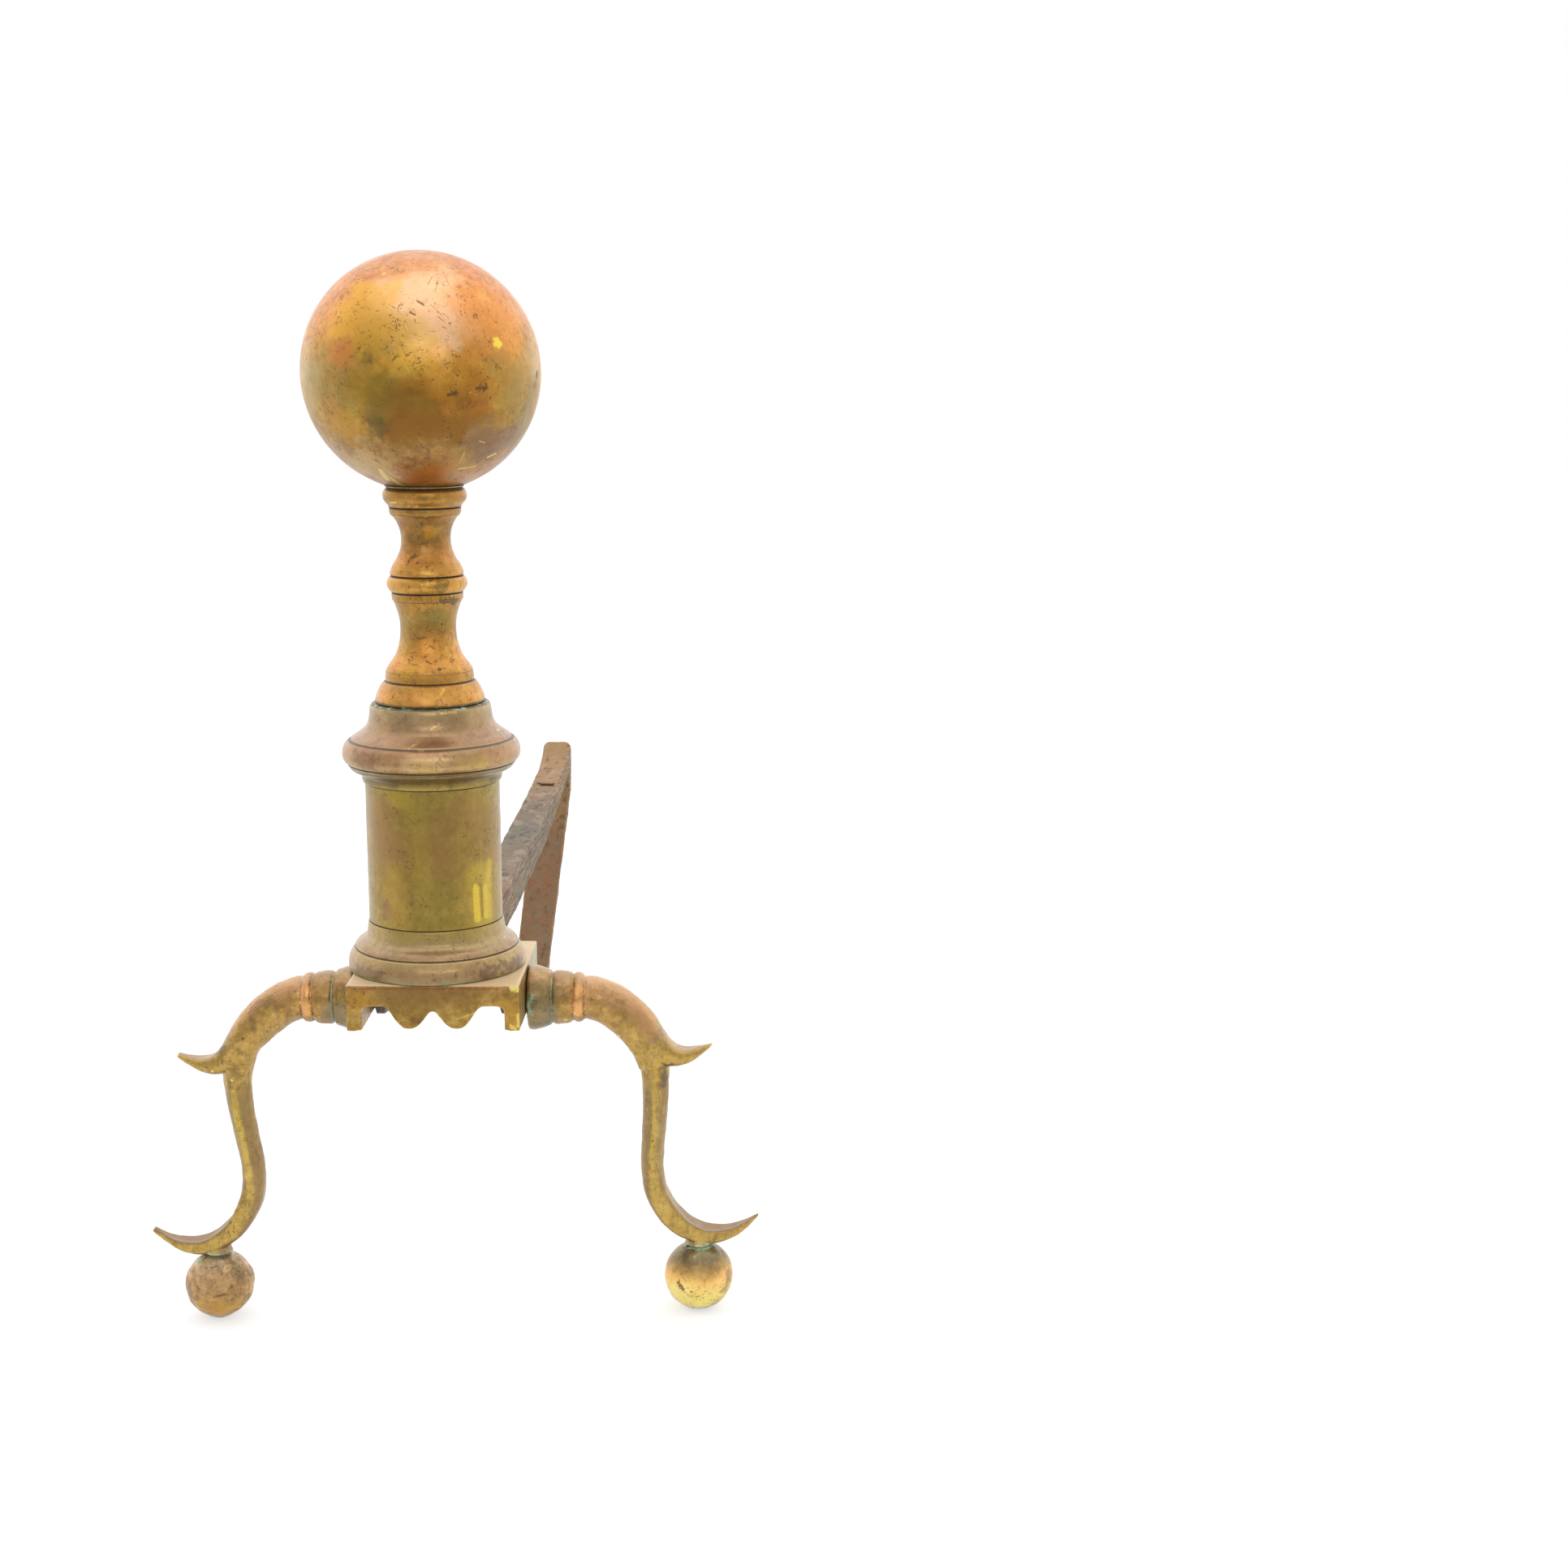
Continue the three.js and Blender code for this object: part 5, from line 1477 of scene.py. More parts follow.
@dataclass
class Plinth:
    """The cast plinth: a plate with lobed front and back aprons and plain cheeks.

    Attributes:
        plate: thickness of the plate.
        wall: thickness of the aprons.
        bracket: width of a corner bracket.
        slot_half: half the width of the bar's slot in the back apron.
        arch_rise: apron's lower edge to the top of its arches.
        notch_rise: the same to the notch between the lobes.
        lobe_rise: how much the lobes stop above the brackets.
        lobe_place: middle to the tip of a lobe.
        arch_place: middle to the inner end of an arch's flat top.
        corner: how far an arch's flat top stays from the bracket.
        voxel: fineness of the casting's skin.
    """

    plate: float = 6.0
    wall: float = 6.5
    bracket: float = 5.0
    slot_half: float = 9.3
    arch_rise: float = 10.4
    notch_rise: float = 8.4
    lobe_rise: float = 0.7
    lobe_place: float = 10.0
    arch_place: float = 20.6
    corner: float = 4.2
    voxel: float = 0.6

    def __post_init__(self) -> None:
        """Takes the plinth's box from the frame."""
        self.low = low_corner("plinth")
        self.high = high_corner("plinth")

    def bezier(self, a: Point, b: Point, c: Point, d: Point,
               steps: int = 10) -> list[tuple[float, float]]:
        """Points of a Bezier curve from a to d, a left out."""
        shares = np.arange(1, steps + 1)[:, None] / steps
        keep = 1 - shares
        rows = keep**3 * np.array(a) + 3 * keep**2 * shares * np.array(b)
        rows = rows + 3 * keep * shares**2 * np.array(c) + shares**3 * np.array(d)
        return [tuple(row) for row in rows]

    def apron_edge(self) -> list[tuple[float, float]]:
        """Right half of an apron's lower edge, from the bracket's outer foot to the notch."""
        half = (self.high[0] - self.low[0]) / 2
        inner = half - self.bracket
        arch, lobe = (self.arch_place, self.arch_rise), (self.lobe_place, self.lobe_rise)
        rows = [(half, 0.0), (inner + 0.5, 0.0), (inner, 0.9), (inner - 0.35, 5.0),
                (inner - 1.2, self.arch_rise - 2.2)]
        rows += [(inner - 2.4, self.arch_rise - 0.5), (inner - self.corner, self.arch_rise), arch]
        rows += self.bezier(arch, (arch[0] - 3.2, arch[1]), (lobe[0] + 5.6, lobe[1]), lobe)
        notch = (0.0, self.notch_rise)
        rows += self.bezier(lobe, (lobe[0] - 5.6, lobe[1]), (2.6, notch[1]), notch)
        return rows

    def apron(self, front: float, back: float, slotted: bool) -> Shell:
        """One apron as a slab with a lobed lower edge.

        Args:
            front: y of its outer face.
            back: y of its inner face.
            slotted: whether the bar's slot is cut through it.

        Returns:
            The slab, or the two slabs beside the slot.
        """
        centre = (self.low[0] + self.high[0]) / 2
        height = self.high[2] - self.low[2]
        edge = self.apron_edge()
        if not slotted:
            outline = edge + [(-x, z) for x, z in edge[-2::-1]]
            outline += [(-edge[0][0], height), (edge[0][0], height)]
            return self.slab([(centre + x, self.low[2] + z) for x, z in outline], front, back)
        shells = []
        for sign in (-1, 1):
            limit = (AXIS[0] + sign * self.slot_half - centre) * sign
            kept = [(x, z) for x, z in edge if x > limit]
            outline = kept + [(limit, kept[-1][1]), (limit, height), (edge[0][0], height)]
            shells.append(self.slab([(centre + sign * x, self.low[2] + z) for x, z in outline], front,
                                    back))
        return shells[0].joined(shells[1])

    def slab(self, outline: Sequence[Point], front: float, back: float) -> Shell:
        """Pushes an outline of (x, z) from front to back."""
        count = len(outline)
        points = np.array([(x, front, z) for x, z in outline] + [(x, back, z) for x, z in outline])
        faces = [tuple(range(count)), tuple(range(2 * count - 1, count - 1, -1))]
        faces += [(k, count + k, count + (k + 1) % count, (k + 1) % count) for k in range(count)]
        return Shell(points, faces)

    def cheek(self, sign: int) -> Shell:
        """A plain side wall."""
        outer = self.high[0] if sign > 0 else self.low[0]
        inner = outer - sign * self.wall
        outline = [(outer, self.low[2]), (outer, self.high[2]), (inner, self.high[2]),
                   (inner, self.low[2])]
        return self.slab(outline, self.low[1] + 1.0, self.high[1] - 1.0)

    def finish(self) -> bpy.types.Material:
        """Golden-brown front, pinkish-brown top, bright rubs and green seams."""
        x0, x1, y0, z0, z1 = self.low[0], self.high[0], self.low[1], self.low[2], self.high[2]
        foot = low_corner("column_base")[2]
        marks = (
            Mark("8A6A2A", (x0 + 24.0, y0, z0 + 13.0), 4.0, 8.0, (x0 + 30.0, y0, z0 + 12.0), 3.0, 0.6),
            Mark("6E4A20", (x0 + 30.0, y0, z0 + 4.5), 1.4, 2.4, None, 1.5, 0.7),
            Mark("7A5A2A", (x0 + 18.0, y0, z0 + 15.5), 2.0, 6.0, (x0 + 50.0, y0, z0 + 16.5), 3.0, 0.55),
            Mark("B8862E", (x0 + 6.0, y0, z0 + 12.0), 2.5, 4.0, None, 1.0, 0.55),
            Mark("B88C34", (x1 - 6.0, y0, z0 + 10.0), 2.0, 4.0, (x1 - 2.0, y0, z0 + 4.0), 1.0, 0.6),
            Mark("EAD47A", (x1 - 2.6, y0, z1 - 0.8), 1.0, 0.8, (x1 - 0.6, y0, z1 - 1.4), 0.6, 0.95),
            Mark("E6C860", (x1 - 0.4, y0, z0 + 7.0), 0.5, 0.6, (x1 - 0.4, y0, z0 + 2.0), 0.5, 0.85),
            Mark("E2C468", (x1 - 3.6, y0, z0 + 2.2), 0.5, 0.6, (x1 - 1.5, y0, z0 + 0.6), 0.5, 0.85),
            Mark("D8B860", (x0 + 46.0, y0, z0 + 5.2), 0.2, 0.4, (x0 + 57.0, y0, z0 + 9.0), 0.4, 0.55),
            Mark("7A3E22", (x0 + 3.0, y0, z1 - 1.4), 0.15, 0.5, (x1 - 8.0, y0, z1 - 1.4), 0.6, 0.6),
            Mark("8FA68A", (x1 - 4.0, (y0 + self.high[1]) / 2 + 16.0, z1), 5.0, 9.0,
                 (x1, self.high[1], z1), 4.0, 0.45),
        )
        return Metal(
            "plinth_tarnish",
            ((z0, "A07C30"), (z0 + 8.0, "A07A32"), (z0 + 16.0, "98702C"), (z1 - 1.2, "A4763A"),
             (z1, "A88464")),
            (Patch("86662A", (10.0, 10.0, 8.0), 0.52, 0.7, 44.0, 0.55),
             Patch("B88A38", (7.0, 7.0, 6.0), 0.56, 0.72, 47.0, 0.5),
             Patch("6E5024", (3.0, 3.0, 3.0), 0.6, 0.74, 49.0, 0.4)),
            marks,
            (Ring("5E7A5E", foot + 0.05, 0.12, 0.35, 0.5, 0.3),),
            metallic=0.72, roughness=(0.36, 0.52), pits=0.7, scratches=0.8, grain=0.012,
            worn="ECC468", worn_strength=0.65, worn_levels=(0.515, 0.58), grime_and_shade_reach=2.2, stir=1.2,
            mottle=0.32,
            # Its top takes pale dust with a painted sheen; its corners take grime with painted shade.
            lift=(1.2, 1.22, 1.06), dust=0.85, grime_and_shade_colour="5A4A30",
        ).material()

    def build(self) -> None:
        """Makes and dresses the plinth."""
        low, high = self.low, self.high
        shell = self.apron(low[1], low[1] + self.wall, False)
        shell = shell.joined(self.apron(high[1] - self.wall, high[1], True))
        for sign in (-1, 1):
            shell = shell.joined(self.cheek(sign))
        top = [(low[0], high[2] - self.plate), (high[0], high[2] - self.plate), (high[0], high[2]),
               (low[0], high[2])]
        shell = shell.joined(self.slab(top, low[1], high[1]))
        obj = make_object("plinth_casting", shell)
        cast_as_one(obj, self.voxel, 4)
        swell(obj, lambda points, normals: 0.1 * uneven(points, (9.0,) * 3, 3, 2.0) - 0.05)
        shade(obj, 60.0)
        settle(obj, "plinth", Slot.PLINTH, self.finish())


# ---- the legs


@dataclass
class CabrioleLeg:
    """A cast cabriole leg: turned root, arch, knee spur, shank and upturned toe.

    Attributes:
        side: the side of the plinth that it stands on.
        tuck: how far the foot is pushed in.
        sag: how far the knee hangs.
        toe_dip: how much the toe dips, per millimetre beyond the foot.
        arch_start: from the plinth to where the arch leaves the root.
        foot_reach: from the plinth to the foot's middle.
        arch_radius: the arch's radius where it starts.
        tenon: radius of the tenon in the plinth's cheek.
        boss: radius of the boss over the foot ball.
        boss_height: its height.
        voxel: fineness of the casting's skin.
        root_rows: runs of the root's outline, (distance from the plinth, radius).
        arch_rows: arch and spur: (share of the way out, drop, half thickness, half width, squareness,
            hollow).
        fillet_rows: fillet between arch and shank: (out, drop) of its middle and (out, up) of its normal.
        calf_rows: top of the shank, given the same way as the arch.
        shin_rows: the same, the second value the share of the way down to the ankle.
        toe_rows: the same, the second value the height above the foot's seat.
        blunt: half thickness of the toe's and the spur's tips.
        fillet: how far the bend under the arch is filled.
    """

    side: Side
    tuck: float
    sag: float
    toe_dip: float
    blunt: float
    fillet: float
    arch_start: float = 24.7
    foot_reach: float = 72.7
    arch_radius: float = 9.4
    tenon: float = 3.5
    boss: float = 5.6
    boss_height: float = 4.5
    voxel: float = 0.45
    root_rows: tuple[tuple[tuple[float, float], ...], ...] = (
        ((0.3, 13.2), (0.9, 13.8), (2.6, 14.0), (5.0, 13.6), (7.6, 12.7), (9.7, 11.9), (10.2, 11.2)),
        ((10.5, 10.3), (10.9, 10.3)),
        ((11.2, 11.1), (11.8, 11.5), (14.0, 11.6), (16.6, 11.3), (18.4, 10.9), (18.9, 10.4)),
        ((19.2, 9.2), (19.6, 9.2)),
        ((19.8, 10.0), (20.3, 10.5), (21.6, 10.8), (23.0, 10.5), (23.8, 10.0)),
        ((24.1, 8.7), (24.5, 8.7)),
        ((24.7, 9.2), (25.2, 9.4), (27.0, 9.3)),
    )
    arch_rows: tuple[tuple[float, ...], ...] = (
        (0.0, 0.0, 0.99, 0.99, 2.0, 0.0), (0.056, 0.3, 1.0, 1.0, 2.0, 0.0),
        (0.204, 3.3, 0.99, 0.98, 2.0, 0.0),
        (0.335, 8.0, 0.98, 0.95, 2.0, 0.0), (0.45, 13.4, 0.92, 0.92, 2.1, 0.0),
        (0.547, 18.9, 0.8, 0.88, 2.3, 0.0),
        (0.65, 23.9, 0.66, 0.81, 2.5, 0.3), (0.762, 27.1, 0.54, 0.71, 2.6, 0.7),
        (0.885, 27.4, 0.4, 0.55, 2.5, 0.9),
        (1.01, 25.6, 0.24, 0.37, 2.2, 0.5), (1.123, 23.0, 0.05, 0.12, 2.0, 0.0),
    )
    fillet_rows: tuple[tuple[float, ...], ...] = (
        (41.3, 12.9, 0.71, 0.71), (45.0, 17.0, 0.78, 0.63), (48.1, 21.4, 0.85, 0.53),
        (50.5, 26.0, 0.91, 0.41),
        (52.3, 31.1, 0.96, 0.29),
    )
    calf_rows: tuple[tuple[float, ...], ...] = (
        (0.456, 14.5, 5.6, 6.8, 2.0, 0.0), (0.55, 23.0, 6.4, 7.2, 1.9, 0.0),
        (0.6, 31.2, 6.5, 6.9, 1.7, 0.0),
        (0.61, 39.2, 5.9, 6.5, 1.65, 0.0),
    )
    shin_rows: tuple[tuple[float, ...], ...] = (
        (0.608, 0.26, 5.5, 6.3, 1.65, 0.0), (0.593, 0.53, 5.3, 6.2, 1.65, 0.0),
        (0.579, 0.8, 5.1, 6.0, 1.8, 0.0),
    )
    toe_rows: tuple[tuple[float, ...], ...] = (
        (0.594, 30.0, 5.0, 5.9, 2.2, 0.0), (0.628, 23.7, 5.0, 5.9, 2.9, 0.3),
        (0.7, 17.1, 5.0, 6.0, 3.8, 0.7),
        (0.796, 11.4, 4.8, 6.1, 4.0, 1.2), (0.905, 7.3, 4.4, 6.1, 4.2, 1.7),
        (1.037, 4.5, 3.9, 5.9, 4.2, 2.0),
        (1.177, 3.9, 3.4, 5.3, 4.0, 1.9), (1.308, 5.3, 2.7, 4.3, 3.6, 1.4),
        (1.427, 8.3, 1.8, 2.9, 2.8, 0.7),
        (1.548, 12.6, 0.4, 0.9, 2.0, 0.0),
    )

    def __post_init__(self) -> None:
        """Takes the leg's anchors from the frame."""
        plinth = high_corner("plinth") if self.side is Side.RIGHT else low_corner("plinth")
        self.wall_x = float(plinth[0])
        self.root = middle(self.side.node("leg_nut"))
        self.foot = middle(self.side.node("foot_pin"))
        self.seat_z = float(high_corner(self.side.node("foot_ball"))[2]) + 0.3
        self.rise = float(self.root[2]) - self.seat_z
        self.step = float(self.foot[1] - self.root[1])

    def placed(self, rows: np.ndarray) -> np.ndarray:
        """Carries points of the pattern, (out, across, height), to this leg's side, bent as it is."""
        out, across, height = rows.T
        down = np.clip((self.root[2] - 36.0 - height) / (self.rise - 36.0), 0.0, 1.0)
        away = np.clip((out - self.arch_start) / (self.foot_reach - self.arch_start), 0.0, 1.2)
        lower = self.sag * away * (1 - down) + self.toe_dip * (out - self.foot_reach) * down
        x = self.wall_x + self.side.value * (out - self.tuck * down)
        return np.stack([x, self.root[1] + across + self.step * away, height - lower], axis=1)

    def limb(self, stations: np.ndarray) -> Shell:
        """Skins sections along the pattern's curve.

        Args:
            stations: rows of out, height, half thickness, half width, squareness and hollow.

        Returns:
            The closed limb.
        """
        line = flowing(stations, 8)
        ahead = np.gradient(line[:, :2], axis=0)
        ahead = ahead / np.linalg.norm(ahead, axis=1)[:, None]
        angles = np.linspace(0, 2 * math.pi, RING_POINTS, endpoint=False)
        rings = []
        for (out, height, thick, wide, power, hollow), (dx, dz) in zip(line, ahead):
            u = thick * np.sign(np.cos(angles)) * np.abs(np.cos(angles)) ** (2 / power)
            v = wide * np.sign(np.sin(angles)) * np.abs(np.sin(angles)) ** (2 / power)
            u = np.where(u > 0, u - hollow * (1 - (v / wide) ** 2) ** 2, u)
            rings.append(np.stack([out - dz * u, v, height + dx * u], axis=1))
        return Shell(self.placed(np.vstack(rings)), tube_faces(len(line), RING_POINTS))

    def turned_root(self) -> Shell:
        """The turned root with its tenon, lying along x."""
        tenon_end = self.root[0] - self.side.value * 4.1
        reach = (self.wall_x - tenon_end) * self.side.value
        outline = [(self.tenon - 0.4, -reach), (self.tenon, -reach + 0.4), (self.tenon, 0.3)]
        outline += [(radius, out) for out, radius in outline_of(self.root_rows, 4)]
        outline += [(0.0, 27.0), (0.0, -reach)]
        shell = turned(np.array(outline, float), (0.0, 0.0, 0.0), 120)
        x, y, z = shell.points.T
        shell.points = np.stack([self.wall_x + self.side.value * z, self.root[1] + y, self.root[2] + x],
                                axis=1)
        return shell

    def foot_boss(self) -> Shell:
        """The boss over the foot ball, flared where it is brazed on."""
        outline = [(0.0, 0.0), (self.boss + 0.9, 0.0), (self.boss + 0.6, 0.7), (self.boss, 1.6)]
        outline += [(self.boss, self.boss_height), (0.0, self.boss_height)]
        return turned(np.array(outline), (self.foot[0], self.foot[1], self.seat_z), 48)

    def stations(self, rows: Sequence[Point], to_height: Callable[[float], float],
                 scale: float) -> list[list[float]]:
        """Turns rows of shares into rows of millimetres."""
        span = self.foot_reach - self.arch_start
        return [[self.arch_start + out * span, to_height(value), max(self.blunt, thick * scale),
                 max(self.blunt * 1.6, wide * scale), power, hollow]
                for out, value, thick, wide, power, hollow in rows]

    def build(self, dress: bpy.types.Material) -> None:
        """Makes and dresses the leg.

        Args:
            dress: its material.
        """
        root_z = float(self.root[2])
        calf_end = root_z - self.calf_rows[-1][1]
        ankle = self.seat_z + self.toe_rows[0][1]
        arch = self.stations(self.arch_rows, lambda drop: root_z - drop, self.arch_radius)
        shank = self.stations(self.calf_rows, lambda drop: root_z - drop, 1.0)
        shank += self.stations(self.shin_rows, lambda share: calf_end + share * (ankle - calf_end), 1.0)
        shank += self.stations(self.toe_rows, lambda height: self.seat_z + height, 1.0)
        spare = 2.4 - self.fillet
        inner = [[out + spare * ahead, root_z - drop + spare * up, 6.0, 7.0, 2.3, 0.0]
                 for out, drop, ahead, up in self.fillet_rows]
        shell = self.turned_root()
        for rows in (arch, inner, shank):
            shell = shell.joined(self.limb(np.array(rows)))
        obj = make_object(f"{self.side.name.lower()}_leg_casting", shell.joined(self.foot_boss()))
        cast_as_one(obj, self.voxel, 4)

        def hand_filed(points: np.ndarray, normals: np.ndarray) -> np.ndarray:
            """Slow file flats and a little casting roughness."""
            return 0.22 * uneven(points, (7.0,) * 3, 2, 6.0) + 0.07 * uneven(points, (1.8,) * 3, 2,
                                                                             9.0) - 0.08

        swell(obj, hand_filed)
        shade(obj, 70.0)
        settle(obj, self.side.node("leg"), Slot.LEG, dress)


@dataclass
class Legs:
    """Both legs and their foot balls."""

    studio: Studio
    left: CabrioleLeg = field(default_factory=lambda: CabrioleLeg(Side.LEFT, 7.6, 1.3, 0.09, 1.15, 0.9))
    right: CabrioleLeg = field(default_factory=lambda: CabrioleLeg(Side.RIGHT, 0.7, 0.0, 0.0, 0.45, 2.2))

    def leg_finish(self, leg: CabrioleLeg) -> bpy.types.Material:
        """Orange-brown over the arch, golden-olive on the front, dark under the spur, green grooves;
        browner sides and undersides, partly painted shade.
        """
        sign = leg.side.value
        x0, y, z = leg.wall_x, float(leg.root[1]), float(leg.root[2])
        arch, green, pale = "A98058", "7FAE94", "A9C6B0"

        def at(out: float, height: float, front: float = -7.0) -> tuple[float, float, float]:
            """A point this far out from the plinth and this much above the root's axis."""
            return (x0 + sign * out, y + front, z + height)

        foot = leg.foot
        marks = list(marks_at(at, (
            (arch, (27, 7, -3), 4.5, 6, (45, 2, -3), 2.5, 0.85),
            (arch, (45, 2, -3), 3.5, 5.5, (53, -10, -3), 2.5, 0.75),
            ("7A6038", (16, 9, 0), 4, 5, (4, 10, 0), 2, 0.6),
            ("CE9860", (22, 4, -8), 1.6, 2.6, (22, -4, -9), 1, 0.9),
            ("6E5838", (44, -1, -8), 1.6, 3, (39, 0.5, -9), 2, 0.55),
            ("84705A", (58, -16, -4), 2.6, 4, (76, -20, -3), 2.5, 0.7),
            ("4C4232", (58, -21.5, -7), 1.2, 2.6, (62, -24, -5), 1.5, 0.7),
            ("3E3426", (60, -32, -2), 1.4, 3.4, (58, -38, -1), 1.4, 0.8),
            ("6A5230", (53, -27, -7), 1, 2.8, (53, -36, -7), 2, 0.5),
            ("B0983C", (53, -42, -6), 2.2, 3, (52, -70, -6), 1, 0.5),
            ("6E5430", (52, -80, -6), 1.2, 2.6, (54, -90, -6), 2.4, 0.45),
            ("C0A040", (58, -96, -6), 1.6, 3, (70, -110, -6), 1.2, 0.55),
        )))
        for groove, radius, half, strength, code in (
            (10.7, 11.3, 0.45, 0.85, green), (19.4, 9.8, 0.25, 0.7, "42381F"),
            (24.3, 9.8, 0.25, 0.7, "42381F"),
        ):
            for angle in range(-150, 31, 30):
                a, b = math.radians(angle), math.radians(angle + 30)
                start = (x0 + sign * groove, y + radius * math.cos(a + math.pi), z + radius * math.sin(a))
                end = (x0 + sign * groove, y + radius * math.cos(b + math.pi), z + radius * math.sin(b))
                lower = 0.5 - 0.5 * math.sin(math.radians(angle + 15))
                marks.append(Mark(code, start, half, 0.5, end, 0.6, strength * (0.35 + 0.65 * lower)))
        marks.append(Mark("6E6650", at(3.0, -5.0, -11.5), 4.5, 4.5, at(8.0, -5.0, -10.5), 2.0, 0.7))
        marks.append(Mark("5E583C", at(3.0, 4.0, -11.0), 4.0, 4.0, at(8.0, 2.0, -9.5), 2.0,
                          0.55 if sign > 0 else 0.15))
        marks.append(Mark(green, at(1.2, -3.0, -13.0), 0.8, 1.6, at(1.0, 3.0, -13.0), 1.4,
                          0.6 if sign > 0 else 0.2))
        marks.append(Mark("4E4A38", at(3.0, -11.5, -7.0), 2.2, 3.0, at(9.0, -10.0, -6.0), 1.6, 0.7))
        around = [(foot[0] + 6.6 * math.cos(t), foot[1] + 6.6 * math.sin(t), leg.seat_z + 0.4)
                  for t in np.radians(range(0, 361, 45))]
        for start, end in zip(around, around[1:]):
            marks.append(Mark(pale, tuple(map(float, start)), 0.3, 0.8, tuple(map(float, end)), 1.3,
                              0.55))
        return Metal(
            f"{leg.side.name.lower()}_leg_tarnish",
            ((leg.seat_z, "A88A44"), (leg.seat_z + 30.0, "B2964C"), (z - 40.0, "A88C42"),
             (z - 12.0, "A28040"),
             (z + 2.0, "9A743A"), (z + 12.0, "8C6A44")),
            (Patch("B3923E", (7.0, 7.0, 12.0), 0.5, 0.68, 54.0, 0.6),
             Patch("74592F", (4.0, 4.0, 14.0), 0.53, 0.68, 57.0, 0.55),
             Patch("5E4628", (1.6, 1.6, 5.0), 0.58, 0.7, 59.0, 0.4)),
            tuple(marks),
            metallic=0.78, roughness=(0.32, 0.48), pits=0.75, scratches=0.9, grain=0.012, grime_and_shade_colour="544A30",
            worn="EACB70", worn_strength=0.75, worn_levels=(0.512, 0.56), grime_and_shade_reach=2.4, mottle=0.22,
            # Faces that point up take pale dust with a painted sheen.
            lift=(1.36, 1.34, 1.24), dust=0.25,
            backs=lambda graph, colour: self.brown_backs(graph, colour, leg),
        ).material()

    def brown_backs(self, graph: Graph, colour: Socket, leg: CabrioleLeg) -> Socket:
        """Lays brown on the leg's sides and back, on its spur and inside the toe's curve, by which way
        each face points: tarnish, and painted shade on the sides and undersides.

        Args:
            graph: the leg's tree so far.
            colour: its colour so far.
            leg: the leg.

        Returns:
            The colour with the tarnish and painted shade on it.
        """
        root_z = float(leg.root[2])
        ragged = graph.times(graph.minus(graph.clouds((3.0, 3.0, 9.0), 77.0), 0.5), 0.7)
        outward = graph.facing((float(leg.side.value), 0.0, 0.0))
        upward = graph.plus(graph.facing((0.0, 0.0, 1.0)), ragged)
        inward = graph.between(graph.plus(outward, graph.times(ragged, 0.5)), -0.05, -0.45)
        side = graph.between(graph.plus(graph.math("ABSOLUTE", outward), ragged), 0.4, 0.8)
        sides = graph.times(graph.larger(side, inward), 0.8)
        below_knee = graph.between(graph.height(), root_z - 32.0, root_z - 44.0)
        cover = graph.times(graph.larger(graph.between(upward, 0.25, 0.62), sides), below_knee)
        # Sides, inner faces and half-up faces below the knee go brown: tarnish, and on the sides and
        # inner faces also painted shade.
        colour = graph.lay(colour, "80644A", cover, 0.78)
        below_arch = graph.between(graph.height(), root_z - 12.0, root_z - 20.0)
        spur_top = graph.times(graph.between(upward, 0.55, 0.85), below_arch)
        colour = graph.lay(colour, "A08468", spur_top, 0.6)
        # Faces that point down go darker: painted shade.
        return graph.lay(colour, "7A5C34", graph.between(upward, -0.45, -0.85), 0.45)

    def foot_finish(self, side: Side) -> bpy.types.Material:
        """Copper-brown and scratched on the left; dark, orange, gold and pitted on the right."""
        ball = middle(side.node("foot_ball"))
        x, y, z = float(ball[0]), float(ball[1]), FOOT_MIDDLE
        top = 29.0

        def at(across: float, upward: float) -> tuple[float, float, float]:
            """A point on the front of the foot ball, in shares of its radius."""
            depth = math.sqrt(max(0.0, 1 - across**2 - upward**2))
            return (x + 15.0 * across, y - 15.0 * depth, z + 15.0 * upward)

        if side is Side.LEFT:
            marks = (Mark("A09070", (x, y, top), 5.0, 5.0, None, 3.0, 0.65),) + marks_at(at, (
                ("8A6440", (-0.85, -0.1), 3, 4, None, 2, 0.7),
                ("B88C40", (-0.35, -0.55), 3, 4, (0.1, -0.5), 2, 0.75),
                ("C0943E", (0.2, -0.6), 2, 3, (0.6, -0.55), 2, 0.6),
                ("5E4426", (-0.4, -0.62), 0.5, 0.8, (0.55, -0.66), 1.2, 0.7),
                ("B48C60", (0.1, 0.3), 3, 5, None, 2, 0.45),
                ("6A4C2C", (0.05, -0.02), 0.3, 0.4, (0.4, 0.02), 0.5, 0.8),
                ("6A5838", (0.75, 0.45), 2.4, 4, None, 2, 0.6),
                ("A9C6B0", (-0.55, 0.78), 1, 1.6, None, 1, 0.8),
            ))
            return Metal(
                "left_foot_tarnish",
                ((0.0, "A08448"), (8.0, "A8864A"), (15.0, "AC8450"), (22.0, "BA966C"), (29.0, "B4A080")),
                (Patch("80602F", (5.0,) * 3, 0.52, 0.68, 64.0, 0.6),
                 Patch("C08A50", (3.0,) * 3, 0.58, 0.72, 67.0, 0.45)),
                marks, (Ring("8FA68A", top, 0.25, 0.7, 0.7, 0.55),),
                metallic=0.72, roughness=(0.38, 0.54), pits=0.9, scratches=1.0, grain=0.03, stir=5.0,
                mottle=0.42,
                worn="E0C080", worn_strength=0.5, worn_levels=(0.51, 0.55), lift=(1.22, 1.2, 1.15),
            ).material()
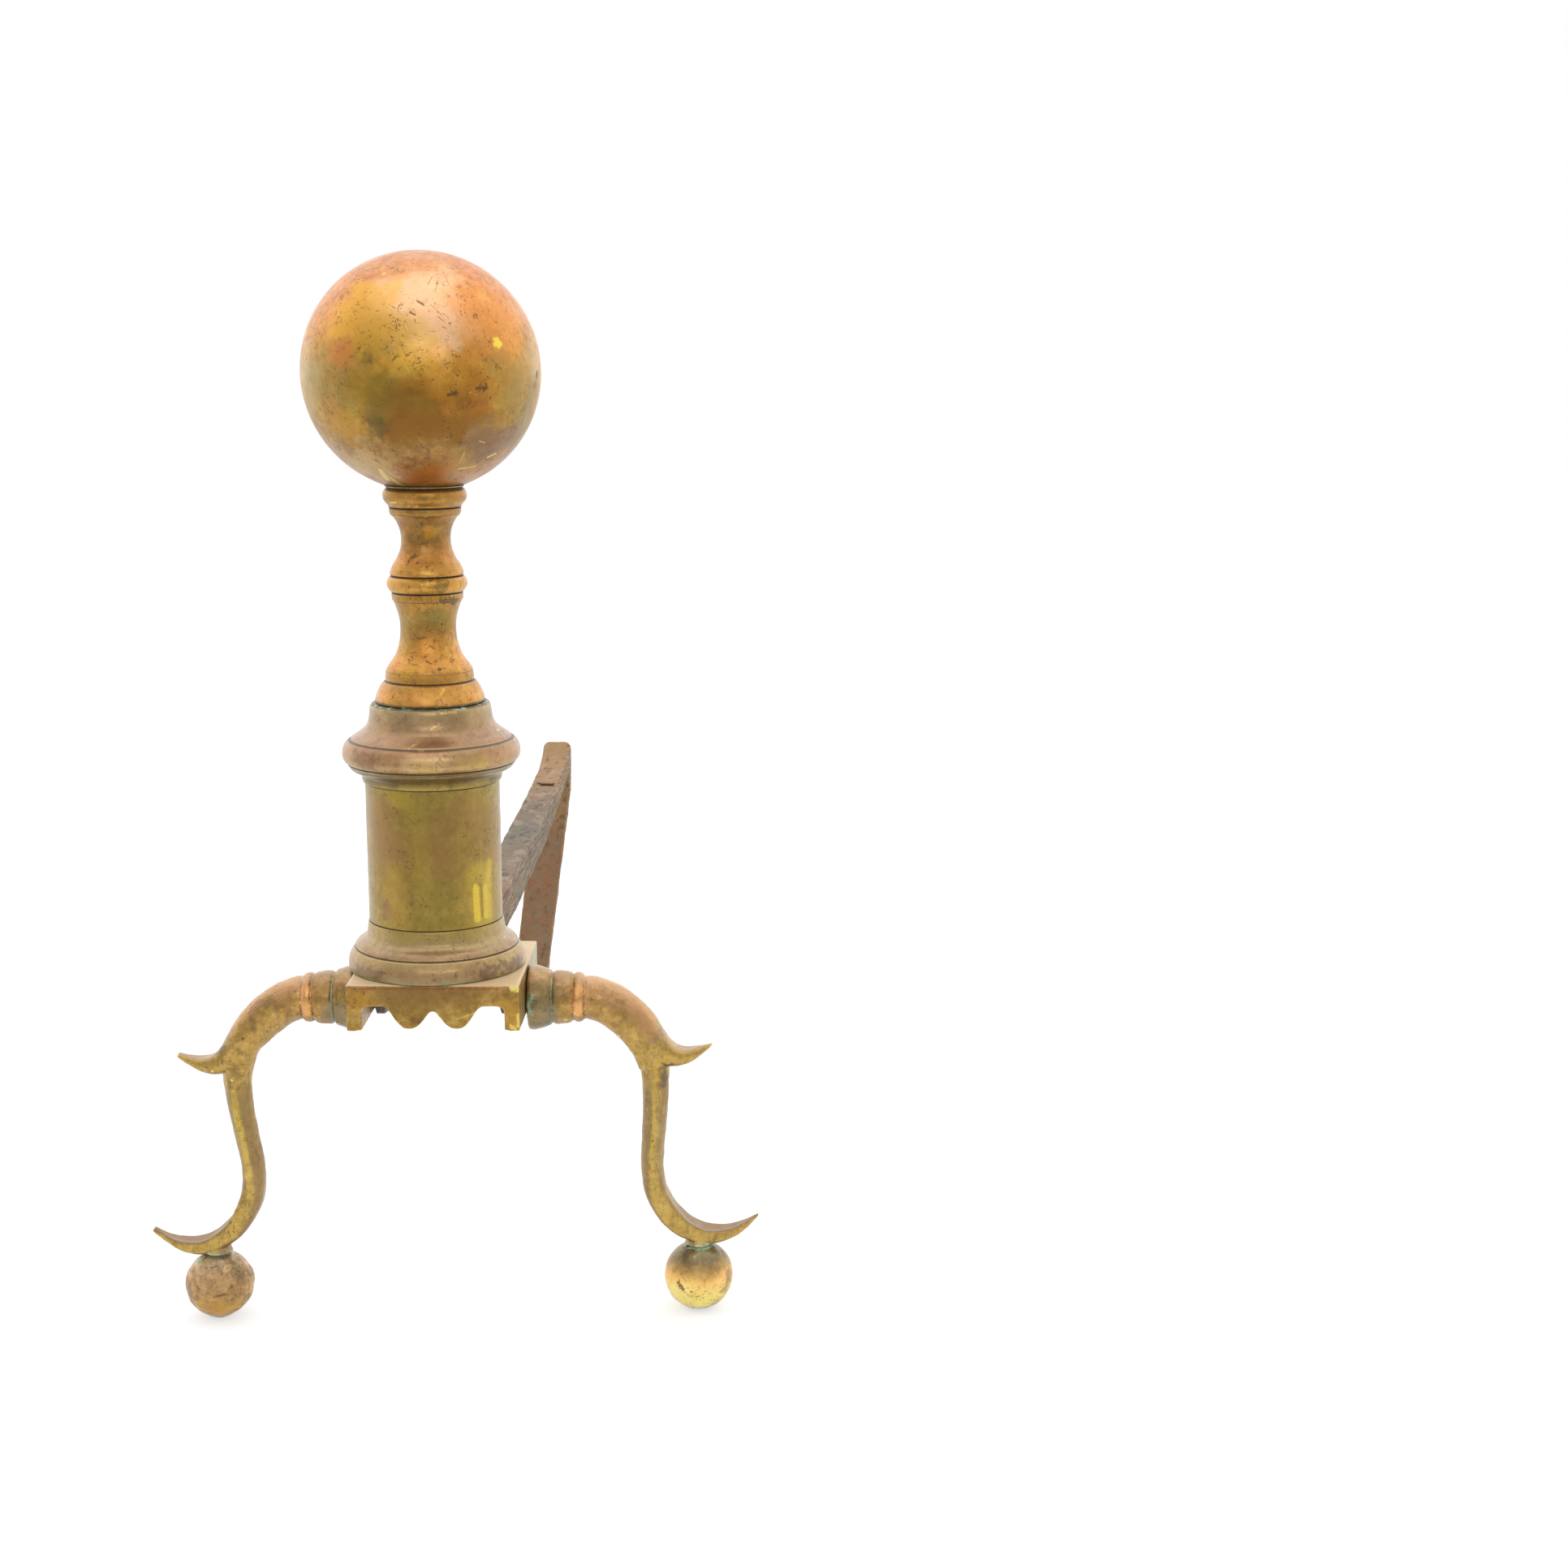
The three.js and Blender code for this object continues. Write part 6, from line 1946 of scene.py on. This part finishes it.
        marks = marks_at(at, (
            ("4E3A24", (-0.45, -0.12), 0.6, 0.8, (-0.55, 0.05), 1.2, 0.85),
            ("4A3826", (-0.75, -0.55), 0.8, 1, None, 1.4, 0.9),
            ("3E3020", (-0.15, -0.9), 0.8, 1.2, (0.2, -0.9), 1.8, 0.9),
            ("5A4630", (0.9, 0.15), 1.5, 3, (0.8, -0.2), 2, 0.6),
            ("6A4A2C", (0.55, -0.7), 2, 4, None, 2, 0.35),
            ("DCC46A", (0.15, -0.62), 2, 3, None, 1.5, 0.5),
        ))
        return Metal(
            "right_foot_tarnish",
            ((0.0, "A08848"), (3.0, "BCA456"), (8.5, "D0B466"), (12.5, "DCB468"), (17.0, "D2A05A"),
             (21.0, "94703E"), (24.5, "665438"), (29.0, "686048")),
            (Patch("8E6A34", (4.0,) * 3, 0.54, 0.7, 74.0, 0.5),
             Patch("C8A84E", (3.0,) * 3, 0.58, 0.72, 77.0, 0.4)),
            marks, (Ring("A4C8AE", top + 0.1, 0.3, 0.8, 0.8, 0.5),),
            metallic=0.75, roughness=(0.32, 0.44), pits=0.7, scratches=0.8, grain=0.01, worn_strength=0.0,
            stir=3.0, mottle=0.14,
            lift=(1.6, 1.7, 1.62),
        ).material()

    def foot_ball(self, side: Side) -> None:
        """Makes and dresses one foot ball: the left one lumpy, both worn flat underneath."""
        node = side.node("foot_ball")
        centre = middle(node)
        radius, top_z = 15.2, 29.3
        low = -math.asin(FOOT_MIDDLE / radius)
        high = math.asin((top_z - FOOT_MIDDLE) / radius)
        rows = [(0.0, 0.0)]
        rows += [(radius * math.cos(a), FOOT_MIDDLE + radius * math.sin(a)) for a in np.linspace(low,
                                                                                                 high,
                                                                                                 64)]
        rows += [(2.8, top_z), (2.8, 21.0), (0.0, 21.0)]
        obj = make_object(f"{side.name.lower()}_foot_turning",
                          turned(np.array(rows), (centre[0], centre[1], 0.0), 120))
        lump = 0.55 if side is Side.LEFT else 0.12

        def lumpy(points: np.ndarray, normals: np.ndarray) -> np.ndarray:
            """Lumps and nicks on the outside; the seat for the leg stays flat."""
            away = np.linalg.norm(points - np.array([centre[0], centre[1], FOOT_MIDDLE]), axis=1)
            slow = uneven(points, (8.0,) * 3, 3, 12.0) - 1.0
            nick = np.minimum(0.0, uneven(points, (2.2,) * 3, 3, 15.0) + 0.1)
            amount = lump * slow + 0.22 * nick
            return np.where((away > radius - 1.0) & (points[:, 2] < top_z - 0.05), amount, 0.0)

        swell(obj, lumpy)
        shade(obj, 50.0)
        slot = Slot.LEFT_FOOT if side is Side.LEFT else Slot.RIGHT_FOOT
        settle(obj, node, slot, self.foot_finish(side))

    def build(self) -> None:
        """Makes both legs and both foot balls."""
        for leg in (self.left, self.right):
            leg.build(self.leg_finish(leg))
            self.foot_ball(leg.side)


# ---- the billet bar


@dataclass
class BilletBar:
    """The forged iron bar: a thin tongue under the plinth, the log bar, the knee and the rear leg.

    Attributes:
        width: of the bar.
        tongue_front: how far the tongue runs in front of the rod.
        tongue_thick: its thickness.
        tongue_back: where it begins to thicken.
        shoulder: from the plinth's back to where the top reaches its full height.
        level: from the plinth's back to where the top stops being level.
        thick: height of the bar.
        knee_rise: how much the knee stands above the level part.
        knee_bend: how far in front of the leg the bend starts underneath.
        knee_round: how far the knee's upper back edge is rounded.
        leg_thick: thickness of the rear leg, front to back.
        leg_width: its width.
        leg_swell: how much its ends spread.
        knee_shift: how far right of the axis the knee sits.
        leg_lean: how far left of the knee the foot stands.
        flaw: from the knee to the flaw in the bar's top.
        top_line: top between the level part and the knee: (share of the way, rise).
        under_line: its underside: (share of the way, depth below the level top).
        voxel: fineness of the forging's skin.
    """

    width: float = 18.0
    tongue_front: float = 12.0
    tongue_thick: float = 4.5
    tongue_back: float = 20.0
    shoulder: float = 20.0
    level: float = 140.0
    thick: float = 19.2
    knee_rise: float = 15.0
    knee_bend: float = 20.0
    knee_round: float = 5.0
    leg_thick: float = 13.0
    leg_width: float = 22.0
    leg_swell: float = 0.6
    knee_shift: float = 1.5
    leg_lean: float = 20.5
    flaw: float = 74.0
    top_line: tuple[tuple[float, float], ...] = ((0.22, -0.5), (0.637, 0.5), (0.867, 3.3))
    under_line: tuple[tuple[float, float], ...] = ((0.22, 19.4), (0.61, 16.0))
    voxel: float = 0.9

    def __post_init__(self) -> None:
        """Takes the bar's places from the frame."""
        self.heel = float(high_corner("billet_bar")[1]) - self.leg_swell
        self.knee = self.heel - self.leg_thick
        self.top = float(high_corner("billet_bar")[2]) - self.knee_rise
        self.rear = float(high_corner("plinth")[1])
        self.tongue_top = float(high_corner("plinth")[2]) - 6.0 - 0.3

    def outline(self) -> np.ndarray:
        """Side view of the bar, rows of (y, z)."""
        knee, heel, top = self.knee, self.heel, self.top
        start = self.rear + self.level
        under = top - self.thick
        knee_top = top + self.knee_rise
        knee_under = knee_top - self.knee_bend - 1.0

        def along(share: float, z: float) -> tuple[float, float]:
            """A point of the stretch between the level part and the knee."""
            return (start + share * (knee - start), z)

        tongue_under = self.tongue_top - self.tongue_thick
        lower = [(start, under)] + [along(share, top - depth) for share, depth in self.under_line]
        lower += [(knee - self.knee_bend, knee_under), (knee - 3.0, knee_under - 0.4),
                  (knee, knee_under - 4.0)]
        bend = [(heel, knee_top - self.leg_thick), (heel - 0.2, knee_top - self.knee_round),
                (heel - 1.6, knee_top - 1.2), (heel - self.knee_round, knee_top)]
        upper = [(heel - self.knee_round, knee_top),
                 (knee - self.knee_bend / 2, top + self.knee_rise / 2)]
        upper += [along(share, top + height) for share, height in self.top_line[::-1]] + [(start, top)]
        runs = (
            ((AXIS[1] - self.tongue_front, tongue_under), (AXIS[1] + self.tongue_back, tongue_under)),
            ((self.rear + self.shoulder / 3, under), (start, under)),
            tuple(lower),
            ((knee + self.leg_swell, top / 2), (knee, 6.0)),
            ((knee - 2 * self.leg_swell, 0.0), (heel + self.leg_swell, 0.0)),
            ((heel, 6.0), (heel + self.leg_swell, top / 2)),
            tuple(bend),
            tuple(upper),
            ((self.rear + self.shoulder, top),
             (AXIS[1] + self.tongue_back + self.tongue_thick, self.tongue_top)),
            ((AXIS[1] - self.tongue_front, self.tongue_top),
             (AXIS[1] - self.tongue_front, self.tongue_top - 1.0)),
        )
        return outline_of(runs, 8)

    def shell(self) -> Shell:
        """The bar as a straight slab."""
        outline = self.outline()
        count = len(outline)
        half = self.width / 2
        points = np.array([(sign * half, y, z) for sign in (-1, 1) for y, z in outline])
        faces = [tuple(range(count)), tuple(range(2 * count - 1, count - 1, -1))]
        faces += [(k, count + k, count + (k + 1) % count, (k + 1) % count) for k in range(count)]
        return Shell(points, faces)

    def depth_below_top(self, points: np.ndarray) -> np.ndarray:
        """How far each point lies below the bar's top line."""
        start = self.rear + self.level
        places = [start] + [start + share * (self.knee - start) for share,
                            _ in self.top_line] + [self.knee, self.heel]
        levels = [0.0] + [height for _, height in self.top_line] + [self.knee_rise * 0.8, self.knee_rise]
        return self.top + np.interp(points[:, 1], places, levels) - points[:, 2]

    def forge(self, obj: bpy.types.Object) -> None:
        """Hammer flats, fire scale, the fibrous right side and the flaw near the knee.

        Args:
            obj: the smooth bar, still straight.
        """
        points = read_points(obj)
        half = self.width / 2
        worn = np.where(points[:, 1] > self.knee - 40.0, 4.5, 2.2)
        beyond = np.clip(np.abs(points[:, 0]) - (half - worn), 0.0, worn)
        near_top = np.clip(1 - self.depth_below_top(points) / (worn * 1.5), 0.0, 1.0)
        points[:, 2] -= near_top * (worn - np.sqrt(worn**2 - beyond**2 + 1e-9))
        write_points(obj, points)
        normals = read_normals(obj)
        on_leg = points[:, 1] > self.knee - 2.0
        along = np.where(on_leg, points[:, 2], points[:, 1])
        across = np.where(on_leg, points[:, 1] - self.knee, self.depth_below_top(points))
        laid = np.stack([points[:, 0], along, across], axis=1)
        amount = 0.3 * uneven(points, (14.0,) * 3, 2, 20.0) + 0.16 * uneven(points, (4.0,) * 3, 3, 22.0)
        amount += 0.07 * uneven(points, (1.6,) * 3, 2, 24.0)
        right_face = np.clip(normals[:, 0] - 0.3, 0.0, 0.7) / 0.7
        fibres = uneven(laid, (8.0, 22.0, 1.5), 3, 26.0)
        splits = np.minimum(0.0, uneven(laid, (8.0, 30.0, 2.2), 2, 28.0) + 0.25)
        away_from_leg = np.where(on_leg, 0.35, 1.0)
        amount += right_face * away_from_leg * (0.35 * fibres + 1.1 * splits)
        top_face = np.clip(normals[:, 2] - 0.6, 0.0, 0.4) / 0.4
        amount += top_face * 0.3 * np.minimum(0.0, uneven(laid, (5.0, 14.0, 9.0), 3, 30.0) + 0.1)
        from_flaw = points[:, 1] - (self.knee - self.flaw)
        sideways = np.clip(1 - (np.abs(points[:, 0]) / 6.5) ** 4, 0.0, 1.0)
        crack = np.exp(-((from_flaw / 0.9) ** 2)) * sideways
        flap = np.clip(from_flaw / 1.2, 0.0, 1.0) * np.exp(-np.maximum(from_flaw, 0.0) / 9.0) * sideways
        amount += top_face * (1.7 * flap - 1.2 * crack)
        write_points(obj, points + normals * (amount - 0.25)[:, None])

    def bend(self, obj: bpy.types.Object) -> None:
        """Sets the knee to the right, leans the leg to the left and widens it.

        Args:
            obj: the straight bar.
        """
        points = read_points(obj)
        x, y, z = points.T
        reach = self.knee - AXIS[1]
        back = np.clip((y - AXIS[1]) / reach, 0.0, 1.0)
        on_leg = np.clip((y - (self.knee - 3.0)) / 2.0, 0.0, 1.0)
        down = on_leg * np.clip(1 - z / self.top, 0.0, 1.0)
        widen = 1 + (self.leg_width / self.width - 1) * np.clip(down / 0.12, 0.0, 1.0)
        points[:, 0] = AXIS[0] + x * widen + self.knee_shift * back - self.leg_lean * down
        write_points(obj, points)

    def cracks(self) -> list[tuple[tuple[float, ...], tuple[float, ...], float, float]]:
        """Start, end, half width and strength of the cracks: the flaw's edge, and two on the leg."""
        x, y, z = AXIS[0] + self.knee_shift, self.knee - self.flaw, self.top + 2.6
        leg = self.knee - 0.3
        edge = ((x - 7.0, y + 18.0, z + 1.4), (x - 5.4, y + 3.0, z), (x - 2.0, y, z), (x + 4.6, y, z),
                (x + 6.0, y + 4.0, z), (x + 5.6, y + 15.0, z + 1.2))
        split = ((x - 12.0, leg, 20.0), (x - 9.6, leg, 30.0), (x - 7.0, leg, 43.0))
        rows = list(zip(edge, edge[1:], (0.35, 0.35, 1.1, 0.35, 0.35), (0.85, 0.95, 0.95, 0.9, 0.8)))
        rows += [(start, end, 0.35, 0.8) for start, end in zip(split, split[1:])]
        return rows + [((x - 2.0, leg, 100.0), (x + 2.4, leg, 109.0), 0.35, 0.7)]

    def finish(self) -> bpy.types.Material:
        """Red-brown scale near the knee, dark grey in the middle, pale fibres on the right side."""
        made = bpy.data.materials.new("forged_scale")
        made.use_nodes = True
        graph = Graph(made.node_tree)
        depth = graph.vector("DOT_PRODUCT", graph.place, (0.0, 1.0, 0.0))
        wander = graph.times(graph.minus(graph.clouds((18.0,) * 3, 3.0), 0.5), 60.0)
        place = graph.plus(depth, wander)
        span = self.heel - self.rear
        share = graph.math("DIVIDE", graph.minus(place, self.rear), span)
        colour = graph.ramp(share,
                            ((0.0, "6B4A3A"), (0.22, "74503C"), (0.36, "6E5E52"), (0.55, "5E5850"),
                             (0.74, "6A5A4E"),
                                    (0.86, "84694E"), (1.0, "8C7050")))
        low = graph.between(graph.height(), 118.0, 100.0)
        colour = graph.lay(colour, "80644C", low)
        rust = graph.between(graph.clouds((13.0,) * 3, 9.0, 5.0, wander=0.6), 0.54, 0.66)
        rust_place = graph.between(graph.math("ABSOLUTE", graph.minus(graph.height(), 78.0)), 48.0, 10.0)
        rust = graph.times(rust, graph.plus(0.35, graph.times(rust_place, 0.65)))
        colour = graph.lay(colour, "98583A", rust, 0.7)
        grey = graph.between(graph.clouds((6.0, 16.0, 6.0), 12.0), 0.5, 0.64)
        grey = graph.times(grey, graph.minus(0.45, graph.times(low, 0.3)))
        colour = graph.lay(colour, "8C8276", grey)
        dark = graph.between(graph.clouds((5.0, 9.0, 5.0), 15.0), 0.54, 0.66)
        shaded = graph.minus(0.6, graph.times(low, 0.32))
        colour = graph.lay(colour, "3C332C", dark, shaded)
        speck = graph.between(graph.clouds((1.3,) * 3, 18.0), 0.6, 0.7)
        colour = graph.lay(colour, "A89078", speck, 0.35)
        rightward = graph.between(graph.facing((1.0, 0.0, 0.0)), 0.35, 0.75)
        fibres = graph.clouds((6.0, 18.0, 0.9), 21.0, 5.0, (-2.0, 0.0, 0.0))
        pale = graph.times(rightward, graph.between(fibres, 0.4, 0.58))
        on_bar = graph.between(graph.height(), 104.0, 118.0)
        pale = graph.times(pale, graph.plus(0.3, graph.times(on_bar, 0.7)))
        colour = graph.lay(colour, "928472", pale, 0.6)
        threads = graph.times(rightward,
                              graph.between(graph.clouds((5.0, 26.0, 0.6), 24.0, 4.0), 0.5, 0.6))
        colour = graph.lay(colour, "4A3F36", threads, graph.times(on_bar, 0.85))
        edge = graph.times(graph.edges(0.52, 0.6),
                           graph.between(graph.clouds((6.0,) * 3, 27.0), 0.42, 0.62))
        colour = graph.lay(colour, "B9A48C", edge, 0.6)
        # Corners that ambient occlusion finds are darkened: partly grime, partly painted shade.
        grime_and_shade = graph.between(graph.crevice(3.0), 0.22, 0.7)
        colour = graph.lay(colour, "241C18", grime_and_shade, 0.8)
        for start, end, wide, strength in self.cracks():
            line = graph.mark(start, end, wide, 0.6, 0.3)
            colour = graph.lay(colour, "2A211C", line, strength)
        shader = graph.node("ShaderNodeBsdfPrincipled")
        graph.feed(shader.inputs["Base Color"], graph.vector("MULTIPLY", colour, (1.62, 1.58, 1.42)))
        graph.feed(shader.inputs["Metallic"], 0.18)
        level = graph.plus(0.58, graph.times(graph.clouds((5.0,) * 3, 33.0), 0.36))
        graph.feed(shader.inputs["Roughness"], level)
        relief = graph.times(graph.clouds((2.2,) * 3, 36.0, 8.0), 0.55)
        relief = graph.plus(relief, graph.times(graph.times(fibres, rightward), 0.7))
        graph.feed(shader.inputs["Normal"], graph.bumped(relief))
        graph.end(shader.outputs["BSDF"])
        return made

    def build(self) -> None:
        """Forges, bends and dresses the bar."""
        obj = make_object("billet_forging", self.shell())
        cast_as_one(obj, self.voxel, 12)
        self.forge(obj)
        self.bend(obj)
        shade(obj, 80.0)
        settle(obj, "billet_bar", Slot.IRON, self.finish())


# ---- the fixings


@dataclass
class Fixings:
    """The tie rod, its nut and washer, the leg nuts, and the bush and pins that stay as they are.

    Attributes:
        pitch: of the rod's thread.
        thread: depth of that thread.
        threaded: length of thread at each end of the rod.
    """

    pitch: float = 1.4
    thread: float = 0.45
    threaded: float = 26.0

    def iron(self) -> bpy.types.Material:
        """Dark oxidised iron."""
        return Metal(
            "oxidised_iron", "4A3E36",
            (Patch("6E4A34", (4.0,) * 3, 0.52, 0.66, 84.0, 0.7),
             Patch("2E2824", (3.0,) * 3, 0.56, 0.7, 87.0, 0.6)),
            metallic=0.35, roughness=(0.55, 0.75), pits=0.8, scratches=0.4, grain=0.05, grime_and_shade_colour="1E1814",
            worn="8C7A68", worn_strength=0.5,
        ).material()

    def rough_brass(self) -> bpy.types.Material:
        """Unpolished brass inside the ball."""
        return Metal(
            "unpolished_brass", "8E7440",
            (Patch("6E5830", (4.0,) * 3, 0.5, 0.68, 94.0, 0.7),
             Patch("A88A4C", (2.0,) * 3, 0.55, 0.7, 97.0, 0.5)),
            metallic=0.7, roughness=(0.45, 0.62), pits=0.5, scratches=0.3, turning=0.01, grain=0.02,
        ).material()

    def rod(self, dress: bpy.types.Material) -> None:
        """The tie rod, threaded at both ends."""
        low, high = low_corner("tie_rod")[2], high_corner("tie_rod")[2]
        radius = (high_corner("tie_rod")[0] - low_corner("tie_rod")[0]) / 2
        steps = self.pitch / 5
        threaded = np.arange(0.8, self.threaded, steps)
        heights = np.concatenate([threaded, np.linspace(self.threaded, high - low - self.threaded, 8),
                                  high - low - threaded[::-1]])
        rows = [(0.0, 0.0), (radius - 1.0, 0.0)] + [(radius, h) for h in heights]
        rows += [(radius - 1.0, high - low), (0.0, high - low)]
        obj = make_object("tie_rod_threaded", turned(np.array(rows), (*AXIS, low), 40))
        points = read_points(obj)
        away = points[:, :2] - AXIS
        angle = np.arctan2(away[:, 1], away[:, 0]) / (2 * math.pi)
        height = points[:, 2] - low
        on_thread = (height < self.threaded) | (height > high - low - self.threaded)
        wave = np.abs(((height / self.pitch - angle) % 1.0) * 2 - 1)
        rim = np.linalg.norm(away, axis=1) > radius - 0.1
        scale = np.where(on_thread & rim, 1 - self.thread * wave / radius, 1.0)
        points[:, :2] = AXIS + away * scale[:, None]
        write_points(obj, points)
        shade(obj, 30.0)
        settle(obj, "tie_rod", Slot.FIXING, dress)

    def washer(self, dress: bpy.types.Material) -> None:
        """The flat washer, its rim rounded by the punch."""
        low, high = low_corner("tie_rod_washer"), high_corner("tie_rod_washer")
        radius, thick = (high[0] - low[0]) / 2, high[2] - low[2]
        rows = outline_of((
            ((radius - 0.5, 0.0), (radius - 0.1, 0.2), (radius, 0.6), (radius, thick - 0.3),
             (radius - 0.3, thick)),
            ((BORE + 0.2, thick), (BORE, thick - 0.2)),
            ((BORE, 0.2), (BORE + 0.2, 0.0)),
        ))
        obj = make_object("tie_rod_flat_washer", turned(rows, (*AXIS, low[2]), 72))
        swell(obj, lambda points, normals: 0.05 * uneven(points, (3.0,) * 3, 2, 40.0) - 0.03)
        shade(obj, 40.0)
        settle(obj, "tie_rod_washer", Slot.FIXING, dress)

    def square_nut(self, node: str, name: str, bore: float, sideways: bool,
                   dress: bpy.types.Material) -> None:
        """A square nut with chamfered corners.

        Args:
            node: the CAD node that it stands for.
            name: the piece's name.
            bore: radius of its hole.
            sideways: whether its axis lies along x.
            dress: its material.
        """
        low, high, centre = low_corner(node), high_corner(node), middle(node)
        half = (high[1] - low[1]) / 2
        thick = (high[0] - low[0]) if sideways else (high[2] - low[2])
        count = 72
        angles = np.linspace(0, 2 * math.pi, count, endpoint=False)
        square = half / np.maximum(np.abs(np.cos(angles)), np.abs(np.sin(angles)))
        square = np.minimum(square, half * 1.34)
        drop = np.maximum(0.0, square - half * 0.98) * 0.42
        levels = (
            (np.full(count, bore), np.full(count, thick / 2)),
            (np.full(count, half * 0.96), np.full(count, thick / 2)),
            (square, thick / 2 - drop), (square, drop - thick / 2),
            (np.full(count, half * 0.96), np.full(count, -thick / 2)),
            (np.full(count, bore), np.full(count, -thick / 2)),
        )
        rings = [np.stack([r * np.cos(angles), r * np.sin(angles), z], axis=1) for r, z in levels]
        points = np.vstack(rings)
        if sideways:
            points = points[:, [2, 1, 0]]
        obj = make_object(name, Shell(points + centre, wound_faces(len(rings), count, True)))
        shade(obj, 25.0)
        settle(obj, node, Slot.FIXING, dress)

    def build(self) -> None:
        """Makes the fixings and dresses the nodes that stay."""
        iron, brass = self.iron(), self.rough_brass()
        self.rod(iron)
        self.washer(iron)
        self.square_nut("tie_rod_nut", "tie_rod_square_nut", BORE, False, iron)
        for side in Side:
            name = side.name.lower()
            self.square_nut(side.node("leg_nut"), f"{name}_leg_square_nut", 3.8, True, iron)
            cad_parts[side.node("foot_pin")].material_slots[0].material = iron
        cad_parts["ball_bush"].material_slots[0].material = brass
        log.info("the bush and the foot pins stay as CAD nodes with their own finish")


def main() -> None:
    """Builds the studio and then the andiron from its ball down to its feet."""
    logging.basicConfig(level=logging.INFO, format="%(name)s: %(message)s")
    studio = Studio()
    studio.build()
    for part in (Ball(studio), Column(studio), Plinth(), Legs(studio), BilletBar(), Fixings()):
        part.build()
        log.info("%s is finished", type(part).__name__)


if __name__ == "__main__":
    main()
